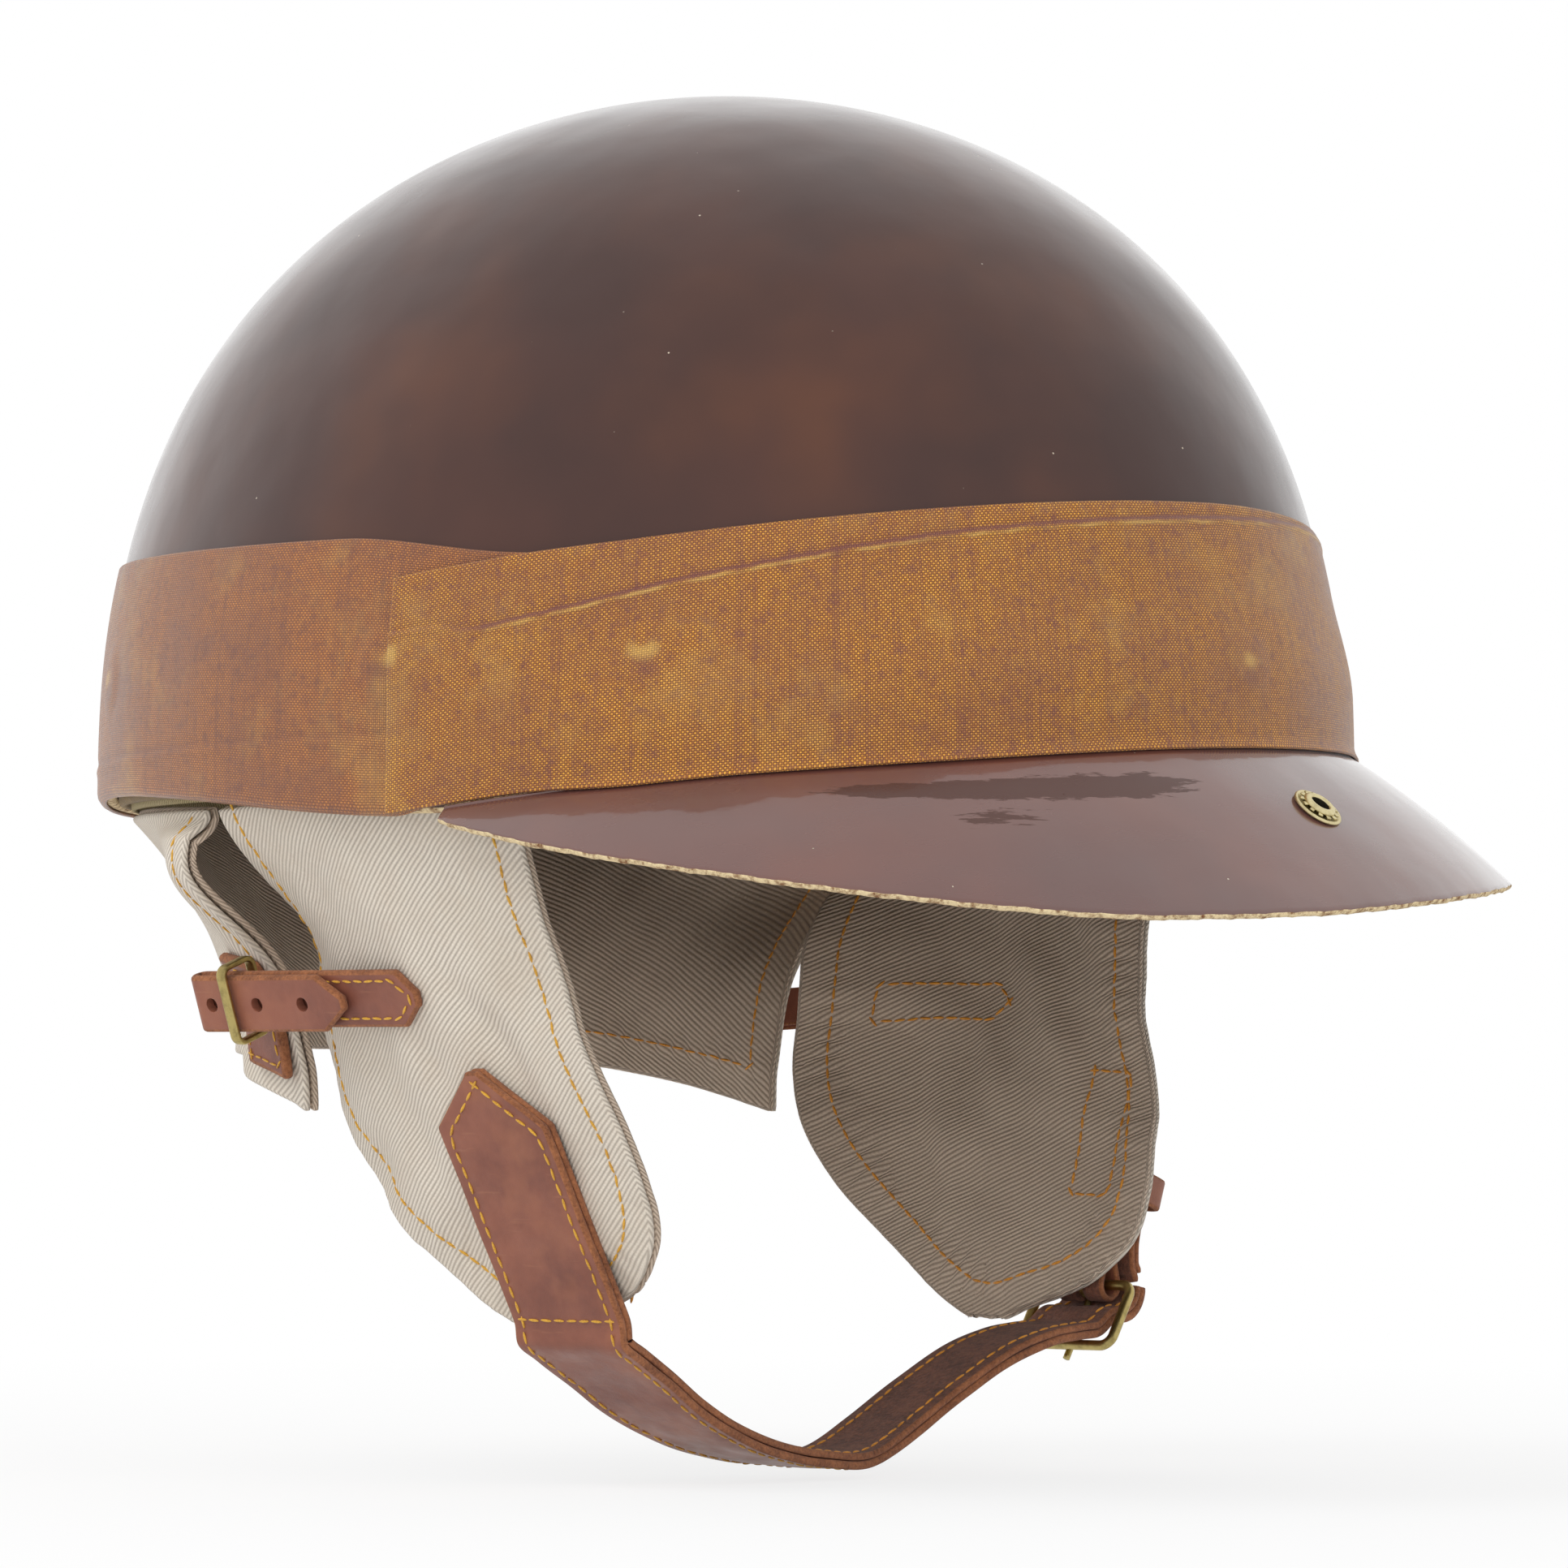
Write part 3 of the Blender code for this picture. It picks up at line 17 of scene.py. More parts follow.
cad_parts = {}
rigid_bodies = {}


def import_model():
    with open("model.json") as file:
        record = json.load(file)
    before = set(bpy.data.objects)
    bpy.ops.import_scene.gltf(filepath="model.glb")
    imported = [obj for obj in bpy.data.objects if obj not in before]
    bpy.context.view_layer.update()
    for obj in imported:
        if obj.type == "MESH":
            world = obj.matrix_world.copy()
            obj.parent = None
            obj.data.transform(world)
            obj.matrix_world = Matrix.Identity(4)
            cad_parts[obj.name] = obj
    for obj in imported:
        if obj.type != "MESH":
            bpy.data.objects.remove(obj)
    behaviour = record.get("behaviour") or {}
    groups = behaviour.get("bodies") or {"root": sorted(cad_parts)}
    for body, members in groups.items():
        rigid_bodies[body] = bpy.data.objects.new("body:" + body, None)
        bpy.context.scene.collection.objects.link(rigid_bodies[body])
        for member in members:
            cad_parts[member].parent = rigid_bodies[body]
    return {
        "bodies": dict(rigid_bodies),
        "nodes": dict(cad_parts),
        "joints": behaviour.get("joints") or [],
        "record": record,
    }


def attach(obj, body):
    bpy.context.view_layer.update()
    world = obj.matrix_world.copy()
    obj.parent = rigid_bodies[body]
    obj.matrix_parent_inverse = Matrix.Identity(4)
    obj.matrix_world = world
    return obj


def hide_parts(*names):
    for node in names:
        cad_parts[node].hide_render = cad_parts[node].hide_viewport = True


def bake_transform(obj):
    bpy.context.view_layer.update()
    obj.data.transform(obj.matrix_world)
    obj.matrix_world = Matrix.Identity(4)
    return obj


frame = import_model()
LOG = logging.getLogger("helmet")
Array = np.ndarray
Surface = Callable[[Array, Array], Array]
Piece = bpy.types.Object
Material = bpy.types.Material
Node = bpy.types.Node
Socket = bpy.types.NodeSocket
Colour = tuple[float, float, float, float]
Inputs = dict[str | int, object]
TURN = 2 * math.pi
AHEAD = np.array((1.0, 0.0, 0.0))
UP = np.array((0.0, 0.0, 1.0))
WHITE = (1.0, 1.0, 1.0, 1.0)
SURFACE_STEP = 4e-4
MEAN_RADIUS = 0.127
THREAD_LIFT = 0.00008


class Body(Enum):
    """Bodies of the CAD frame that pieces ride on."""

    HELMET = "helmet"
    RIGHT = "right_flap"
    LEFT = "left_flap"
    STRAP = "chin_strap"
    PRONG = "buckle_prong"


class Side(Enum):
    """Wearer's side of a paired piece."""

    RIGHT = "right"
    LEFT = "left"

    @property
    def body(self) -> Body:
        """Body that this side's flap rides on."""
        return Body.RIGHT if self is Side.RIGHT else Body.LEFT

    def turned(self, points: Array) -> Array:
        """Points or directions worked out for the wearer's right, on this side."""
        return points if self is Side.RIGHT else flip_y(points)

    def surface(self, place: Surface) -> Surface:
        """Surface worked out for the wearer's right, on this side."""
        return place if self is Side.RIGHT else mirrored(place)


# Shape helpers


def ease(value: Array) -> Array:
    """Ease from 0 to 1 as value goes from 0 to 1."""
    share = np.clip(value, 0.0, 1.0)
    return share * share * (3 - 2 * share)


def bell(value: Array, width: float) -> Array:
    """A bump of height 1 at value 0."""
    return np.exp(-(value / width) ** 2)


def unit(vectors: Array) -> Array:
    """Scale vectors to length one."""
    return vectors / np.maximum(np.linalg.norm(vectors, axis=-1, keepdims=True), 1e-12)


def stack(x: Array, y: Array, z: Array) -> Array:
    """Join three coordinate arrays into points."""
    return np.stack(np.broadcast_arrays(x, y, z), axis=-1).astype(float)


def flip_y(points: Array) -> Array:
    """Mirror points or directions to the other side of the helmet."""
    return points * np.array((1.0, -1.0, 1.0))


def read_curve(table: Sequence[tuple[float, float]], place: Array) -> Array:
    """Read a smooth curve through (place, value) pairs.

    Args:
        table: Places and values, rising in place.
        place: Places to read at.

    Returns:
        The values, of the shape of place.
    """
    keys = np.array([pair[0] for pair in table])
    values = np.array([pair[1] for pair in table])
    last = len(table) - 1
    place = np.asarray(place, float)
    index = np.clip(np.searchsorted(keys, place, side="left") - 1, 0, last - 1)
    before, after = np.maximum(index - 1, 0), np.minimum(index + 2, last)
    step = keys[index + 1] - keys[index]
    share = (place - keys[index]) / step
    low = (values[index + 1] - values[before]) / (keys[index + 1] - keys[before]) * step
    high = (values[after] - values[index]) / (keys[after] - keys[index]) * step
    square, cube = share * share, share ** 3
    return ((2 * cube - 3 * square + 1) * values[index] + (cube - 2 * square + share) * low
            + (3 * square - 2 * cube) * values[index + 1] + (cube - square) * high)


def run_of(points: Array) -> Array:
    """Length of a route up to each of its points."""
    return np.concatenate(([0.0], np.cumsum(np.linalg.norm(np.diff(points, axis=0), axis=1))))


def evened(line: Array, count: int) -> tuple[Array, Array]:
    """A broken line read at even steps, and the length up to each step."""
    lengths = run_of(line)
    fine = np.linspace(0, lengths[-1], count)
    return np.stack([np.interp(fine, lengths, column) for column in line.T], axis=-1), fine


def smoothed(line: Array, times: int) -> Array:
    """Even out a line's corners, its ends kept."""
    for _ in range(times):
        line[1:-1] = (line[:-2] + 2 * line[1:-1] + line[2:]) / 4
    return line


def smooth_route(points: Array, count: int) -> Array:
    """Read evenly spread points from a smooth curve through the given ones."""
    lengths = run_of(points)
    places = np.linspace(0.0, lengths[-1], count)
    return np.stack([read_curve(list(zip(lengths, points[:, axis])), places) for axis in range(3)], axis=-1)


def normal_of(place: Surface, u: Array, v: Array) -> Array:
    """Outward normal of a surface."""
    step = SURFACE_STEP
    across = place(np.minimum(u + step, 1.0), v) - place(np.maximum(u - step, 0.0), v)
    rise = place(u, np.minimum(v + step, 1.0)) - place(u, np.maximum(v - step, 0.0))
    return unit(np.cross(across, rise))


def offset(place: Surface, distance: float) -> Surface:
    """Surface parallel to another at a distance along its normal."""
    def moved(u: Array, v: Array) -> Array:
        return place(u, v) + distance * normal_of(place, u, v)

    return moved


def aimed(spot: Array, aim: Array, level: str = "Y") -> Matrix:
    """Frame at a spot with its Z along a direction."""
    turn = Vector(aim).to_track_quat("Z", level).to_matrix().to_4x4()
    return Matrix.Translation(Vector(spot)) @ turn


def mirrored(place: Surface) -> Surface:
    """The same surface on the wearer's left."""
    return lambda u, v: flip_y(place(1 - u, v))


def soft_noise(points: Array, scale: float, seed: int) -> Array:
    """Slow smooth noise of about -1 to 1 over points.

    Args:
        points: Points in metres.
        scale: Size of the waves in metres.
        seed: Fixed seed.

    Returns:
        One value for each point.
    """
    draw = np.random.default_rng(seed)
    total = np.zeros(points.shape[:-1])
    for _ in range(7):
        direction = unit(draw.normal(size=3)) * TURN / scale * (0.6 + 0.8 * draw.random())
        total += np.sin(points @ direction + TURN * draw.random())
    return total / 3.2


@dataclass
class MeshDraft:
    """Points, faces, face slots and UVs that are gathered before a mesh is made."""

    points: list[Array] = field(default_factory=list)
    faces: list[tuple[int, ...]] = field(default_factory=list)
    slots: list[int] = field(default_factory=list)
    uvs: list[Array] = field(default_factory=list)
    count: int = 0

    def add(self, points: Array, faces: Iterable[tuple[int, ...]], uvs: Array, slot: int = 0) -> int:
        """Add a patch of points and faces.

        Args:
            points: Points of the patch.
            faces: Faces by index into the patch, or into the draft once the base is added.
            uvs: One UV for each point.
            slot: Material slot of the faces.

        Returns:
            Index of the patch's first point.
        """
        base = self.count
        self.points.append(points.reshape(-1, 3))
        self.uvs.append(uvs.reshape(-1, 2))
        self.count += len(self.points[-1])
        for face in faces:
            self.faces.append(tuple(base + index for index in face))
            self.slots.append(slot)
        return base

    def build(self, name: str, finishes: Sequence[Material], weld: float = 0.0) -> Piece:
        """Make the object.

        Args:
            name: Object name.
            finishes: Materials by slot.
            weld: Distance under which points are merged.

        Returns:
            The new object, linked to the scene.
        """
        mesh = bpy.data.meshes.new(name)
        points = np.concatenate(self.points)
        uvs = np.concatenate(self.uvs)
        mesh.from_pydata(points.tolist(), [], self.faces)
        layer = mesh.uv_layers.new(name="weave")
        corners = np.zeros(len(mesh.loops), dtype=np.int32)
        mesh.loops.foreach_get("vertex_index", corners)
        layer.data.foreach_set("uv", uvs[corners].astype(np.float32).ravel())
        mesh.polygons.foreach_set("material_index", np.array(self.slots, dtype=np.int32))
        mesh.polygons.foreach_set("use_smooth", np.ones(len(self.faces), dtype=bool))
        for finish in finishes:
            mesh.materials.append(finish)
        if weld:
            with reworked(mesh) as work:
                bmesh.ops.remove_doubles(work, verts=work.verts, dist=weld)
        mesh.validate()
        mesh.update()
        return placed(name, mesh)


@contextmanager
def reworked(mesh: bpy.types.Mesh) -> Iterator[bmesh.types.BMesh]:
    """Open a mesh for editing and write it back."""
    work = bmesh.new()
    work.from_mesh(mesh)
    yield work
    work.to_mesh(mesh)
    work.free()


def outward(mesh: bpy.types.Mesh) -> None:
    """Turn a closed mesh's faces outwards."""
    with reworked(mesh) as work:
        bmesh.ops.recalc_face_normals(work, faces=work.faces)


def placed(name: str, data: bpy.types.ID) -> Piece:
    """Link a new object to the scene."""
    piece = bpy.data.objects.new(name, data)
    bpy.context.scene.collection.objects.link(piece)
    return piece


def spots_of(mesh: bpy.types.Mesh) -> tuple[Array, Array]:
    """A mesh's points and their angles round the shell."""
    flat = np.zeros(len(mesh.vertices) * 3)
    mesh.vertices.foreach_get("co", flat)
    spots = flat.reshape(-1, 3)
    return spots, np.arctan2(spots[:, 1] / FORM.half_width, spots[:, 0] / FORM.half_length)


def paint(mesh: bpy.types.Mesh, name: str, values: Array) -> None:
    """Store a painted layer of 0 to 1 on a mesh's points."""
    layer = mesh.attributes.new(name, "FLOAT", "POINT")
    layer.data.foreach_set("value", np.clip(values, 0, 1).astype(np.float32))


def grid_faces(columns: int, rows: int, flip: bool = False) -> list[tuple[int, ...]]:
    """Quads of a grid of points with columns+1 by rows+1 points, listed row by row."""
    wide = columns + 1
    quads = []
    for row in range(rows):
        for column in range(columns):
            a = row * wide + column
            quad = (a, a + 1, a + 1 + wide, a + wide)
            quads.append(quad[::-1] if flip else quad)
    return quads


@dataclass(frozen=True)
class SlabPlan:
    """How a sheet with a wall is meshed."""

    columns: int
    rows: int
    thickness: float
    closed: bool = False
    rim_steps: int = 4
    bulge: float = 1.0
    lip: int = 0


def slab(name: str, place: Surface, plan: SlabPlan, finishes: Sequence[Material],
         uv_of: Optional[Callable[[Array, Array], Array]] = None) -> Piece:
    """A sheet with a wall inwards of its face and rounded edges.

    Args:
        name: Object name.
        place: The face, by its shares across and up.
        plan: Mesh density and wall.
        finishes: Face, edge and back materials; missing ones repeat the first.
        uv_of: UV in metres by share; arc length when left out.

    Returns:
        The closed object.
    """
    half = plan.thickness / 2
    probe = np.linspace(0.0, 1.0, 33)
    mid = np.full(33, 0.5)
    wide = float(np.linalg.norm(np.diff(place(probe, mid), axis=0), axis=1).sum())
    tall = float(np.linalg.norm(np.diff(place(mid, probe), axis=0), axis=1).sum())
    inset_u = 0.0 if plan.closed else min(half / wide, 0.2)
    inset_v = min(half / tall, 0.2)
    us = np.linspace(inset_u, 1 - inset_u, plan.columns + 1)
    vs = inset_v + (1 - 2 * inset_v) * np.linspace(0.0, 1.0, plan.rows + 1)
    u, v = np.meshgrid(us, vs)
    face = place(u, v)
    normal = normal_of(place, u, v)
    middle = face - normal * half
    uv = uv_of(u, v) if uv_of else np.stack((u * wide, v * tall), axis=-1)
    draft = MeshDraft()
    draft.add(face, grid_faces(plan.columns, plan.rows), uv, 0)
    back_slot = 2 if len(finishes) > 2 else 0
    draft.add(face - normal * plan.thickness, grid_faces(plan.columns, plan.rows, True), uv, back_slot)
    size = (plan.columns + 1) * (plan.rows + 1)
    index = np.arange(size).reshape(plan.rows + 1, plan.columns + 1)
    step = SURFACE_STEP
    rise = unit(place(u, np.minimum(v + step, 1)) - place(u, np.maximum(v - step, 0)))
    side = unit(np.cross(rise, normal))
    edge_slot = 1 if len(finishes) > 1 else 0

    def rim(ids: Array, outward: Array, looped: bool) -> None:
        rings = [ids]
        flat_mid = middle.reshape(-1, 3)[ids]
        flat_normal = normal.reshape(-1, 3)[ids]
        flat_uv = uv.reshape(-1, 2)[ids]
        for ring in range(1, plan.rim_steps):
            turn = math.pi * ring / plan.rim_steps
            ring_points = (flat_mid + flat_normal * half * math.cos(turn)
                           + outward * half * plan.bulge * math.sin(turn))
            spread = flat_uv.copy()
            spread[:, 1] += half * ring
            base = draft.add(ring_points, [], spread, edge_slot)
            rings.append(np.arange(base, base + len(ids)))
        rings.append(ids + size)
        for number, (low, high) in enumerate(zip(rings, rings[1:])):
            count = len(ids) if looped else len(ids) - 1
            for at in range(count):
                nxt = (at + 1) % len(ids)
                draft.faces.append((int(low[at]), int(high[at]), int(high[nxt]), int(low[nxt])))
                draft.slots.append(0 if number < plan.lip else edge_slot)

    flat_side, flat_rise = side.reshape(-1, 3), rise.reshape(-1, 3)
    if plan.closed:
        rim(index[0, :], -flat_rise[index[0, :]], False)
        top = index[-1, ::-1]
        rim(top, flat_rise[top], False)
        return draft.build(name, finishes, weld=2e-6)
    loop, out = [], []
    for ids, direction in ((index[0, :], -flat_rise), (index[:, -1], flat_side),
                           (index[-1, ::-1], flat_rise), (index[::-1, 0], -flat_side)):
        for at in ids:
            if loop and loop[-1] == at:
                out[-1] = out[-1] + direction[at]
                continue
            loop.append(int(at))
            out.append(direction[at].copy())
    if loop[0] == loop[-1]:
        out[0] = out[0] + out[-1]
        loop, out = loop[:-1], out[:-1]
    rim(np.array(loop), unit(np.array(out)), True)
    return draft.build(name, finishes)


@dataclass
class Ribbon:
    """A strip along a route, with its width along one side direction."""

    route: Array
    widths: Array
    side: Array

    def place(self, u: Array, v: Array) -> Array:
        """Point on the strip's face by its shares along and across."""
        at = np.clip(u, 0, 1) * (len(self.route) - 1)
        low = np.minimum(at.astype(int), len(self.route) - 2)
        share = (at - low)[..., None]
        spot = self.route[low] * (1 - share) + self.route[low + 1] * share
        wide = self.widths[low] * (1 - share[..., 0]) + self.widths[low + 1] * share[..., 0]
        return spot + self.side * (wide * (v - 0.5))[..., None]

    def wide_at(self, u: Array) -> Array:
        """Width at a share along."""
        return np.interp(u, np.linspace(0, 1, len(self.widths)), self.widths)

    @property
    def length(self) -> float:
        """Length of the route."""
        return float(np.linalg.norm(np.diff(self.route, axis=0), axis=1).sum())


def ribbon_from(points: Array, widths: Array, side: Array, count: int = 240) -> Ribbon:
    """Smooth a coarse route into a fine one.

    Args:
        points: Coarse route.
        widths: Width at each coarse point.
        side: Direction of the width.
        count: Number of fine points.

    Returns:
        The fine ribbon.
    """
    lengths = run_of(points)
    fine = np.linspace(0.0, lengths[-1], count)
    return Ribbon(smooth_route(points, count), np.interp(fine, lengths, widths), np.asarray(side, float))


@dataclass(frozen=True)
class WirePlan:
    """Section of a bent wire or bar."""

    half_wide: float
    half_deep: float
    steps: int = 20
    squareness: float = 2.0
    closed: bool = True


def wire(name: str, path: Array, plan: WirePlan, finish: Material, flat: Array) -> Piece:
    """A bar of rounded section along a path.

    Args:
        name: Object name.
        path: Middle line.
        plan: Section of the bar.
        finish: Its material.
        flat: Direction across which half_wide is measured.

    Returns:
        The bar.
    """
    if plan.closed:
        aim = np.roll(path, -1, axis=0) - np.roll(path, 1, axis=0)
    else:
        aim = np.gradient(path, axis=0)
    aim = unit(aim)
    first = unit(flat - aim * (aim @ flat)[:, None])
    second = np.cross(aim, first)
    turn = np.arange(plan.steps) / plan.steps * TURN
    power = 2 / plan.squareness
    wave = np.sign(np.cos(turn)) * np.abs(np.cos(turn)) ** power
    lift = np.sign(np.sin(turn)) * np.abs(np.sin(turn)) ** power
    rings = (path[:, None] + first[:, None] * (plan.half_wide * wave)[None, :, None]
             + second[:, None] * (plan.half_deep * lift)[None, :, None])
    count, steps = len(path), plan.steps
    faces = []
    for ring in range(count if plan.closed else count - 1):
        nxt = (ring + 1) % count
        for at in range(steps):
            after = (at + 1) % steps
            faces.append((ring * steps + at, nxt * steps + at, nxt * steps + after,
                          ring * steps + after)[::-1])
    if not plan.closed:
        faces.append(tuple(range(steps))[::-1])
        faces.append(tuple(range((count - 1) * steps, count * steps)))
    lengths = run_of(path)
    around = np.arange(steps) / steps * (plan.half_wide + plan.half_deep) * math.pi
    uv = np.stack(np.meshgrid(lengths, around, indexing="ij"), axis=-1)
    draft = MeshDraft()
    draft.add(rings, faces, uv)
    piece = draft.build(name, [finish])
    outward(piece.data)
    return piece


def lathe(name: str, profile: Sequence[tuple[float, float]], frame: Matrix, finish: Material,
          steps: int = 48) -> Piece:
    """A closed profile of (radius, height) turned about the frame's Z axis.

    Args:
        name: Object name.
        profile: Closed outline.
        frame: Where it stands.
        finish: Its material.
        steps: Steps around.

    Returns:
        The turned piece.
    """
    outline = np.array(profile)
    turn = np.arange(steps) / steps * TURN
    points = np.stack((outline[None, :, 0] * np.cos(turn)[:, None],
                       outline[None, :, 0] * np.sin(turn)[:, None],
                       np.broadcast_to(outline[None, :, 1], (steps, len(outline)))), axis=-1)
    turned = points.reshape(-1, 3) @ np.array(frame.to_3x3()).T + np.array(frame.translation)
    count = len(outline)
    faces = []
    for step in range(steps):
        nxt = (step + 1) % steps
        for at in range(count):
            after = (at + 1) % count
            faces.append((step * count + at, nxt * count + at, nxt * count + after, step * count + after))
    draft = MeshDraft()
    draft.add(turned, faces, np.tile(outline, (steps, 1)))
    piece = draft.build(name, [finish], weld=1e-6)
    outward(piece.data)
    return piece


def applied(piece: Piece) -> Piece:
    """Replace a piece's mesh by its evaluated one and drop its modifiers."""
    graph = bpy.context.evaluated_depsgraph_get()
    graph.update()
    mesh = bpy.data.meshes.new_from_object(piece.evaluated_get(graph), depsgraph=graph)
    if piece.type != "MESH":
        name = piece.name
        piece.name = name + "_route"
        fresh = placed(name, mesh)
        bpy.data.objects.remove(piece, do_unlink=True)
        fresh.name = name
        return fresh
    piece.modifiers.clear()
    piece.data = mesh
    return piece


# Node trees


class Wiring:
    """Short ways to add and link the nodes of a tree."""

    def __init__(self, tree: bpy.types.NodeTree) -> None:
        """Work on a tree."""
        self.tree = tree

    def feed(self, socket: Socket, value: object) -> None:
        """Link or set a socket."""
        if isinstance(value, Socket):
            self.tree.links.new(value, socket)
        else:
            socket.default_value = value

    def node(self, kind: str, inputs: Optional[Inputs] = None, **settings: object) -> Node:
        """Add a node, set its properties, and link or set its inputs."""
        made = self.tree.nodes.new(kind)
        for key, value in settings.items():
            setattr(made, key, value)
        for key, value in (inputs or {}).items():
            self.feed(made.inputs[key], value)
        return made


class GeometryTree(Wiring):
    """A geometry node group with named inputs, ending in Realize Instances and Set Material."""

    def __init__(self, name: str) -> None:
        """Start the group with its geometry sockets."""
        super().__init__(bpy.data.node_groups.new(name, "GeometryNodeTree"))
        self.sockets: dict[str, str] = {}
        for way in ("INPUT", "OUTPUT"):
            self.tree.interface.new_socket("Geometry", in_out=way, socket_type="NodeSocketGeometry")
        self.source = self.node("NodeGroupInput")

    def declare(self, **defaults: float | int) -> None:
        """Add named inputs, of the kind of their defaults."""
        for name, default in defaults.items():
            kind = "Int" if isinstance(default, int) else "Float"
            socket = self.tree.interface.new_socket(name, in_out="INPUT", socket_type=f"NodeSocket{kind}")
            socket.default_value = default
            self.sockets[name] = socket.identifier

    def given(self, name: str) -> Socket:
        """Socket of a named input."""
        return self.source.outputs[name]

    def lay(self, dots: Node, thing: Node, turn: Node, size: Node, finish: Material) -> None:
        """Put a turned and sized copy of a thing on each point, dress it and close the group."""
        laid = self.node("GeometryNodeInstanceOnPoints",
                         {"Points": dots.outputs[0], "Instance": thing.outputs[0],
                          "Rotation": turn.outputs[0], "Scale": size.outputs[0]})
        real = self.node("GeometryNodeRealizeInstances", {"Geometry": laid.outputs[0]})
        dressed = self.node("GeometryNodeSetMaterial", {"Geometry": real.outputs[0], "Material": finish})
        smooth = self.node("GeometryNodeSetShadeSmooth", {0: dressed.outputs[0]})
        self.node("NodeGroupOutput", {0: smooth.outputs[0]})

    def use(self, piece: Piece, **values: float | int) -> Piece:
        """Run the group on a piece and keep the result as its plain mesh."""
        modifier = piece.modifiers.new(self.tree.name, "NODES")
        modifier.node_group = self.tree
        for key, value in values.items():
            modifier[self.sockets[key]] = value
        return applied(piece)


@dataclass(frozen=True)
class StitchPlan:
    """Length, gap and thickness of a row of stitches."""

    pitch: float = 0.0031
    share: float = 0.86
    radius: float = 0.00026
    lean: float = 0.10


class StitchTree(GeometryTree):
    """Lays one thread stitch on each step of a route."""

    def __init__(self, finish: Material) -> None:
        """Build the tree for one thread."""
        super().__init__("stitches")
        self.declare(Pitch=0.003, Stitch=0.0026, Radius=0.0003, Lean=0.1, Seed=1)
        steps = self.node("GeometryNodeResampleCurve", {"Curve": self.source.outputs["Geometry"],
                                                        "Length": self.given("Pitch")}, mode="LENGTH")
        dots = self.node("GeometryNodeCurveToPoints", {"Curve": steps.outputs[0]}, mode="EVALUATED")
        ball = self.node("GeometryNodeMeshUVSphere", {"Segments": 8, "Rings": 7, "Radius": 1.0})
        swing = self.node("FunctionNodeRandomValue", {2: -1.0, 3: 1.0, "Seed": self.given("Seed")},
                          data_type="FLOAT")
        lean = self.node("ShaderNodeMath", {0: swing.outputs[1], 1: self.given("Lean")}, operation="MULTIPLY")
        turn = self.node("ShaderNodeCombineXYZ", {"X": lean.outputs[0], "Y": lean.outputs[0]})
        tilt = self.node("FunctionNodeEulerToRotation", {0: turn.outputs[0]})
        aim = self.node("FunctionNodeRotateRotation", {0: dots.outputs["Rotation"], 1: tilt.outputs[0]},
                        rotation_space="LOCAL")
        half = self.node("ShaderNodeMath", {0: self.given("Stitch"), 1: 0.5}, operation="MULTIPLY")
        size = self.node("ShaderNodeCombineXYZ", {"X": self.given("Radius"), "Y": self.given("Radius"),
                                                  "Z": half.outputs[0]})
        self.lay(dots, ball, aim, size, finish)

    def sew(self, name: str, routes: Sequence[Array], plan: StitchPlan, seed: int) -> Piece:
        """Sew along routes.

        Args:
            name: Name of the piece of stitches.
            routes: Lines of points on the sewn surface.
            plan: Stitch sizes.
            seed: Fixed seed of the stitches' lean.

        Returns:
            All the stitches as one mesh.
        """
        curve = bpy.data.curves.new(name, "CURVE")
        curve.dimensions = "3D"
        for route in routes:
            spline = curve.splines.new("POLY")
            spline.points.add(len(route) - 1)
            flat = np.concatenate((route, np.ones((len(route), 1))), axis=1)
            spline.points.foreach_set("co", flat.astype(np.float32).ravel())
        return self.use(placed(name, curve), Pitch=plan.pitch, Stitch=plan.pitch * plan.share,
                        Radius=plan.radius, Lean=plan.lean, Seed=seed)


def on_surface(place: Surface, us: Array, vs: Array, lift: float) -> Array:
    """Points over a surface at shares, lifted along its normal."""
    us, vs = np.asarray(us, float), np.asarray(vs, float)
    return place(us, vs) + lift * normal_of(place, us, vs)


def polyline(corners: Sequence[tuple[float, float]], step: float = 0.01) -> tuple[Array, Array]:
    """Fill a line of share corners with points."""
    us, vs = [], []
    for (u0, v0), (u1, v1) in zip(corners, corners[1:]):
        count = max(int(math.hypot(u1 - u0, v1 - v0) / step), 2)
        share = np.arange(count) / count
        us.append(u0 + (u1 - u0) * share)
        vs.append(v0 + (v1 - v0) * share)
    us.append(np.array([corners[-1][0]]))
    vs.append(np.array([corners[-1][1]]))
    return np.concatenate(us), np.concatenate(vs)


# Finishes


def tone(code: str) -> Colour:
    """Linear colour of a six-digit code."""
    parts = [int(code[at:at + 2], 16) / 255 for at in (0, 2, 4)]
    linear = [part / 12.92 if part <= 0.04045 else ((part + 0.055) / 1.055) ** 2.4 for part in parts]
    return (linear[0], linear[1], linear[2], 1.0)


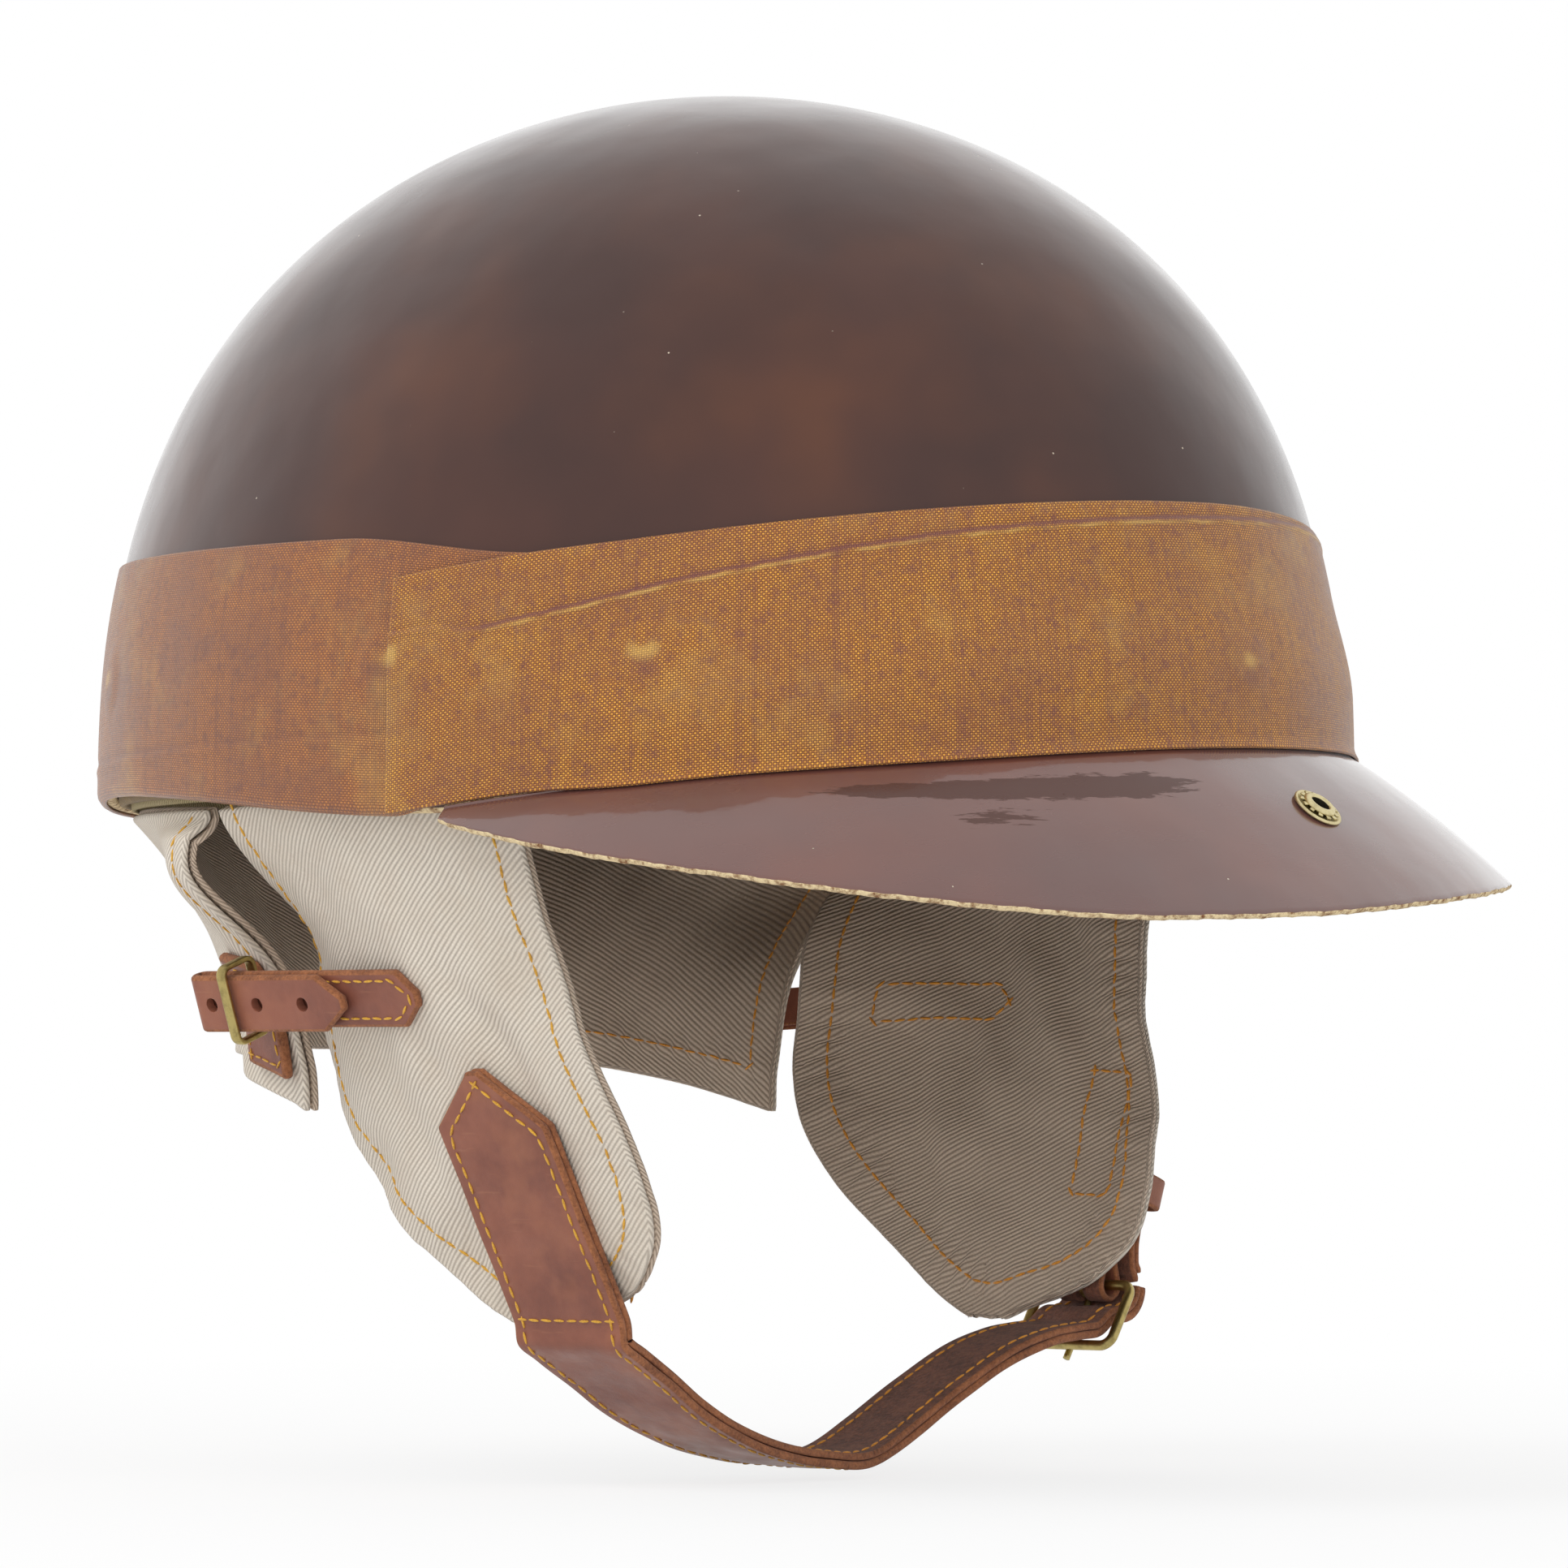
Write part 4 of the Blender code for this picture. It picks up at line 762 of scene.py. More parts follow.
class Shader(Wiring):
    """One material and short ways to wire it."""

    def __init__(self, name: str) -> None:
        """Start the material with its Principled shader."""
        self.material = bpy.data.materials.new(name)
        self.material.use_nodes = True
        super().__init__(self.material.node_tree)
        self.surface = self.tree.nodes["Principled BSDF"]
        coords = self.node("ShaderNodeTexCoord")
        self.spot, self.uv = coords.outputs["Object"], coords.outputs["UV"]

    def stretched(self, vector: Socket, scale: tuple[float, float, float], turn: float = 0.0) -> Socket:
        """Scale and turn a coordinate."""
        return self.node("ShaderNodeMapping",
                         {"Vector": vector, "Scale": scale, "Rotation": (0, 0, turn)}).outputs[0]

    def noise(self, size: float, detail: float = 3.0, rough: float = 0.5,
              vector: Optional[Socket] = None) -> Socket:
        """Noise whose blotches are about size metres across."""
        place = self.spot if vector is None else vector
        return self.node("ShaderNodeTexNoise", {"Vector": place, "Scale": 1 / size, "Detail": detail,
                                                "Roughness": rough}).outputs[0]

    def cells(self, size: float, feature: str = "F1", vector: Optional[Socket] = None) -> Socket:
        """Distance in cells of about size metres."""
        place = self.spot if vector is None else vector
        return self.node("ShaderNodeTexVoronoi", {"Vector": place, "Scale": 1 / size},
                         feature=feature).outputs[0]

    def math(self, operation: str, first: Socket | float, second: Socket | float = 0.0) -> Socket:
        """One arithmetic step."""
        return self.node("ShaderNodeMath", {0: first, 1: second}, operation=operation).outputs[0]

    def span(self, value: Socket, low: float, high: float, out_low: float = 0.0,
             out_high: float = 1.0) -> Socket:
        """Map a value's range to another, clamped."""
        return self.node("ShaderNodeMapRange", {"Value": value, "From Min": low, "From Max": high,
                                                "To Min": out_low, "To Max": out_high}).outputs[0]

    def blend(self, share: Socket, first: Socket | str, second: Socket | str) -> Socket:
        """Mix two colours, each a socket or a six-digit code."""
        low, high = (tone(value) if isinstance(value, str) else value for value in (first, second))
        return self.node("ShaderNodeMix", {0: share, 6: low, 7: high}, data_type="RGBA").outputs[2]

    def scaled(self, value: Socket, factor: float, more: Socket | float) -> Socket:
        """A value times a factor, and more."""
        return self.node("ShaderNodeMath", {0: value, 1: factor, 2: more},
                         operation="MULTIPLY_ADD").outputs[0]

    def wave(self, value: Socket, factor: float) -> Socket:
        """Sine of a value times a factor."""
        return self.math("SINE", self.math("MULTIPLY", value, factor))

    def wandering(self, scale: float, detail: float, reach: float) -> Socket:
        """The UV, shifted to and fro by a noise so that threads run unevenly."""
        noise = self.node("ShaderNodeTexNoise", {"Vector": self.uv, "Scale": scale, "Detail": detail})
        shift = self.node("ShaderNodeVectorMath", {0: noise.outputs["Color"], 1: (reach, reach, 0.0)},
                          operation="MULTIPLY")
        return self.node("ShaderNodeVectorMath", {0: self.uv, 1: shift.outputs[0]},
                         operation="ADD").outputs[0]

    def layer(self, name: str) -> Socket:
        """A painted layer that the mesh carries."""
        return self.node("ShaderNodeAttribute", attribute_name=name).outputs["Fac"]

    def split(self, vector: Socket) -> tuple[Socket, Socket, Socket]:
        """Parts of a coordinate."""
        parts = self.node("ShaderNodeSeparateXYZ", {0: vector})
        return parts.outputs[0], parts.outputs[1], parts.outputs[2]

    def dress(self, **inputs: Socket | float | Colour) -> None:
        """Set or link the surface's sockets, their names written with underscores."""
        for key, value in inputs.items():
            self.feed(self.surface.inputs[key.replace("_", " ")], value)

    def bump(self, height: Socket, distance: float, strength: float = 1.0,
             under: Optional[Socket] = None) -> Socket:
        """Turn a height into a normal."""
        inputs: Inputs = {"Height": height, "Distance": distance, "Strength": strength}
        if under is not None:
            inputs["Normal"] = under
        return self.node("ShaderNodeBump", inputs).outputs[0]


@dataclass(frozen=True)
class Finish:
    """A named finish that makes one material."""

    name: str

    def make(self) -> Material:
        """Build the material."""
        shader = Shader(self.name)
        self.paint(shader)
        return shader.material

    def paint(self, shader: Shader) -> None:
        """Wire the finish."""
        raise NotImplementedError


@dataclass(frozen=True)
class Lacquer(Finish):
    """Brown lacquer over moulded fibre, mottled where it lies thin."""

    deep: str = "3D2520"
    warm: str = "4C2D24"
    thin: str = "6C3F22"
    rough: float = 0.16
    mottle: float = 0.050
    level: float = 0.25
    coat: float = 0.38
    coat_ior: float = 1.4
    haze: float = 0.30
    patches: float = 0.5
    # Whether a painted reflection is laid from a mesh layer: a dark streak near the peak's root.
    painted_reflection: bool = False

    def paint(self, shader: Shader) -> None:
        """Wire the lacquer."""
        cloud = shader.span(shader.noise(self.mottle, 3, 0.5), 0.36, 0.70)
        small = shader.span(shader.noise(self.mottle / 1.6, 2, 0.5), 0.46, 0.84)
        base = shader.blend(cloud, self.deep, self.warm)
        patch = shader.math("MULTIPLY", shader.math("MULTIPLY", cloud, small), self.patches)
        base = shader.blend(patch, base, self.thin)
        speck = shader.span(shader.cells(0.0052), 0.035, 0.05, 1.0, 0.0)
        rare = shader.span(shader.noise(0.004, 0), 0.62, 0.66)
        dust = shader.math("MULTIPLY", speck, rare)
        base = shader.blend(dust, base, "C9B7A2")
        wipe = shader.noise(0.03, 5, 0.65, shader.stretched(shader.spot, (1.0, 0.5, 2.2)))
        rough = shader.span(wipe, 0.3, 0.75, self.rough - 0.04, self.rough + 0.09)
        peel = shader.noise(0.006, 2, 0.45)
        sag = shader.noise(0.045, 2, 0.4)
        low = shader.bump(sag, 0.0016)
        fine = shader.bump(peel, 0.00005, under=low)
        coat: Socket | float = self.coat
        haze: Socket | float = self.haze
        # Painted reflection: a dark streak near the peak's root where the band is mirrored; the colour is
        # darkened there and the coat and sheen are lowered.
        if self.painted_reflection:
            drawn = shader.noise(0.0007, 4, 0.7, shader.stretched(shader.spot, (0.09, 0.09, 1.0)))
            reflection_streak = shader.span(shader.math("ADD", shader.layer("painted_reflection"), drawn), 0.99, 1.04)
            base = shader.blend(reflection_streak, base, "4C2B22")
            coat = shader.span(reflection_streak, 0.0, 1.0, self.coat, 0.12)
            haze = shader.span(reflection_streak, 0.0, 1.0, self.haze, 0.0)
        shader.dress(Base_Color=base, Roughness=rough, Normal=shader.bump(dust, 0.0002, under=fine),
                     Specular_IOR_Level=self.level, Coat_Weight=coat, Coat_Roughness=0.06,
                     Coat_IOR=self.coat_ior, Coat_Normal=fine, Sheen_Weight=haze, Sheen_Roughness=0.35)


@dataclass(frozen=True)
class RawFibre(Finish):
    """Straw-coloured edge where the peak's fibre is cut."""

    pale: str = "E8D2A6"
    dark: str = "7C4F2C"

    def paint(self, shader: Shader) -> None:
        """Wire the cut edge."""
        fray = shader.span(shader.noise(0.0016, 4, 0.7), 0.34, 0.56)
        base = shader.blend(fray, self.dark, self.pale)
        shader.dress(Base_Color=base, Roughness=0.85, Normal=shader.bump(shader.noise(0.0009, 3), 0.0006))


@dataclass(frozen=True)
class Linen(Finish):
    """Plain-woven linen tape soaked in varnish, its raised threads worn golden, with painted shade in the
    weave's gaps and painted highlight and shade read from mesh layers.
    """

    gold: str = "F6B040"
    weft: str = "A8642A"
    gap: str = "46241A"
    stain: str = "7A4640"
    worn: str = "E8BC66"
    pitch: float = 0.00047
    stain_share: float = 0.36
    gloss: float = 0.30
    haze: float = 0.16

    def paint(self, shader: Shader) -> None:
        """Wire the weave."""
        moved = shader.wandering(160.0, 1.0, 0.0004)
        across, up, _ = shader.split(shader.stretched(moved, (1 / self.pitch, 1 / self.pitch, 1.0)))
        step_a, step_b = shader.math("FLOOR", across), shader.math("FLOOR", up)
        over = shader.math("PINGPONG", shader.math("ADD", step_a, step_b), 1.0)
        frac_a, frac_b = shader.math("FRACT", across), shader.math("FRACT", up)
        side = shader.node("ShaderNodeMix", {0: over, 2: frac_a, 3: frac_b}, data_type="FLOAT").outputs[0]
        run = shader.node("ShaderNodeMix", {0: over, 2: frac_b, 3: frac_a}, data_type="FLOAT").outputs[0]
        ridge = shader.scaled(shader.wave(run, math.pi), 0.5, 0.5)
        height = shader.math("MULTIPLY", shader.math("POWER", shader.wave(side, math.pi), 0.6), ridge)
        thread = shader.node("ShaderNodeTexWhiteNoise", {"Vector": shader.node(
            "ShaderNodeCombineXYZ", {0: step_a, 1: step_b}).outputs[0]}, noise_dimensions="2D").outputs[0]
        yarn = shader.node("ShaderNodeTexWhiteNoise", {"W": step_a}, noise_dimensions="1D").outputs[0]
        top = shader.blend(shader.span(over, 0.3, 0.7), self.weft, self.gold)
        # Painted shade: the colour goes to the dark gap colour where the threads lie low.
        base = shader.blend(shader.span(height, 0.15, 0.80), self.gap, top)
        base = shader.blend(shader.span(thread, 0.45, 1.0, 0.0, 0.55), base, self.weft)
        base = shader.blend(shader.span(yarn, 0.6, 1.0, 0.0, 0.30), base, self.stain)
        speck = shader.span(shader.noise(0.0026, 5, 0.75), 0.50, 0.66, 0.0, 0.62)
        cloud = shader.span(shader.noise(0.022, 4, 0.65), 0.40, 0.68, 0.0, self.stain_share)
        pale = shader.span(shader.noise(0.030, 4, 0.7), 0.52, 0.72, 0.0, 0.35)
        base = shader.blend(cloud, base, self.stain)
        base = shader.blend(speck, base, self.stain)
        base = shader.blend(shader.math("MULTIPLY", pale, shader.span(height, 0.2, 0.8)), base, self.worn)
        # Worn places from a mesh layer, partly painted highlight on the tops of the rivet bumps and on the
        # crease's ridge.
        lit_wear = shader.math("MULTIPLY", shader.layer("wear_and_highlight"), shader.span(height, 0.0, 0.6, 0.35, 1.0))
        base = shader.blend(lit_wear, base, self.worn)
        # Painted shade from a mesh layer, in the stain colour: shadow under the rivet bumps and shade in the
        # crease grooves.
        base = shader.blend(shader.layer("painted_shade"), base, self.stain)
        rough = shader.span(cloud, 0.0, self.stain_share, 0.55, 0.42)
        weave = shader.bump(height, 0.00022)
        shader.dress(Base_Color=base, Roughness=rough, Normal=weave, Coat_Weight=self.gloss,
                     Coat_Roughness=0.28,
                     Specular_IOR_Level=0.35, Sheen_Weight=self.haze, Sheen_Roughness=0.35)


@dataclass(frozen=True)
class Twill(Finish):
    """Diagonal cotton twill, its ribs rising towards the front of the helmet."""

    light: str = "EBE1D2"
    dark: str = "B0A598"
    stain: str = "CDBFAC"
    pitch: float = 0.00100
    rise: float = 45.0

    def paint(self, shader: Shader) -> None:
        """Wire the ribs."""
        moved = shader.wandering(45.0, 2.0, 0.0022)
        turned = shader.stretched(moved, (1.0, 1.0, 1.0), -math.radians(self.rise))
        run, side, _ = shader.split(turned)
        lifted = shader.scaled(shader.wave(side, TURN / self.pitch), 0.5, 0.5)
        row = shader.math("FLOOR", shader.math("MULTIPLY", side, 1 / self.pitch))
        skew = shader.math("MULTIPLY", row, 2.4)
        knots = shader.math("SINE", shader.scaled(run, TURN / (0.8 * self.pitch), skew))
        twist = shader.scaled(knots, 0.12, 0.88)
        round_rib = shader.math("POWER", lifted, 0.7)
        height = shader.math("MULTIPLY", round_rib, twist)
        fuzz = shader.noise(0.0005, 3, 0.7)
        full = shader.math("ADD", height, shader.math("MULTIPLY", fuzz, 0.35))
        tint = shader.span(full, 0.15, 0.95)
        base = shader.blend(tint, self.dark, self.light)
        # Darker cloudy zones in the stain colour: partly stains, partly painted shade of soft folds.
        cloud = shader.span(shader.noise(0.028, 4, 0.6), 0.4, 0.72, 0.0, 0.35)
        base = shader.blend(cloud, base, self.stain)
        warm = shader.span(shader.noise(0.006, 3, 0.6), 0.45, 0.75, 0.0, 0.22)
        base = shader.blend(warm, base, "CBB8A4")
        shader.dress(Base_Color=base, Roughness=0.93, Normal=shader.bump(full, 0.00022), Sheen_Weight=0.10,
                     Sheen_Roughness=0.6)


@dataclass(frozen=True)
class Leather(Finish):
    """Waxed pull-up leather: it lightens where it is worked and darkens where it is handled."""

    body: str = "925A47"
    pulled: str = "AC7050"
    dark: str = "75463A"
    rough: float = 0.42
    grain: float = 0.00035

    def paint(self, shader: Shader) -> None:
        """Wire the leather."""
        cloud = shader.span(shader.noise(0.017, 4, 0.62), 0.38, 0.70)
        base = shader.blend(cloud, self.body, self.dark)
        worked = shader.span(shader.noise(0.030, 4, 0.7), 0.50, 0.74, 0.0, 0.60)
        base = shader.blend(worked, base, self.pulled)
        scratch = shader.noise(0.0012, 2, 0.6, shader.stretched(shader.spot, (0.10, 1.0, 1.0), 0.4))
        marks = shader.span(scratch, 0.66, 0.74, 0.0, 0.12)
        base = shader.blend(marks, base, "C08A66")
        pores = shader.noise(self.grain, 3, 0.6)
        crease = shader.cells(self.grain * 2.6, "SMOOTH_F1")
        relief = shader.math("ADD", shader.math("MULTIPLY", crease, 0.5), pores)
        rough = shader.span(shader.noise(0.006, 4, 0.6), 0.3, 0.7, self.rough - 0.06, self.rough + 0.12)
        shader.dress(Base_Color=base, Roughness=rough, Normal=shader.bump(relief, 0.00007), Coat_Weight=0.08,
                     Coat_Roughness=0.35, Specular_IOR_Level=0.35)


@dataclass(frozen=True)
class FibrousLayer(Finish):
    """Fibrous leather: the cut edge or the inner side."""

    light: str = "B3734A"
    dark: str = "6A3D28"
    fibre: float = 0.0007
    depth: float = 0.0004

    def paint(self, shader: Shader) -> None:
        """Wire the fibres."""
        strand = shader.noise(self.fibre, 4, 0.75)
        patch = shader.noise(0.005, 3, 0.6)
        share = shader.span(shader.math("ADD", strand, shader.math("MULTIPLY", patch, 0.6)), 0.55, 1.0)
        base = shader.blend(share, self.dark, self.light)
        shader.dress(Base_Color=base, Roughness=0.88, Normal=shader.bump(strand, self.depth),
                     Sheen_Weight=0.1)


@dataclass(frozen=True)
class Felt(Finish):
    """Pressed wool felt."""

    light: str = "A98A4C"
    dark: str = "6E5528"

    def paint(self, shader: Shader) -> None:
        """Wire the felt."""
        hair = shader.noise(0.0011, 6, 0.8, shader.stretched(shader.spot, (1.0, 1.6, 0.8), 0.6))
        patch = shader.noise(0.012, 3, 0.6)
        share = shader.span(shader.math("ADD", hair, shader.math("MULTIPLY", patch, 0.5)), 0.5, 1.0)
        base = shader.blend(share, self.dark, self.light)
        shader.dress(Base_Color=base, Roughness=1.0, Normal=shader.bump(hair, 0.0006), Sheen_Weight=0.3,
                     Sheen_Roughness=0.7)


@dataclass(frozen=True)
class Webbing(Finish):
    """Herringbone cotton tape."""

    light: str = "C9B991"
    dark: str = "857650"
    pitch: float = 0.0011

    def paint(self, shader: Shader) -> None:
        """Wire the chevrons."""
        run, side, _ = shader.split(shader.uv)
        fold = shader.math("PINGPONG", side, 0.0032)
        slant = shader.math("ADD", run, fold)
        lifted = shader.scaled(shader.wave(slant, TURN / self.pitch), 0.5, 0.5)
        fuzz = shader.noise(0.0005, 3, 0.7)
        full = shader.math("ADD", lifted, shader.math("MULTIPLY", fuzz, 0.5))
        base = shader.blend(shader.span(full, 0.2, 1.2), self.dark, self.light)
        base = shader.blend(shader.span(shader.noise(0.015, 3), 0.45, 0.75, 0.0, 0.4), base, "A08F66")
        shader.dress(Base_Color=base, Roughness=0.92, Normal=shader.bump(full, 0.00022))


@dataclass(frozen=True)
class Thread(Finish):
    """Waxed sewing thread, twisted."""

    light: str = "E2AC36"
    dark: str = "A8701F"

    def paint(self, shader: Shader) -> None:
        """Wire the thread."""
        twist = shader.noise(0.0004, 2, 0.6, shader.stretched(shader.spot, (1.0, 1.4, 2.0), 0.8))
        worn = shader.noise(0.009, 2, 0.5)
        share = shader.span(shader.math("ADD", twist, shader.math("MULTIPLY", worn, 0.5)), 0.45, 0.85)
        base = shader.blend(share, self.dark, self.light)
        shader.dress(Base_Color=base, Roughness=0.5, Normal=shader.bump(twist, 0.00012), Sheen_Weight=0.1)


@dataclass(frozen=True)
class Brass(Finish):
    """Antiqued brass, rubbed bright on its high sides."""

    bright: str = "B7A56A"
    aged: str = "67593A"
    age: float = 0.55
    rough: float = 0.30

    def paint(self, shader: Shader) -> None:
        """Wire the metal."""
        cloud = shader.noise(0.0032, 5, 0.7)
        stain = shader.span(cloud, 0.46, 0.68, 0.0, self.age)
        base = shader.blend(stain, self.bright, self.aged)
        drawn = shader.noise(0.0006, 3, 0.6, shader.stretched(shader.spot, (1.0, 1.0, 0.2)))
        rough = shader.math("ADD", shader.span(cloud, 0.3, 0.7, self.rough - 0.06, self.rough + 0.15),
                            shader.math("MULTIPLY", drawn, 0.06))
        shader.dress(Base_Color=base, Metallic=1.0, Roughness=rough, Normal=shader.bump(drawn, 0.00004))


@dataclass(frozen=True)
class Fibreboard(Finish):
    """Dark pressed board that stiffens the headband."""

    light: str = "4A3A2E"
    dark: str = "2C221B"

    def paint(self, shader: Shader) -> None:
        """Wire the board."""
        chips = shader.noise(0.002, 5, 0.7, shader.stretched(shader.spot, (1.0, 1.0, 2.0)))
        base = shader.blend(shader.span(chips, 0.35, 0.65), self.dark, self.light)
        shader.dress(Base_Color=base, Roughness=0.7, Normal=shader.bump(chips, 0.0001))


@dataclass
class Palette:
    """Every material of the helmet."""

    made: dict[str, Material] = field(default_factory=dict)

    def __post_init__(self) -> None:
        """Make the materials."""
        finishes = (
            Lacquer("shell_lacquer"),
            Lacquer("peak_lacquer", deep="5A3630", warm="693D33", thin="84482C", rough=0.24, mottle=0.05,
                    level=0.5, coat=1.0, coat_ior=1.55, haze=0.28, patches=0.35, painted_reflection=True),
            Lacquer("under_lacquer", deep="4A2E28", warm="573429", thin="6B3E28", rough=0.3, haze=0.1),
            Lacquer("inner_varnish", deep="4B3626", warm="5E442C", thin="6E4E30", rough=0.5, mottle=0.02,
                    haze=0.0),
            RawFibre("peak_edge"),
            Linen("front_linen"),
            Linen("rear_linen", gold="D48A40", weft="A05F36", gap="5A3624", stain="744638", stain_share=0.45,
                  gloss=0.45),
            Twill("twill"),
            Twill("twill_lining", light="DFCBB6", dark="9E8A78", stain="B9A390", rise=28.0),
            Leather("strap_leather"),
            FibrousLayer("leather_edge"),
            FibrousLayer("leather_suede", light="96604A", dark="54352A", fibre=0.0010, depth=0.0006),
            Leather("sweat_leather", body="7B4F37", pulled="8F6142", dark="5B3B2B", rough=0.5),
            Felt("rim_felt", light="A5833F", dark="644A1F"),
            Felt("grey_felt", light="8E8578", dark="5E574D"),
            Webbing("webbing"),
            Thread("gold_thread"),
            Thread("inner_thread", light="F2A63A", dark="AC6A1C"),
            Thread("lace_cord", light="D2C6A4", dark="8D8262"),
            Brass("antique_brass"),
            Brass("eyelet_brass", bright="DDD0A2", aged="93835A", age=0.5, rough=0.36),
            # Near-black brass for the inner faces of the eyelet's bore.
            Brass("dark_bore", bright="3A362C", aged="1F1C17", age=0.8, rough=0.6),
            Fibreboard("fibreboard"),
        )
        for finish in finishes:
            self.made[finish.name] = finish.make()

    def __getitem__(self, name: str) -> Material:
        """Material by name."""
        return self.made[name]

    def skins(self, *names: str) -> list[Material]:
        """Materials of a face, its edge and its back."""
        return [self.made[name] for name in names]

    def sew(self, thread: str, name: str, routes: Sequence[Array], plan: StitchPlan, seed: int) -> Piece:
        """Sew along routes with one of the threads."""
        return StitchTree(self.made[thread]).sew(name, routes, plan, seed)


# Shape rules shared with the CAD frame


@dataclass(frozen=True)
class HelmetForm:
    """The shell's shape and the lines that everything else is set out from."""

    half_length: float = 0.1387
    half_width: float = 0.1158
    height: float = 0.149
    wall: float = 0.003
    power: float = 2.5
    clear: float = 0.0004
    ear_dip: float = 0.0042
    nape_arch: float = 0.0026
    ear_angle: float = math.radians(80)
    nape_angle: float = math.radians(128)
    wave_spread: float = math.radians(22)
    root_front: float = 0.0105
    root_drop: float = 0.015
    root_angle: float = math.radians(80)
    skirt_inset: float = 0.006
    leans: tuple[tuple[float, float], ...] = (
        (-83, 0.0), (-54, -0.0004), (-42, -0.0010), (-30, -0.0013), (-12, -0.0010), (0, -0.0006),
        (12, 0.0004), (24, 0.0016), (36, 0.0021), (54, 0.0015), (83, 0.0))
    rivet_height: float = 0.0255
    rivet_angles: tuple[float, ...] = (0.0, 60.0, 84.0, 130.0, 180.0, -130.0, -84.0, -60.0)

    def spot(self, angle: Array, height: Array, off: Array | float = 0.0) -> Array:
        """Point at an offset outside the shell's face."""
        share = np.clip(height, 0.0, self.height) / self.height
        spread = np.sqrt(np.maximum(1 - share ** self.power, 0.0))
        x = self.half_length * spread * np.cos(angle)
        y = self.half_width * spread * np.sin(angle)
        rise = self.power * share ** (self.power - 1) / self.height
        normal = unit(stack(2 * x / self.half_length ** 2, 2 * y / self.half_width ** 2, rise))
        away = np.asarray(off, float)
        return stack(x, y, height) + (away[..., None] if away.ndim else away) * normal

    def rim(self, angle: Array) -> Array:
        """Height of the rim's wave."""
        turn = np.abs(np.arctan2(np.sin(angle), np.cos(angle)))
        ear = (turn - self.ear_angle) / self.wave_spread
        nape = (turn - self.nape_angle) / self.wave_spread
        return self.nape_arch * np.exp(-nape ** 2) - self.ear_dip * np.exp(-ear ** 2)

    def root(self, angle: Array) -> Array:
        """Height at which the peak leaves the shell."""
        return self.root_front - self.root_drop * (np.abs(angle) / self.root_angle) ** 1.7

    def lean(self, angle: Array) -> Array:
        """How much the hand-set peak stands higher or lower than its even line."""
        return read_curve(self.leans, np.clip(np.degrees(angle), -83, 83))

    def out(self, angle: Array) -> Array:
        """Level direction out of the shell."""
        return unit(stack(np.cos(angle) / self.half_length, np.sin(angle) / self.half_width, 0.0))

    def rivet_swell(self, angle: Array, height: Array, rise: float = 0.00045,
                    spread: float = 0.0052) -> Array:
        """Low bumps over the rivets' heads."""
        swell = np.zeros(np.broadcast(angle, height).shape)
        turn = np.arctan2(np.sin(angle), np.cos(angle))
        for degrees in self.rivet_angles:
            away = turn - math.radians(degrees)
            away = np.arctan2(np.sin(away), np.cos(away))
            reach = np.hypot(away * MEAN_RADIUS, height - self.rivet_height)
            swell += rise * (1 - ease((reach - 0.0036) / spread))
        return swell

    @property
    def skirt_half_length(self) -> float:
        """Half length of the line that the skirt hangs from."""
        return self.half_length - self.skirt_inset

    @property
    def skirt_half_width(self) -> float:
        """Half width of the line that the skirt hangs from."""
        return self.half_width - self.skirt_inset


FORM = HelmetForm()


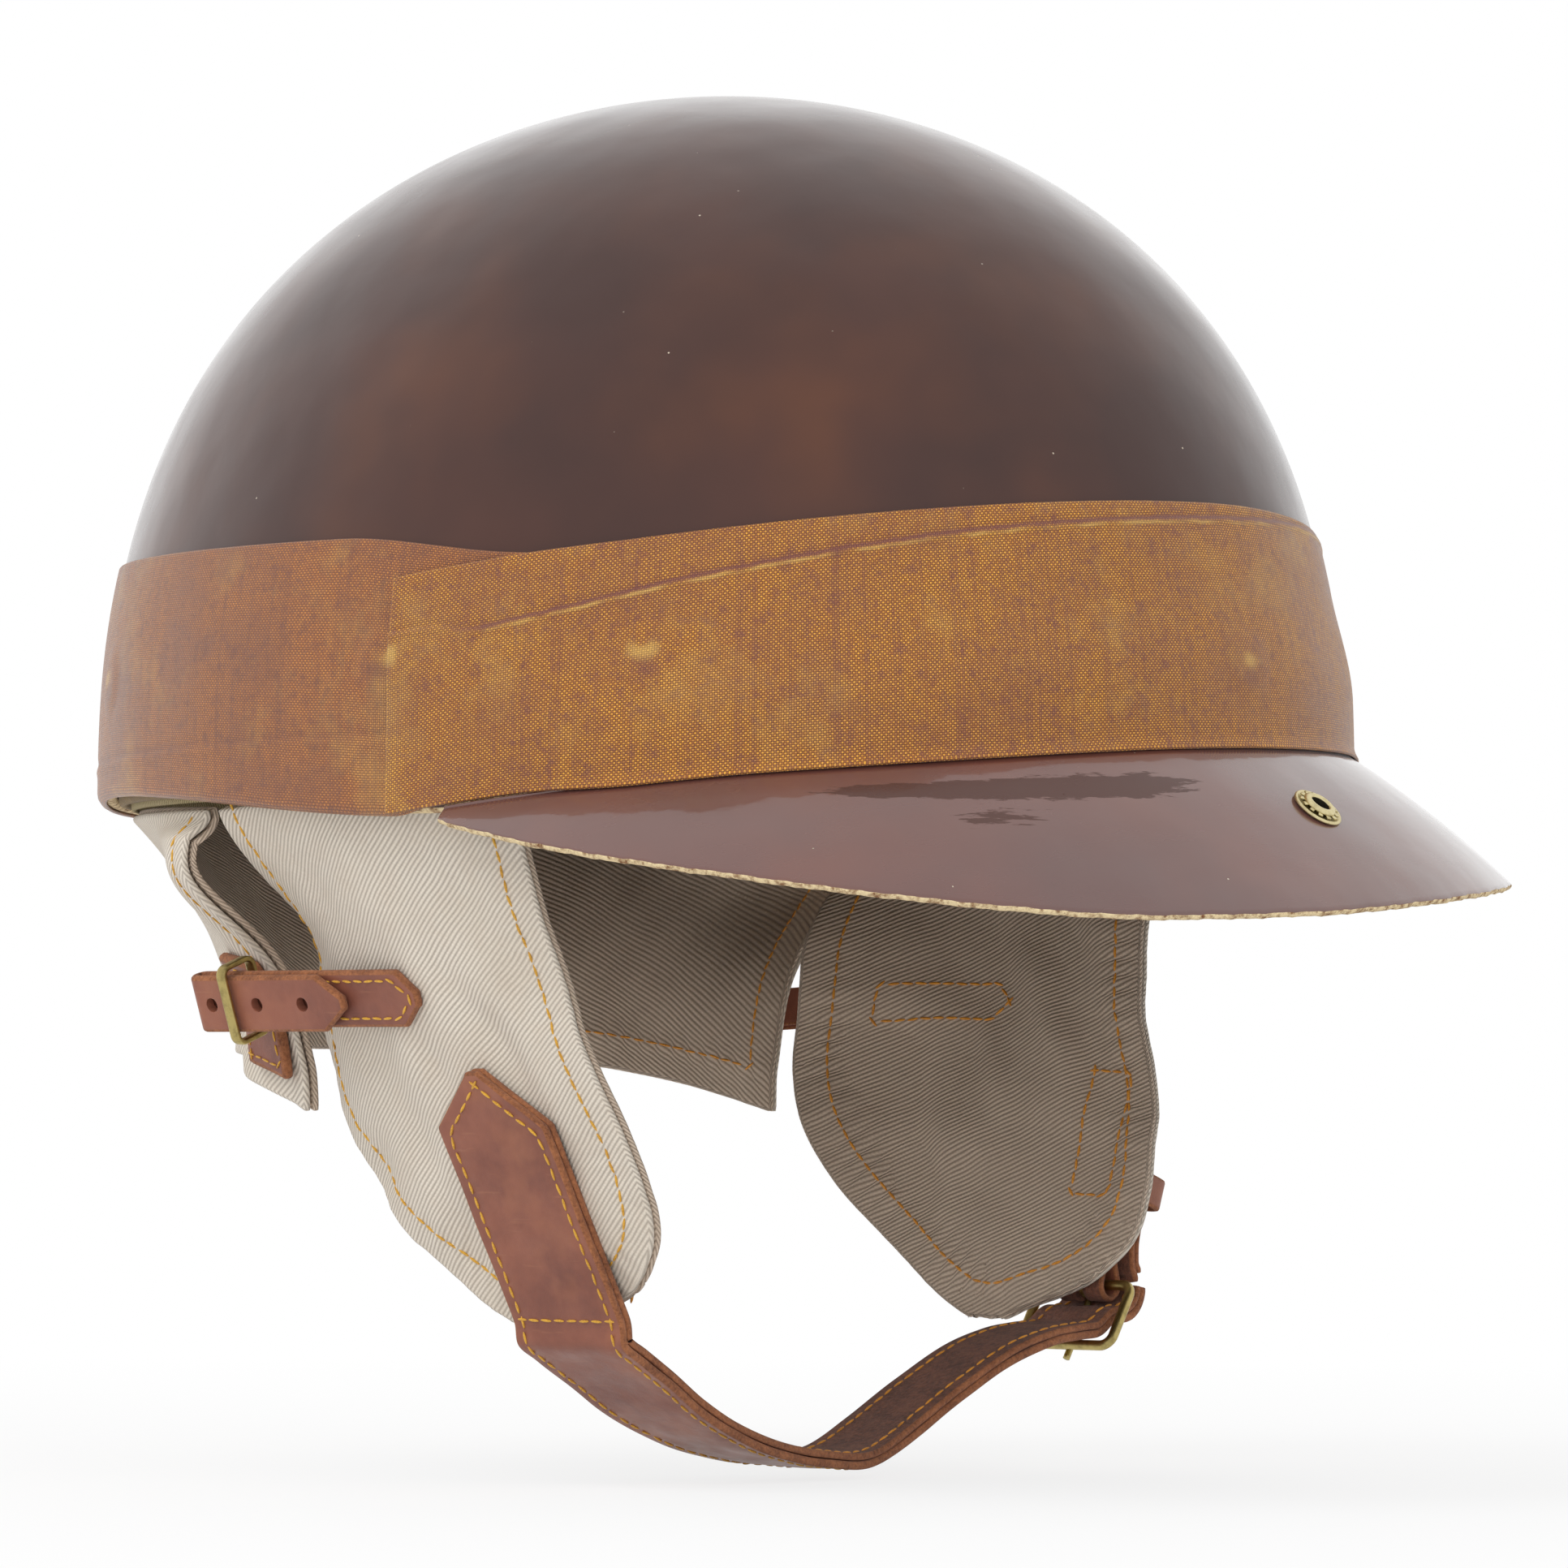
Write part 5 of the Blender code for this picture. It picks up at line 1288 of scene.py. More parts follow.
@dataclass(frozen=True)
class FlapForm:
    """Face and outline of an ear flap, worked out for the wearer's right."""

    depth: float = 0.106
    front: float = 0.0535
    rear: float = 0.044
    top: float = -0.0011
    arch: float = 0.0016
    lean: float = 0.36
    toe: float = 0.017
    row_power: float = 1.4
    cloth: float = 0.0011
    front_shares: tuple[tuple[float, float], ...] = (
        (0, 0.72), (0.12, 0.725), (0.25, 0.75), (0.38, 0.80), (0.5, 0.885), (0.62, 0.965),
        (0.73, 1.0), (0.83, 0.965), (0.91, 0.82), (0.95, 0.665), (0.98, 0.50), (1.0, 0.40))
    rear_shares: tuple[tuple[float, float], ...] = (
        (0, 1.0), (0.12, 0.98), (0.25, 0.95), (0.38, 0.93), (0.5, 0.91), (0.62, 0.81),
        (0.73, 0.62), (0.83, 0.36), (0.91, 0.10), (0.96, -0.09), (0.985, -0.21), (1.0, -0.30))

    def face(self, place: Array, depth: Array) -> Array:
        """Point on the outer face by its place along X and its depth."""
        place, depth = np.asarray(place, float), np.asarray(depth, float)
        flat = ease((depth - 0.010) / 0.050)
        rim = FORM.skirt_half_width * np.sqrt(1 - (place / FORM.skirt_half_length) ** 2)
        toe = (np.maximum(-place, 0.0) / 0.040) ** 1.7 * ease(depth / 0.030)
        width = rim + (FORM.skirt_half_width - rim) * flat - self.lean * depth - self.toe * toe
        return stack(place, -width, self.top - self.arch * (place / self.front) ** 2 - depth)

    def axes(self, place: Array, depth: Array) -> tuple[Array, Array]:
        """The face's normal and its upward direction."""
        step = FORM.clear
        ahead = self.face(place + step, depth) - self.face(place - step, depth)
        rise = self.face(place, depth - step) - self.face(place, depth + step)
        return unit(np.cross(ahead, rise)), unit(rise)

    def off(self, place: Array, depth: Array, distance: Array | float) -> Array:
        """Point at a distance outside the face."""
        away = np.asarray(distance, float)
        return self.face(place, depth) + (away[..., None] if away.ndim else away) * self.axes(place, depth)[0]

    def ends(self, share: Array, inset: float) -> tuple[Array, Array]:
        """Rear and front ends of a row at a share of the depth."""
        front = self.front * read_curve(self.front_shares, share) - inset
        rear = inset - self.rear * read_curve(self.rear_shares, share)
        return rear, front

    def hem(self, inset: float, count: int = 220) -> Array:
        """Line of (place, depth) inside the outline, down the front, round the bottom and up the rear."""
        share = np.linspace(0.0, 1.0, 400)
        rear, front = self.ends(share, 0.0)
        deep = share * self.depth
        edge = np.concatenate((np.stack((front, deep), -1), np.stack((rear, deep), -1)[::-1]))
        aim = unit(np.gradient(edge, axis=0))
        line = edge + inset * np.stack((-aim[:, 1], aim[:, 0]), -1)
        keep = line[:, 1] < self.depth - inset + 1e-4
        return smoothed(evened(line[keep], count)[0], 12)


FLAP = FlapForm()


@dataclass(frozen=True)
class CurtainForm:
    """Face of the neck curtain, from its left end round the back to its right end."""

    end: float = 0.0485
    end_low: float = 0.0465
    depth: float = 0.048
    end_depth: float = 0.062
    low_length: float = 0.112
    low_width: float = 0.084
    flare: float = 0.013
    flare_depth: float = 0.014
    flare_spread: float = 0.0125
    flare_share: float = 0.16
    seam: float = 0.006
    top: float = -0.0021
    round: float = 0.290
    waves: int = 5
    wave: float = 0.0016

    def near_end(self, u: Array) -> Array:
        """One at the ends of the curtain and zero round the back."""
        return 1 - ease(np.minimum(u, 1 - u) / self.flare_share)

    def face(self, u: Array, v: Array) -> Array:
        """Point on the outer face by shares across and up."""
        u, v = np.asarray(u, float), np.asarray(v, float)
        drop = 1 - v
        deep = (self.depth + (self.end_depth - self.depth) * np.abs(2 * u - 1) ** 3) * drop
        shrink = 1 - v * v
        half_x = FORM.skirt_half_length + (self.low_length - FORM.skirt_half_length) * shrink
        half_y = FORM.skirt_half_width + (self.low_width - FORM.skirt_half_width) * shrink
        end = self.end + (self.end_low - self.end) * drop
        first = np.arccos(-end / half_x)
        angle = first + (TURN - 2 * first) * u
        bulge = bell(deep - self.flare_depth, self.flare_spread)
        push = self.flare * self.near_end(u) * bulge * ease(deep / self.seam)
        push = push + self.wave * drop * np.cos(TURN * self.waves * (u - 0.5))
        out = unit(stack(np.cos(angle) / half_x, np.sin(angle) / half_y, 0.0))
        return stack(half_x * np.cos(angle), half_y * np.sin(angle), self.top - deep) + push[..., None] * out


CURTAIN = CurtainForm()


@dataclass(frozen=True)
class BuckleForm:
    """Where the chin buckle's bars are, off the left flap."""

    place: float = 0.0375
    depth: float = 0.0967
    off: float = 0.0046
    drop: float = 0.0126
    span: float = 0.0080
    turn_radius: float = 0.0046

    def seat(self, place: Array, depth: Array, distance: Array | float) -> Array:
        """Point at a distance outside the left flap's face."""
        return flip_y(FLAP.off(place, depth, distance))

    @property
    def heel(self) -> Array:
        """Middle of the heel bar."""
        return self.seat(np.array(self.place), np.array(self.depth), self.off)

    @property
    def front(self) -> Array:
        """Middle of the front bar."""
        return self.heel - np.array((0.0, self.span, self.drop))

    def around(self, radius: float, degrees: float) -> Array:
        """Point round the heel bar by its angle from +Y towards +Z."""
        turn = math.radians(degrees)
        return self.heel + radius * np.array((0.0, math.cos(turn), math.sin(turn)))


BUCKLE = BuckleForm()


def folds(points: Array, seed: int, size: float, depth: float) -> Array:
    """Soft folds of cloth at two scales."""
    return depth * (0.7 * soft_noise(points, size, seed) + 0.3 * soft_noise(points, size / 2.3, seed + 1))


# Sub-assemblies


def labelled(piece: Piece, place: str, slot: str, nodes: Sequence[str]) -> Piece:
    """Hide the CAD nodes a piece stands for, and log its name, place and faces."""
    if nodes:
        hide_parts(*nodes)
    LOG.info("%s on %s: %d faces", piece.name, place, len(piece.data.polygons))
    return piece


def bent(piece: Piece, first: Body, second: Body, line: Sequence[tuple[float, ...]], *nodes: str) -> Piece:
    """Bake a leather piece that runs from one body to another into its mesh, hide the CAD nodes it stands
    for, and log it.
    """
    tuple(line[0])
    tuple(line[1])
    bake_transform(piece)
    return labelled(piece, f"{first.value} to {second.value}", "strap_leather", nodes)


def keep(piece: Piece, body: Body, slot: str, *nodes: str) -> Piece:
    """Tie a piece to its body, hide the CAD nodes it stands for, and log it.

    Args:
        piece: The finished piece.
        body: Body that carries it.
        slot: Record's material slot; not used.
        nodes: CAD nodes it replaces.

    Returns:
        The same piece.
    """
    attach(piece, body.value)
    return labelled(piece, body.value, slot, nodes)


def dome_skin(name: str, low: float, off: float, thickness: float, finishes: Sequence[Material],
              columns: int, rows: int, waved: bool, relief: float = 0.0) -> Piece:
    """A closed cap over the crown with a wall inwards and a rounded rim.

    Args:
        name: Object name.
        low: Height of the rim above the shell's rim.
        off: Offset of the face from the shell's face.
        thickness: Wall.
        finishes: Face, edge and back materials.
        columns: Steps around.
        rows: Steps from rim to crown.
        waved: Whether the rim follows the shell's wave.
        relief: Depth of a quilted surface.

    Returns:
        The cap.
    """
    lean_low = math.asin(min(low / FORM.height, 1.0) ** (FORM.power / 2))
    u, v = np.meshgrid(np.linspace(0, 1, columns + 1), np.linspace(0, 1, rows + 1))
    height = FORM.height * np.sin(lean_low + (math.pi / 2 - lean_low) * v) ** (2 / FORM.power)
    angle = TURN * u
    quilt = relief * np.cos(angle * 6) ** 2 * np.sin(v * math.pi)
    face = FORM.spot(angle, height, off)
    back = FORM.spot(angle, height, off - thickness + quilt)
    if waved:
        wave = (FORM.rim(angle) + 0.0006) * np.maximum(1 - height / 0.0125, 0.0)
        face[..., 2] += wave
        back[..., 2] += wave
    half = (face[0] + back[0]) / 2
    draft = MeshDraft()
    uv = np.stack((u * 0.8, v * 0.25), axis=-1)
    draft.add(face, grid_faces(columns, rows), uv, 0)
    draft.add(back, grid_faces(columns, rows, True), uv, 2)
    size = (columns + 1) * (rows + 1)
    rings = [np.arange(columns + 1)]
    across = (face[0] - back[0]) / 2
    for step in range(1, 6):
        turn = math.pi * step / 6
        ring = half + across * math.cos(turn) - UP * thickness / 2 * 0.7 * math.sin(turn)
        base = draft.add(ring, [], uv[0], 1)
        rings.append(np.arange(base, base + columns + 1))
    rings.append(np.arange(size, size + columns + 1))
    for first, second in zip(rings, rings[1:]):
        for at in range(columns):
            draft.faces.append((int(first[at]), int(second[at]), int(second[at + 1]), int(first[at + 1])))
            draft.slots.append(1)
    return draft.build(name, finishes, weld=4e-6)


@dataclass
class Crown:
    """Shell with its two linen bands."""

    palette: Palette
    band_wall: float = 0.0008
    rear_top: float = 0.0505
    rear_lap_top: float = 0.0462
    rear_roll: float = 0.0012
    rear_start: float = math.radians(70)
    front_height: float = 0.0468
    lap_angle: float = math.radians(83.5)
    peak_wall: float = 0.0016
    hem_roll: float = 0.0021
    foot_rise: float = 0.0007
    foot_drop: float = 0.0013
    step_start: float = 0.0125
    step_span: float = 0.022
    crease: tuple[tuple[float, float], ...] = ((-83, 0.0113), (-79, 0.0116), (-75, 0.0134), (-54, 0.0087),
                                               (-32, 0.0051), (0, 0.0030), (28, 0.0012), (83, 0.0060))

    def build(self) -> None:
        """Build the shell and the bands."""
        skins = self.palette.skins("shell_lacquer", "peak_edge", "inner_varnish")
        shell = dome_skin("lacquered_dome", 0.0, 0.0, FORM.wall, skins, 256, 110, True)
        keep(shell, Body.HELMET, "lacquered_fibre", "shell")
        rear = slab("rear_linen_band", self.rear, SlabPlan(420, 80, self.band_wall, rim_steps=3),
                    [self.palette["rear_linen"]])
        self.brush(rear, False)
        keep(rear, Body.HELMET, "linen", "rear_band")
        front = slab("front_linen_band", self.front, SlabPlan(340, 138, self.band_wall, rim_steps=3),
                     [self.palette["front_linen"]])
        self.brush(front, True)
        keep(front, Body.HELMET, "linen", "front_band")

    def crease_line(self, angle: Array, height: Array) -> Array:
        """Distance of a point below the front band's crease."""
        drop = read_curve(self.crease, np.clip(np.degrees(angle), -83, 83))
        return FORM.root(angle) + self.foot_rise + self.front_height - drop - height

    def brush(self, band: Piece, creased: bool) -> None:
        """Paint worn places with painted highlight, and painted shade, on a band as layers of its mesh.

        Args:
            band: The band.
            creased: Whether it has the long crease.
        """
        spots, angle = spots_of(band.data)
        height = spots[:, 2]
        ragged = soft_noise(spots, 0.0045, 31)
        wear_and_highlight, painted_shade = np.zeros(len(spots)), np.zeros(len(spots))
        for number, degrees in enumerate(FORM.rivet_angles):
            away = angle - math.radians(degrees)
            away = np.arctan2(np.sin(away), np.cos(away)) * MEAN_RADIUS
            skew = 0.0014 * math.sin(number * 2.3)
            # Over each rivet's bump: a worn patch above its middle, partly painted highlight, and painted
            # shadow below it.
            reach = np.hypot((away - skew) / 1.5, height - FORM.rivet_height - 0.0010) + 0.0007 * ragged
            wear_and_highlight += 0.60 * (1 - ease((reach - 0.0004) / 0.0024))
            under = np.hypot((away + skew) / 1.5, height - FORM.rivet_height + 0.0020) + 0.0006 * ragged
            painted_shade += 0.45 * (1 - ease((under - 0.0004) / 0.0026))
        if creased:
            # Along the crease: wear with painted highlight on the ridge, and painted shade in the groove just
            # above it.
            line = self.crease_line(angle, height) + 0.00012 * ragged
            here = ease((np.degrees(angle) + 79) / 6) * np.clip(0.55 + 0.6 * soft_noise(spots, 0.008, 8), 0.1,
                                                                1)
            wear_and_highlight += 0.75 * bell(line - 0.0005, 0.00034) * here
            dark = ease((np.degrees(angle) + 79) / 6) * (1 - 0.55 * ease(np.degrees(angle) / 50))
            painted_shade += 0.95 * bell(line + 0.0004, 0.00045) * dark
        else:
            # Behind the ears: painted shade in the groove of the rear band's crease.
            low = height - (0.0100 + 0.0012 * np.sin(angle * 3.0))
            here = ease((np.abs(np.degrees(angle)) - 84) / 8) * (0.6 + 0.4 * soft_noise(spots, 0.018, 12))
            painted_shade += 0.55 * bell(low, 0.0008) * here
        paint(band.data, "wear_and_highlight", wear_and_highlight)
        paint(band.data, "painted_shade", np.minimum(painted_shade, 0.85))

    def rear(self, u: Array, v: Array) -> Array:
        """Face of the rear band, rolled under the rim behind the ears."""
        turn = self.rear_start + (TURN - 2 * self.rear_start) * u
        angle = np.where(turn <= math.pi, turn, turn - TURN)
        away = np.abs(angle)
        over_peak = FORM.root(angle) + FORM.lean(angle) + 0.0011
        rolled = FORM.rim(angle) - self.rear_roll
        share = ease((away - math.radians(79)) / math.radians(4.5))
        low = over_peak + (rolled - over_peak) * share
        lap = 1 - ease((away - self.rear_start) / (math.pi / 2 - self.rear_start))
        high = self.rear_top + (self.rear_lap_top - self.rear_top) * lap
        up = v * (high - low)
        lean = np.clip(1 - up / self.hem_roll, 0, 1) * math.pi / 2
        height = np.where(up < self.hem_roll, low + self.hem_roll * (1 - np.sin(lean)), low + up)
        height = low + up + (height - low - up) * share
        off = FORM.clear + self.band_wall - self.hem_roll * (1 - np.cos(lean)) * share
        flat = FORM.spot(angle, height)
        line = height - (0.0085 + 0.0012 * np.sin(angle * 3.0))
        crease = 0.00022 * bell(line, 0.0009) - 0.00016 * bell(line - 0.0016, 0.0010)
        off = off + FORM.rivet_swell(angle, height) + 0.00012 * soft_noise(flat, 0.035, 3) + crease * share
        return FORM.spot(angle, height, off)

    def front(self, u: Array, v: Array) -> Array:
        """Face of the front band, over the peak's flange and lapped over the rear band."""
        angle = self.lap_angle * (2 * u - 1)
        over_flange = FORM.clear + self.peak_wall + FORM.clear
        over_band = 2 * FORM.clear + self.band_wall
        share = ease((np.abs(angle) - math.radians(60)) / math.radians(12))
        seat = over_flange + (over_band - over_flange) * share
        low = FORM.root(angle) + FORM.lean(angle) + self.foot_rise - self.foot_drop * (1 - share)
        high = FORM.root(angle) + self.foot_rise + self.front_height
        height = low + (high - low) * v
        flat = FORM.spot(angle, height)
        line = self.crease_line(angle, height)
        step = (self.peak_wall + FORM.clear) * ease((height - low - self.step_start) / self.step_span)
        ridge = 0.00026 * bell(line - 0.0005, 0.0006) - 0.00022 * bell(line + 0.0006, 0.0007)
        foot = np.clip(1 - (height - low) / 0.0030, 0, 1)
        flare = 0.0011 * foot ** 2 * (1 - share)
        off = (seat + self.band_wall - step * (1 - share) + ridge + FORM.rivet_swell(angle, height, 0.0003)
               + flare
               + 0.00012 * soft_noise(flat, 0.035, 9))
        return FORM.spot(angle, height, off)


@dataclass
class Peak:
    """Fibre peak with its eyelet, toothed collar and washer."""

    palette: Palette
    wall: float = 0.0016
    reach: float = 0.050
    half_angle: float = math.radians(78)
    taper_angle: float = math.radians(80)
    slope_root: float = math.radians(36)
    slope_edge: float = math.radians(47)
    flange: float = 0.012
    flange_angle: float = math.radians(66)
    brim_share: float = 2 / 3
    eyelet_share: float = 0.43
    hole: float = 0.0020
    teeth: int = 13
    twists: tuple[tuple[float, float], ...] = (
        (-78, 0.0), (-54, 0.0), (-42, -0.0006), (-30, -0.0017), (-24, -0.0022), (-18, -0.0019), (-6, -0.0006),
        (0, 0.0005), (12, 0.0026), (24, 0.0034), (36, 0.0026), (54, 0.0012), (78, 0.0))

    @property
    def face_off(self) -> float:
        """Offset of the peak's face from the shell's."""
        return FORM.clear + self.wall

    def reach_at(self, angle: Array) -> Array:
        """Length of the brim from its root to its edge."""
        return self.reach * (1 - np.minimum(np.abs(angle) / self.taper_angle, 1) ** 2.2)

    def brim(self, angle: Array, share: Array) -> Array:
        """Point on the brim's top face from its root to its edge."""
        angle, share = np.asarray(angle, float), np.asarray(share, float)
        root = FORM.spot(angle, FORM.root(angle) + FORM.lean(angle), self.face_off)
        twist = read_curve(self.twists, np.clip(np.degrees(angle), -78, 78)) * share
        fray = 0.00010 * (np.sin(angle * 131) + np.sin(angle * 277 + 1) + 0.8 * np.sin(angle * 53 + 2))
        reach = (self.reach_at(angle) + fray * ease(share * 3 - 2)) * share
        slope = self.slope_root + (self.slope_edge - self.slope_root) * share / 2
        fall = reach * np.sin(slope) - twist
        return root + (reach * np.cos(slope))[..., None] * FORM.out(angle) - fall[..., None] * UP

    def face(self, u: Array, v: Array) -> Array:
        """The peak from its edge up the brim and the flange."""
        angle = self.half_angle * (2 * u - 1)
        on_brim = self.brim(angle, 1 - np.clip(v / self.brim_share, 0, 1))
        tall = np.maximum(self.flange * (1 - (angle / self.flange_angle) ** 2), 0.0003)
        rise = np.clip((v - self.brim_share) / (1 - self.brim_share), 0, 1)
        on_flange = FORM.spot(angle, FORM.root(angle) + FORM.lean(angle) + tall * rise, self.face_off)
        return np.where((v <= self.brim_share)[..., None], on_brim, on_flange)

    def reflection_streak(self, board: Piece) -> None:
        """Paint a dark streak near the root as a layer of the mesh: a painted reflection of the band in the
        peak's gloss.

        Args:
            board: The peak.
        """
        spots, angle = spots_of(board.data)
        top = FORM.spot(angle, FORM.root(angle) + FORM.lean(angle), self.face_off)
        share = np.linalg.norm(spots - top, axis=-1) / (self.reach_at(angle) + 1e-4)
        turn = np.degrees(angle)
        aside = turn + 29
        deep = (share - 0.25) / (0.085 + 0.0012 * aside)
        body = np.exp(-(np.abs(aside) / 18.5) ** 4 - deep ** 2)
        flecks = 0.60 * np.exp(-((turn + 32) / 6) ** 2 - ((share - 0.46) / 0.10) ** 2)
        paint(board.data, "painted_reflection", body + flecks)

    def frame(self) -> Matrix:
        """Place and turn of the eyelet."""
        zero = np.array(0.0)
        middle = self.brim(zero, np.array(self.eyelet_share))
        low, high = (self.brim(zero, np.array(self.eyelet_share + step)) for step in (0.05, -0.05))
        rise = high - low
        aim = unit(np.cross(np.array((0.0, 1.0, 0.0)), rise))
        first = unit(rise)
        turn = Matrix((Vector(first), Vector(np.cross(aim, first)), Vector(aim))).transposed().to_4x4()
        return Matrix.Translation(Vector(middle)) @ turn

    def build(self) -> None:
        """Build the peak and its brass."""
        plan = SlabPlan(300, 72, self.wall, rim_steps=6, bulge=0.55, lip=1)
        skins = self.palette.skins("peak_lacquer", "peak_edge", "under_lacquer")
        board = slab("fibre_peak", self.face, plan, skins)
        self.reflection_streak(board)
        frame = self.frame()
        bore(board, [frame], self.hole + 0.0006, 0.012)
        keep(board, Body.HELMET, "peak_fibre", "peak")
        brass = self.palette["eyelet_brass"]
        h = self.hole
        roll = [(h, 0.0014), (h + 0.0003, 0.00175), (h + 0.0008, 0.0018), (h + 0.0013, 0.0015),
                (h + 0.0016, 0.0011),
                (h + 0.0013, 0.0008), (h + 0.0004, 0.0009), (h + 0.0004, -0.0020), (h + 0.0013, -0.0020),
                (h + 0.0014, -0.0023), (h + 0.0009, -0.0026), (h + 0.0002, -0.0025), (h, -0.0022)]
        barrel = lathe("eyelet_barrel", roll, frame, brass, 56)
        # The bore's inner faces get the near-black brass.
        barrel.data.materials.append(self.palette["dark_bore"])
        back = frame.inverted()
        for face in barrel.data.polygons:
            spot = back @ face.center
            face.material_index = int(math.hypot(spot.x, spot.y) < h + 0.0001)
        keep(barrel, Body.HELMET, "brass", "peak_eyelet")
        dish = [(0.0027, 0.0001), (0.0053, 0.0001), (0.00535, 0.0004), (0.0051, 0.00072), (0.0048, 0.0007),
                (0.0046, 0.0004), (0.0027, 0.0003)]
        keep(lathe("eyelet_washer_dish", dish, frame, brass, 56), Body.HELMET, "brass", "peak_eyelet_washer")
        tree = ToothTree(brass)
        keep(tree.ring("eyelet_teeth", frame, self.teeth), Body.HELMET, "brass")


class ToothTree(GeometryTree):
    """Splayed teeth round an eyelet's collar."""

    def __init__(self, finish: Material) -> None:
        """Build the tree for one metal."""
        super().__init__("collar_teeth")
        self.declare(Teeth=12, Radius=0.0037, Length=0.0012, Width=0.0009)
        ring = self.node("GeometryNodeMeshCircle",
                         {"Vertices": self.given("Teeth"), "Radius": self.given("Radius")})
        dots = self.node("GeometryNodeMeshToPoints", {0: ring.outputs[0]}, mode="VERTICES")
        where = self.node("GeometryNodeInputPosition")
        flat = self.node("FunctionNodeAlignRotationToVector", {"Vector": where.outputs[0]}, axis="X")
        size = self.node("ShaderNodeCombineXYZ",
                         {"X": self.given("Length"), "Y": self.given("Width"), "Z": 0.0003})
        block = self.node("GeometryNodeMeshCube", {"Size": (1.0, 1.0, 1.0), "Vertices X": 3, "Vertices Y": 3})
        self.lay(dots, block, flat, size, finish)

    def ring(self, name: str, frame: Matrix, teeth: int) -> Piece:
        """Lay a ring of teeth at a frame.

        Args:
            name: Object name.
            frame: Place and turn of the collar.
            teeth: Number of teeth.

        Returns:
            The teeth as one mesh.
        """
        piece = placed(name, bpy.data.meshes.new(name))
        self.use(piece, Teeth=teeth, Radius=0.00375, Length=0.0013, Width=0.0009)
        piece.data.transform(Matrix.Translation((0, 0, 0.00092)))
        piece.data.transform(frame)
        return piece


def bore(piece: Piece, frames: Sequence[Matrix], radius: float, depth: float) -> None:
    """Cut round holes through a piece.

    Args:
        piece: Piece to cut.
        frames: Place and turn of each hole, with Z along it.
        radius: Radius of the holes.
        depth: Full length of the cutters.
    """
    mesh = bpy.data.meshes.new(piece.name + "_bore")
    with reworked(mesh) as work:
        for frame in frames:
            bmesh.ops.create_cone(work, cap_ends=True, segments=40, radius1=radius, radius2=radius,
                                  depth=depth, matrix=frame)
    tool = placed(mesh.name, mesh)
    cut = piece.modifiers.new("bore", "BOOLEAN")
    cut.operation = "DIFFERENCE"
    cut.solver = "EXACT"
    cut.object = tool
    applied(piece)
    bpy.data.objects.remove(tool, do_unlink=True)


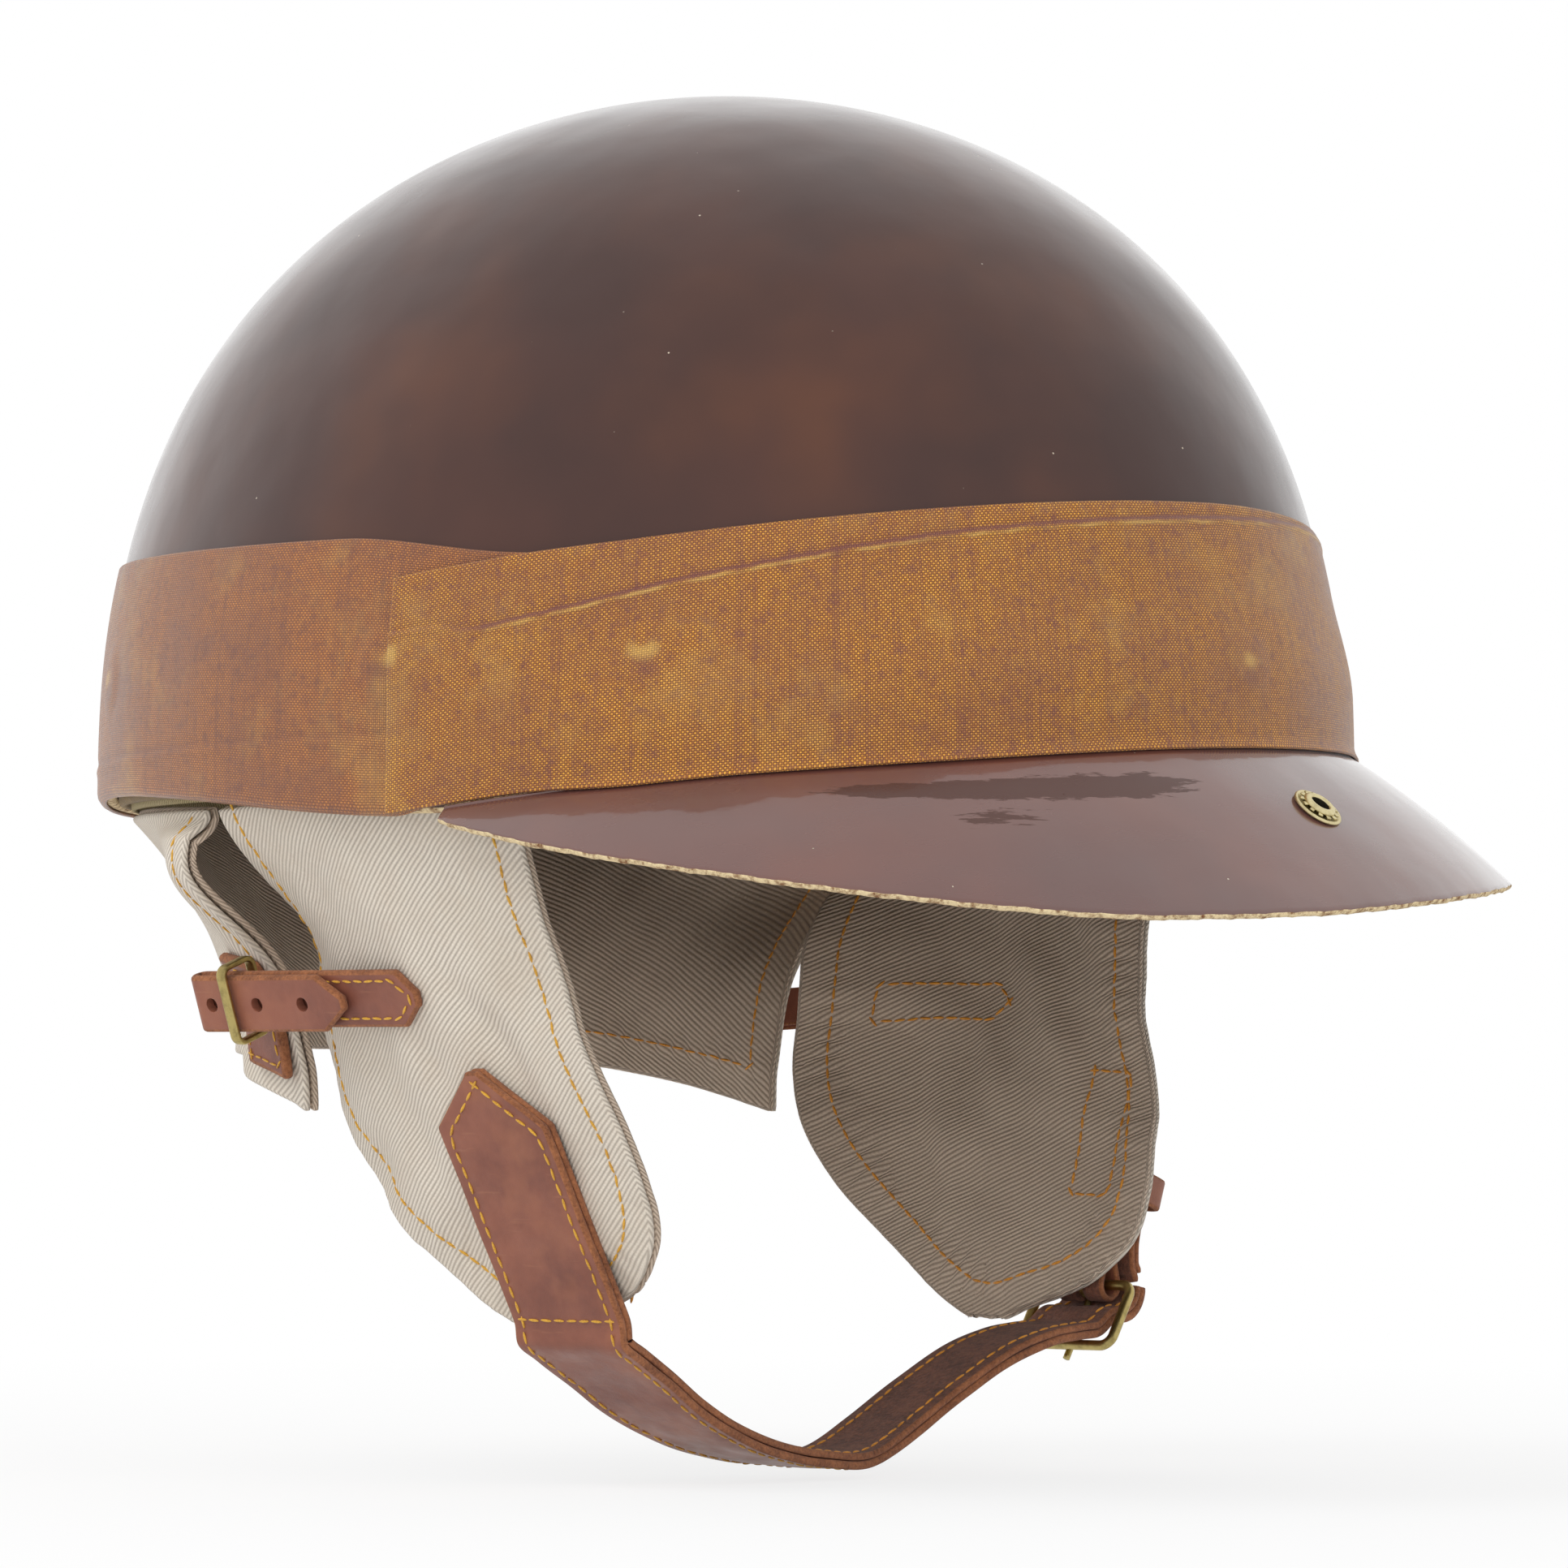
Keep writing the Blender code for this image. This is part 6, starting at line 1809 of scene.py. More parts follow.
@dataclass
class Lining:
    """Felt, cradle, crown pad, headband and its leather inside the shell."""

    palette: Palette
    felt_face: float = 0.0034
    felt_wall: float = 0.0022
    felt_top: float = 0.046
    felt_low: float = 0.0004
    heading_wall: float = 0.0014
    heading_top: float = 0.0145
    heading_low: float = -0.0006
    heading_front: float = math.radians(66)
    pad_drop: float = 0.007
    pad_wall: float = 0.006
    tape_wall: float = 0.0012
    tape_face: float = 0.0064
    tape_width: float = 0.019
    tape_crown_width: float = 0.009
    lace_radius: float = 0.024
    lace_height: float = 0.117
    lace_wire: float = 0.0014
    loop_slack: float = 0.0014
    band_inset: float = 0.0335
    band_low: float = 0.006
    band_top: float = 0.040
    board_wall: float = 0.0018
    leather_wall: float = 0.0012
    leather_lap: float = 0.002
    ruffle: float = 0.00025
    spacer_gap: float = 0.0008
    spacer_angles: tuple[float, ...] = (30.0, 107.0, 155.0, -155.0, -107.0, -30.0)

    def ring(self, inset: float, low: float, high: float, ruffle: float = 0.0) -> Surface:
        """A face all round at an inset from the shell's face."""
        def place(u: Array, v: Array) -> Array:
            angle = TURN * u
            lift = ruffle * (np.sin(angle * 17) + 0.6 * np.sin(angle * 29 + 1)) * np.abs(2 * v - 1) ** 2
            return FORM.spot(angle, low + (high - low) * v, -inset + lift)

        return place

    def build(self) -> None:
        """Build everything inside the shell."""
        felt = slab("rim_felt_lining", self.ring(self.felt_face, self.felt_low, self.felt_top, 0.00012),
                    SlabPlan(260, 22, self.felt_wall, closed=True), [self.palette["rim_felt"]])
        keep(felt, Body.HELMET, "felt", "rim_felt")

        def heading(u: Array, v: Array) -> Array:
            angle = self.heading_front + (TURN - 2 * self.heading_front) * u
            return FORM.spot(angle, self.heading_low + (self.heading_top - self.heading_low) * v,
                             -FORM.skirt_inset)

        tape = slab("skirt_heading_tape", heading, SlabPlan(240, 8, self.heading_wall),
                    [self.palette["webbing"]])
        keep(tape, Body.HELMET, "webbing", "skirt_heading")
        pad = dome_skin("crown_pad_felt", FORM.height - self.pad_drop, -self.felt_face, self.pad_wall,
                        [self.palette["grey_felt"]] * 3, 96, 28, False, 0.0008)
        keep(pad, Body.HELMET, "felt", "crown_pad")
        self.cradle()
        self.headband()

    def cradle(self) -> None:
        """Webbing tapes, the lace that gathers them, and the rivets."""
        for number, degrees in enumerate(FORM.rivet_angles, start=1):
            angle = np.array(math.radians(degrees))
            ribbon = self.tape_ribbon(float(angle))
            tape = slab(f"cradle_webbing_{number}", ribbon.place,
                        SlabPlan(110, 8, self.tape_wall, rim_steps=3), [self.palette["webbing"]])
            keep(tape, Body.HELMET, "webbing", f"cradle_tape_{number}")
            brass = self.palette["antique_brass"]
            deep = self.tape_face + self.tape_wall + FORM.clear
            face = FORM.spot(angle, np.array(FORM.rivet_height))
            frame = aimed(face, unit(FORM.spot(angle, np.array(FORM.rivet_height), 0.001) - face))
            profile = [(0.0, 0.0), (0.0045, -0.0001), (0.0045, -0.0008), (0.0016, -0.0009), (0.0016, -deep),
                       (0.0038, -deep), (0.0040, -deep - 0.0004), (0.0036, -deep - 0.0009),
                       (0.0022, -deep - 0.0012), (0.0012, -deep - 0.0009), (0.0, -deep - 0.0008)]
            rivet = lathe(f"brass_rivet_{number}", profile, frame, brass, 32)
            keep(rivet, Body.HELMET, "brass", f"harness_rivet_{number}")
        steps = 420
        turn = np.arange(steps) / steps * TURN
        strands = []
        for strand in range(3):
            twist = turn * 26 + strand * TURN / 3
            radius = self.lace_radius + 0.00072 * np.cos(twist)
            path = stack(radius * np.cos(turn), radius * np.sin(turn),
                         self.lace_height + 0.00072 * np.sin(twist))
            strands.append(wire(f"lace_strand_{strand}", path, WirePlan(0.00078, 0.00078, 8),
                                self.palette["lace_cord"], UP))
        lace = joined("crown_lace_cord", strands)
        keep(lace, Body.HELMET, "webbing", "crown_lace")

    def tape_ribbon(self, angle: float) -> Ribbon:
        """One tape from its foot on the wall to its loop round the lace."""
        spot = np.array(angle)
        heights = np.array((0.017, FORM.rivet_height, 0.036))
        points = [FORM.spot(spot, height, -self.tape_face) for height in heights]
        radial = unit(points[-1] * np.array((1.0, 1.0, 0.0)))
        lace = radial * self.lace_radius + UP * self.lace_height
        radius = self.lace_wire + self.loop_slack + self.tape_wall
        leave = points[-1]
        slope = math.atan2(self.lace_height - leave[2], float((leave - lace) @ radial))
        first = math.pi / 2 - slope
        loop = [lace + radius * (math.cos(beta) * radial + math.sin(beta) * UP)
                for beta in (first + math.radians(235) * step / 18 for step in range(19))]
        span = loop[0] - leave
        bow = 2 * self.tape_wall
        middle = [leave + span * share + UP * bow * math.sin(math.pi * share) for share in (0.15, 0.4, 0.7)]
        route = np.array(points + middle + loop)
        side = unit(np.array((0.2774 * math.sin(angle), -0.2316 * math.cos(angle), 0.0)))
        lengths = run_of(route)
        widths = self.tape_width + (self.tape_crown_width - self.tape_width) * ease(lengths / lengths[-20])
        return ribbon_from(route, widths, side, 260)

    def headband(self) -> None:
        """Stiffened headband, its leather facing with stitches, and the felt spacers."""
        board = slab("headband_board", self.ring(self.band_inset, self.band_low, self.band_top),
                     SlabPlan(220, 8, self.board_wall, closed=True), [self.palette["fibreboard"]])
        keep(board, Body.HELMET, "sweat_leather", "headband")
        inside = self.band_inset + self.board_wall + FORM.clear
        face, inner = (self.ring(inside + deep, self.band_low - self.leather_lap,
                                 self.band_top + self.leather_lap,
                                 self.ruffle) for deep in (0.0, self.leather_wall))
        leather = slab("sweatband_leather", face, SlabPlan(360, 20, self.leather_wall, closed=True),
                       [self.palette["sweat_leather"], self.palette["leather_edge"]])
        keep(leather, Body.HELMET, "sweat_leather", "sweatband")
        rows = [on_surface(inner, np.linspace(0, 1, 500), np.full(500, share), -0.00012)
                for share in (0.10, 0.90)]
        stitches = self.palette.sew("gold_thread", "sweatband_stitches", rows, StitchPlan(0.0042), 5)
        keep(stitches, Body.HELMET, "sweat_leather")
        low = self.felt_face + self.felt_wall + self.spacer_gap
        high = self.band_inset - self.spacer_gap
        for number, degrees in enumerate(self.spacer_angles, start=1):
            middle = math.radians(degrees)
            block = spacer_block(f"felt_spacer_{number}", middle, low, high, self.palette["grey_felt"])
            keep(block, Body.HELMET, "felt", f"spacer_pad_{number}")


def spacer_block(name: str, middle: float, near: float, far: float, finish: Material) -> Piece:
    """A felt block between the headband and the shell, soft at its corners.

    Args:
        name: Object name.
        middle: Angle of its middle.
        near: Depth of its outer side below the shell's face.
        far: Depth of its inner side.
        finish: Felt.

    Returns:
        The block.
    """
    mesh = bpy.data.meshes.new(name)
    with reworked(mesh) as work:
        bmesh.ops.create_cube(work, size=2.0)
        bmesh.ops.subdivide_edges(work, edges=work.edges, cuts=11, use_grid_fill=True)
        for vertex in work.verts:
            point = np.array(vertex.co)
            shrink = 1 - 0.07 * np.sum(np.sort(np.abs(point))[:2] ** 4)
            soft = point * (0.93 + 0.07 * shrink)
            rounded = soft / max(1.0, np.linalg.norm(soft ** 3) ** (1 / 3) / 1.08)
            angle = np.array(middle + math.radians(4.5) * rounded[1])
            height = np.array(0.026 + 0.010 * rounded[2])
            depth = near + (far - near) * (1 - rounded[0]) / 2
            vertex.co = FORM.spot(angle, height, -depth)
        bmesh.ops.recalc_face_normals(work, faces=work.faces)
    mesh.shade_smooth()
    mesh.materials.append(finish)
    return placed(name, mesh)


def joined(name: str, pieces: Sequence[Piece]) -> Piece:
    """Join meshes at the origin into one object."""
    mesh = bpy.data.meshes.new(name)
    with reworked(mesh) as work:
        for piece in pieces:
            work.from_mesh(piece.data)
    for material in pieces[0].data.materials:
        mesh.materials.append(material)
    for piece in pieces:
        bpy.data.objects.remove(piece, do_unlink=True)
    return placed(name, mesh)


@dataclass
class EarFlap:
    """One ear flap: outer cloth, lining and their stitching."""

    palette: Palette
    side: Side
    hem_inset: float = 0.0060
    fold_size: float = 0.030
    fold_depth: float = 0.0013
    pucker_pitch: float = 0.0046
    wall: float = 0.00130
    behind: float = 0.00160
    step: float = -0.0003
    creases: tuple[tuple[tuple[float, float], float, float, float, float], ...] = (
        ((0.020, 0.046), 0.62, 0.016, 0.0040, 0.0017), ((0.004, 0.052), 0.50, 0.014, 0.0034, 0.0013),
        ((-0.004, 0.070), 0.35, 0.018, 0.0042, 0.0016), ((0.030, 0.030), 0.45, 0.014, 0.0045, 0.0010))

    def __post_init__(self) -> None:
        """Lay out the hem line."""
        self.hem = FLAP.hem(self.hem_inset)
        self.run = run_of(self.hem)
        self.aims = unit(np.gradient(self.hem, axis=0))

    def relief(self, place: Array, depth: Array) -> Array:
        """How far the cloth stands off its smooth face: soft folds and the puckers of the seam."""
        flat = stack(place, depth, 0.0 if self.side is Side.RIGHT else 0.3)
        soft = folds(flat, 11 if self.side is Side.RIGHT else 23, self.fold_size, self.fold_depth)
        for middle, lean, length, width, deep in self.creases:
            across, down = place - middle[0], depth - middle[1]
            along = across * math.sin(lean) + down * math.cos(lean)
            aside = across * math.cos(lean) - down * math.sin(lean)
            soft = soft - deep * np.exp(-(along / length) ** 2 - (aside / width) ** 2)
        near = self.hem[None, ...]
        shape = flat[..., :2].reshape(-1, 1, 2)
        away = np.linalg.norm(shape - near, axis=-1)
        closest = away.argmin(axis=1)
        past = ((shape[:, 0] - self.hem[closest]) * self.aims[closest]).sum(axis=1)
        reach = np.sqrt(np.maximum(away.min(axis=1) ** 2 - past ** 2, 0)).reshape(place.shape)
        along = (self.run[closest] + past).reshape(place.shape)
        seam = bell(reach, 0.0020)
        ripple = bell(reach, 0.0055)
        wave = np.sin(TURN * along / self.pucker_pitch + 2.0 * np.sin(along * 190))
        calm = ease(depth / 0.012)
        total = soft - 0.00028 * seam + 0.00016 * ripple * wave
        total = np.minimum(total, 0.00025 + 0.3 * np.maximum(total - 0.00025, 0))
        return total * calm

    def sheet(self, inset: float, back: float) -> Surface:
        """The flap's sheet at a distance behind its face."""
        def place(u: Array, v: Array) -> Array:
            share = 1 - np.clip(v, 0, 1) ** FLAP.row_power
            rear, front = FLAP.ends(share, inset)
            across = rear + (front - rear) * u
            depth = share * (FLAP.depth - inset)
            return FLAP.off(across, depth, self.relief(across, depth) - back)

        return place

    def uv_of(self, inset: float) -> Callable[[Array, Array], Array]:
        """UV in metres: place along X and height."""
        def uv(u: Array, v: Array) -> Array:
            share = 1 - np.clip(v, 0, 1) ** FLAP.row_power
            rear, front = FLAP.ends(share, inset)
            across = u if self.side is Side.RIGHT else 1 - u
            return np.stack((rear + (front - rear) * across, -share * (FLAP.depth - inset) * 1.06), axis=-1)

        return uv

    def cloth(self, name: str, inset: float, back: float, finish: str, node: str, thickness: float) -> Piece:
        """One layer of the flap as a sheet.

        Args:
            name: Object name.
            inset: How far the outline is drawn in.
            back: Distance of its face behind the flap's.
            finish: Its material.
            node: CAD node it stands for.
            thickness: Cloth thickness.

        Returns:
            The layer.
        """
        sheet = self.side.surface(self.sheet(inset, back))
        plan = SlabPlan(130, 150, thickness, rim_steps=4)
        piece = slab(name, sheet, plan, [self.palette[finish]], self.uv_of(inset))
        keep(piece, self.side.body, "twill", node)
        hang(sheet)
        return piece

    def build(self) -> None:
        """Build both layers and the topstitching on both faces."""
        side = self.side.value
        self.cloth(f"flap_cloth_{side}", 0.0, 0.0, "twill", f"ear_flap_{side}", self.wall)
        self.cloth(f"flap_lining_{side}", self.step, self.behind, "twill_lining", f"ear_flap_{side}_lining",
                   self.wall)
        outer = self.route(self.hem, THREAD_LIFT)
        under = -(self.behind + self.wall)
        inner = self.route(self.hem, under - THREAD_LIFT)
        seed = 3 if self.side is Side.RIGHT else 7
        thread = self.palette.sew("gold_thread", f"flap_topstitch_{side}", [outer],
                                  StitchPlan(0.0030, 0.90, 0.00030), seed)
        keep(thread, self.side.body, "twill")
        rows = [inner] + [self.route(line, under - 0.0001) for line in self.sewn_outlines()]
        thread = self.palette.sew("inner_thread", f"flap_inner_stitch_{side}", rows,
                                  StitchPlan(0.0030, 0.90, 0.00032), seed + 1)
        keep(thread, self.side.body, "twill")

    def sewn_outlines(self) -> list[Array]:
        """Stitching of the tabs, as it comes through the lining."""
        tab = np.array([(0.0045, 0.0392), (0.0008, 0.0353), (-0.027, 0.0353), (-0.027, 0.0431),
                        (0.0008, 0.0431), (0.0045, 0.0392)])
        if self.side is Side.LEFT:
            other = np.array([(0.0325, 0.0535), (0.0428, 0.0535), (0.0436, 0.0800), (0.0333, 0.0800),
                              (0.0325, 0.0535)])
        else:
            other = np.array([(0.0175, 0.0575), (0.0315, 0.0665), (0.0395, 0.1005), (0.0160, 0.1005),
                              (0.0075, 0.0670), (0.0175, 0.0575)])
        return [filled(tab), filled(other)]

    def route(self, line: Array, lift: float) -> Array:
        """Points of a (place, depth) line at a lift off the cloth's face."""
        relief = self.relief(line[:, 0], line[:, 1])
        return self.side.turned(FLAP.off(line[:, 0], line[:, 1], relief + lift))


def filled(line: Array, step: float = 0.0012) -> Array:
    """Put more points on a broken line."""
    rows = []
    for start, end in zip(line[:-1], line[1:]):
        count = max(int(np.linalg.norm(end - start) / step), 1)
        share = np.arange(count)[:, None] / count
        rows.append(start + (end - start) * share)
    rows.append(line[-1:])
    return np.concatenate(rows)


def hang(sheet: Surface) -> None:
    """Measure the flat size of a cloth as it was cut; nothing is done with it."""
    u, v = np.meshgrid(np.linspace(0, 1, 90), np.linspace(0, 1, 90))
    spots = sheet(u, v)
    across, rise = np.diff(spots, axis=1)[:-1], np.diff(spots, axis=0)[:, :-1]
    wide = float(np.linalg.norm(np.diff(spots, axis=1), axis=-1).sum(axis=1).max())
    tall = float(np.linalg.norm(np.diff(spots[:, 45], axis=0), axis=-1).sum())


@dataclass
class NeckCurtain:
    """Neck curtain of two layers with its hem stitching."""

    palette: Palette
    hem: float = 0.0065
    wall: float = 0.00140
    behind: float = 0.00165

    def relief(self, u: Array, v: Array) -> Array:
        """Folds of the hanging cloth and the seam's groove."""
        flat = stack(u * CURTAIN.round, v * CURTAIN.depth, 0.0)
        soft = folds(flat, 41, 0.030, 0.0007)
        seam = bell((v * CURTAIN.depth) - self.hem, 0.0020)
        ends = np.minimum(u, 1 - u) * CURTAIN.round - self.hem
        side = bell(ends, 0.0020)
        wave = np.sin(TURN * u * CURTAIN.round / 0.0048)
        calm = ease((1 - v) / 0.2)
        return (soft - 0.00025 * np.maximum(seam, side) + 0.00014 * seam * wave) * calm

    def sheet(self, lining: bool) -> Surface:
        """Face of one layer."""
        def place(u: Array, v: Array) -> Array:
            back = (self.behind + 0.0003 * CURTAIN.near_end(u)) if lining else 0.0
            away = self.relief(u, v) - back
            return CURTAIN.face(u, v) + away[..., None] * normal_of(CURTAIN.face, u, v)

        return place

    def build(self) -> None:
        """Build both layers and the stitching."""
        for name, lining, node in (("curtain_cloth", False, "neck_curtain"),
                                   ("curtain_lining", True, "neck_curtain_lining")):
            sheet = self.sheet(lining)
            finish = self.palette["twill_lining" if lining else "twill"]
            piece = slab(name, sheet, SlabPlan(460, 90, self.wall), [finish])
            keep(piece, Body.HELMET, "twill", node)
            hang(sheet)
        side = self.hem / CURTAIN.round
        low = self.hem / CURTAIN.depth
        us, vs = polyline([(side, 0.97), (side, low), (1 - side, low), (1 - side, 0.97)], 0.006)
        outer = on_surface(self.sheet(False), us, vs, THREAD_LIFT)
        inner = on_surface(self.sheet(True), us, vs, -self.wall - THREAD_LIFT)
        plan = StitchPlan(0.0030, 0.90, 0.00026)
        thread = self.palette.sew("gold_thread", "curtain_topstitch", [outer], plan, 13)
        keep(thread, Body.HELMET, "twill")
        thread = self.palette.sew("inner_thread", "curtain_inner_stitch", [inner], plan, 17)
        keep(thread, Body.HELMET, "twill")


def rounded_loop(middle: Array, first: Array, second: Array, halves: tuple[float, float],
                 corner: float) -> Array:
    """Middle line of a rectangular frame with rounded corners.

    Args:
        middle: Middle of the frame.
        first: Direction of the first half length.
        second: Direction of the second half length.
        halves: Half lengths.
        corner: Radius of the corners.

    Returns:
        Closed line of points.
    """
    signs = ((1, 1), (-1, 1), (-1, -1), (1, -1))
    rows = []
    for quarter, (across, up) in enumerate(signs):
        turn = math.pi / 2 * (quarter + np.linspace(0, 1, 9))
        along = across * (halves[0] - corner) + corner * np.cos(turn)
        rise = up * (halves[1] - corner) + corner * np.sin(turn)
        arc = middle + along[:, None] * first + rise[:, None] * second
        after = signs[(quarter + 1) % 4]
        away = middle + (after[0] * (halves[0] - corner) + corner * np.cos(turn[-1])) * first + (
            after[1] * (halves[1] - corner) + corner * np.sin(turn[-1])) * second
        share = np.linspace(0, 1, 8)[1:-1, None]
        rows.append(arc)
        rows.append(arc[-1] + (away - arc[-1]) * share)
    return np.concatenate(rows)


def strip_rows(ribbon: Ribbon, inset: float, start: float, end: float) -> list[Array]:
    """Two lines of (along, across) shares at an inset from a strip's edges."""
    rows = []
    us = np.linspace(start, end, 400)
    wide = ribbon.wide_at(us)
    for side in (-1, 1):
        rows.append(np.stack((us, 0.5 + side * (0.5 - inset / wide)), axis=-1))
    return rows


@dataclass
class ChinStrap:
    """Chin strap of two plies with its house end, buckle, chape, end and keeper."""

    palette: Palette
    anchor_width: float = 0.030
    end_width: float = 0.0201
    apex: float = 0.053
    shoulder: float = 0.064
    foot: float = 0.1026
    apex_place: float = 0.0175
    apex_width: float = 0.0006
    foot_place: float = 0.028
    seat: float = 0.0038
    lift: float = 0.0007
    low: float = 0.1365
    ply: float = 0.0015
    ply_step: float = 0.0019
    outer_wall: float = 0.00175
    taper: float = 0.6
    stitch_inset: float = 0.0032
    bar: float = 0.0011
    half_width: float = 0.0122
    prong: float = 0.00075
    eye: float = 0.0022
    overhang: float = 0.0022
    chape_wall: float = 0.0014
    chape_width: float = 0.013
    chape_top: float = 0.050
    chape_outer_top: float = 0.068
    slack: float = 0.0011
    tail_width: float = 0.019
    tail_top: float = 0.066
    tail_wall: float = 0.0030
    keeper_wall: float = 0.0013
    keeper_depth: float = 0.076
    blend_start: tuple[float, float, float] = (0.028, -0.0785, -0.1026)
    blend_end: tuple[float, float, float] = (0.028, -0.074, -0.113)
    drop_shares: tuple[tuple[float, float], ...] = (
        (0.919, 0.245), (0.814, 0.40), (0.695, 0.59), (0.551, 0.764), (0.367, 0.905),
        (0.157, 0.984), (-0.052, 0.997), (-0.249, 0.80), (-0.433, 0.54), (-0.604, 0.311),
        (-0.748, 0.205), (-0.86, 0.172), (-0.94, 0.156))

    def route(self) -> Ribbon:
        """Face of the strap from the house's apex to the far side of the heel bar."""
        deep = np.linspace(self.apex, self.foot, 60)
        share = (deep - self.apex) / (self.foot - self.apex)
        anchor = FLAP.off(self.apex_place + (self.foot_place - self.apex_place) * share, deep, self.seat)
        place = np.array(self.foot_place)
        start = FLAP.off(place, np.array(self.foot + 0.0008), self.seat)
        below = FLAP.off(place, np.array(self.foot + 0.0048), self.seat + self.lift)
        fall = self.low + start[2]
        coarse = [start, below]
        coarse += [np.array((start[0], side * start[1], start[2] - drop * fall))
                   for side, drop in self.drop_shares]
        radius = BUCKLE.turn_radius + 2 * self.ply + FORM.clear
        coarse += [BUCKLE.around(radius, degrees) for degrees in (-105, -84, -62, -40, -20, -2)]
        strap = smooth_route(np.array(coarse), 340)
        along = np.linspace(0, 1, len(strap))
        sway = 0.35 * ease(along / 0.35) + 0.65 * ease((along - 0.55) / 0.27)
        strap[:, 0] = self.foot_place + (BUCKLE.place - self.foot_place) * sway
        line = np.concatenate((anchor[:-1], strap))
        lengths = run_of(line)
        foot_length = lengths[len(anchor) - 1]
        shoulder = foot_length * (self.shoulder - self.apex) / (self.foot - self.apex)
        run, fine = evened(line, 520)
        run = smoothed(run, 3)
        taper = ease((fine - foot_length) / (lengths[-1] - foot_length) / self.taper)
        wide = self.anchor_width + (self.end_width - self.anchor_width) * taper
        house = np.clip(fine / shoulder, 0, 1)
        wide = np.where(fine < shoulder, self.apex_width + (self.anchor_width - self.apex_width) * house,
                        wide)
        self.foot_share = foot_length / lengths[-1]
        self.shoulder_length = shoulder
        return Ribbon(run, wide, AHEAD)

    def relief(self, ribbon: Ribbon, depth: float) -> Surface:
        """The strap's face with the seam's grooves, a cushioned edge and slow waves."""
        def place(u: Array, v: Array) -> Array:
            wide = ribbon.wide_at(u)
            edge = (0.5 - np.abs(v - 0.5)) * wide
            groove = bell(edge - self.stitch_inset, 0.0011)
            flat = stack(u * ribbon.length, v * wide, 0.0)
            wave = 0.00010 * soft_noise(flat, 0.017, 5)
            deep = depth * groove * ease(u * ribbon.length / 0.014)
            spots = ribbon.place(u, v)
            return spots + (wave - deep)[..., None] * normal_of(ribbon.place, u, v)

        return place

    def cross(self, piece: Piece, *nodes: str) -> None:
        """Bake a piece that runs from the flap to the strap, hide the CAD nodes it stands for, and log it."""
        bent(piece, Body.RIGHT, Body.STRAP, (self.blend_start, self.blend_end), *nodes)

    def build(self) -> None:
        """Build the strap and everything at its buckle."""
        ribbon = self.route()
        skins = self.palette.skins("strap_leather", "leather_edge", "leather_suede")
        face = self.relief(ribbon, 0.00022)
        plan = SlabPlan(560, 26, self.outer_wall, rim_steps=6, bulge=0.7)
        outer = slab("chin_strap_upper_ply", face, plan, skins)
        self.drill(outer)
        inner_face = offset(ribbon.place, -self.ply_step)
        inner = slab("chin_strap_lower_ply", inner_face, SlabPlan(560, 22, self.ply, rim_steps=6, bulge=0.7),
                     skins)
        self.drill(inner)
        self.cross(outer, "chin_strap_anchor", "chin_strap_outer")
        self.cross(inner, "chin_strap_inner")
        self.sew(ribbon, face, inner_face)
        self.buckle()
        self.chape()
        self.tail()

    def sew(self, ribbon: Ribbon, face: Surface, inner_face: Surface) -> None:
        """Stitches along both edges, round the house end and across its foot."""
        length = ribbon.length
        run_on = (self.shoulder_length + 0.0015) / length
        edges = strip_rows(ribbon, self.stitch_inset, run_on, 0.985)
        apex = np.array([[0.0029 / length, 0.5]])
        lines = []
        for row in edges:
            bend = np.concatenate((apex, row[:1]))
            share = np.linspace(0, 1, 30)[:-1, None]
            joint = bend[0] + (bend[1] - bend[0]) * share
            wide = ribbon.wide_at(joint[:, 0])
            reach = (row[0, 1] - 0.5) * ribbon.widths[int(run_on * len(ribbon.widths))]
            joint[:, 1] = 0.5 + share[:, 0] * reach / wide
            lines.append(np.concatenate((joint, row)))
        foot = self.foot_share - 0.0012 / length
        cross = np.stack((np.full(40, foot), np.linspace(0.5 - 0.39, 0.5 + 0.39, 40)), axis=-1)
        routes = [on_surface(face, line[:, 0], line[:, 1], 0.00010) for line in lines + [cross]]
        plan = StitchPlan(0.0032, 0.84, 0.00030, 0.12)
        thread = self.palette.sew("gold_thread", "chin_strap_stitches", routes, plan, 21)
        self.cross(thread)
        under = [on_surface(inner_face, row[20:, 0], row[20:, 1], -self.ply - 0.00006) for row in edges]
        thread = self.palette.sew("inner_thread", "chin_strap_under_stitches", under, plan, 22)
        self.cross(thread)

    def prong_line(self) -> tuple[Array, Array, float]:
        """Start, direction and length of the prong's straight part."""
        gap = BUCKLE.front - BUCKLE.heel
        reach = float(np.linalg.norm(gap))
        aim = gap / reach
        return BUCKLE.heel + self.eye * np.array((0.0, -aim[2], aim[1])), aim, reach

    def drill(self, piece: Piece) -> None:
        """Bore the prong's hole through a ply."""
        start, aim, reach = self.prong_line()
        frame = aimed(start + aim * (reach + FORM.clear) / 2, aim, "X")
        bore(piece, [frame], 0.0018, reach - FORM.clear)

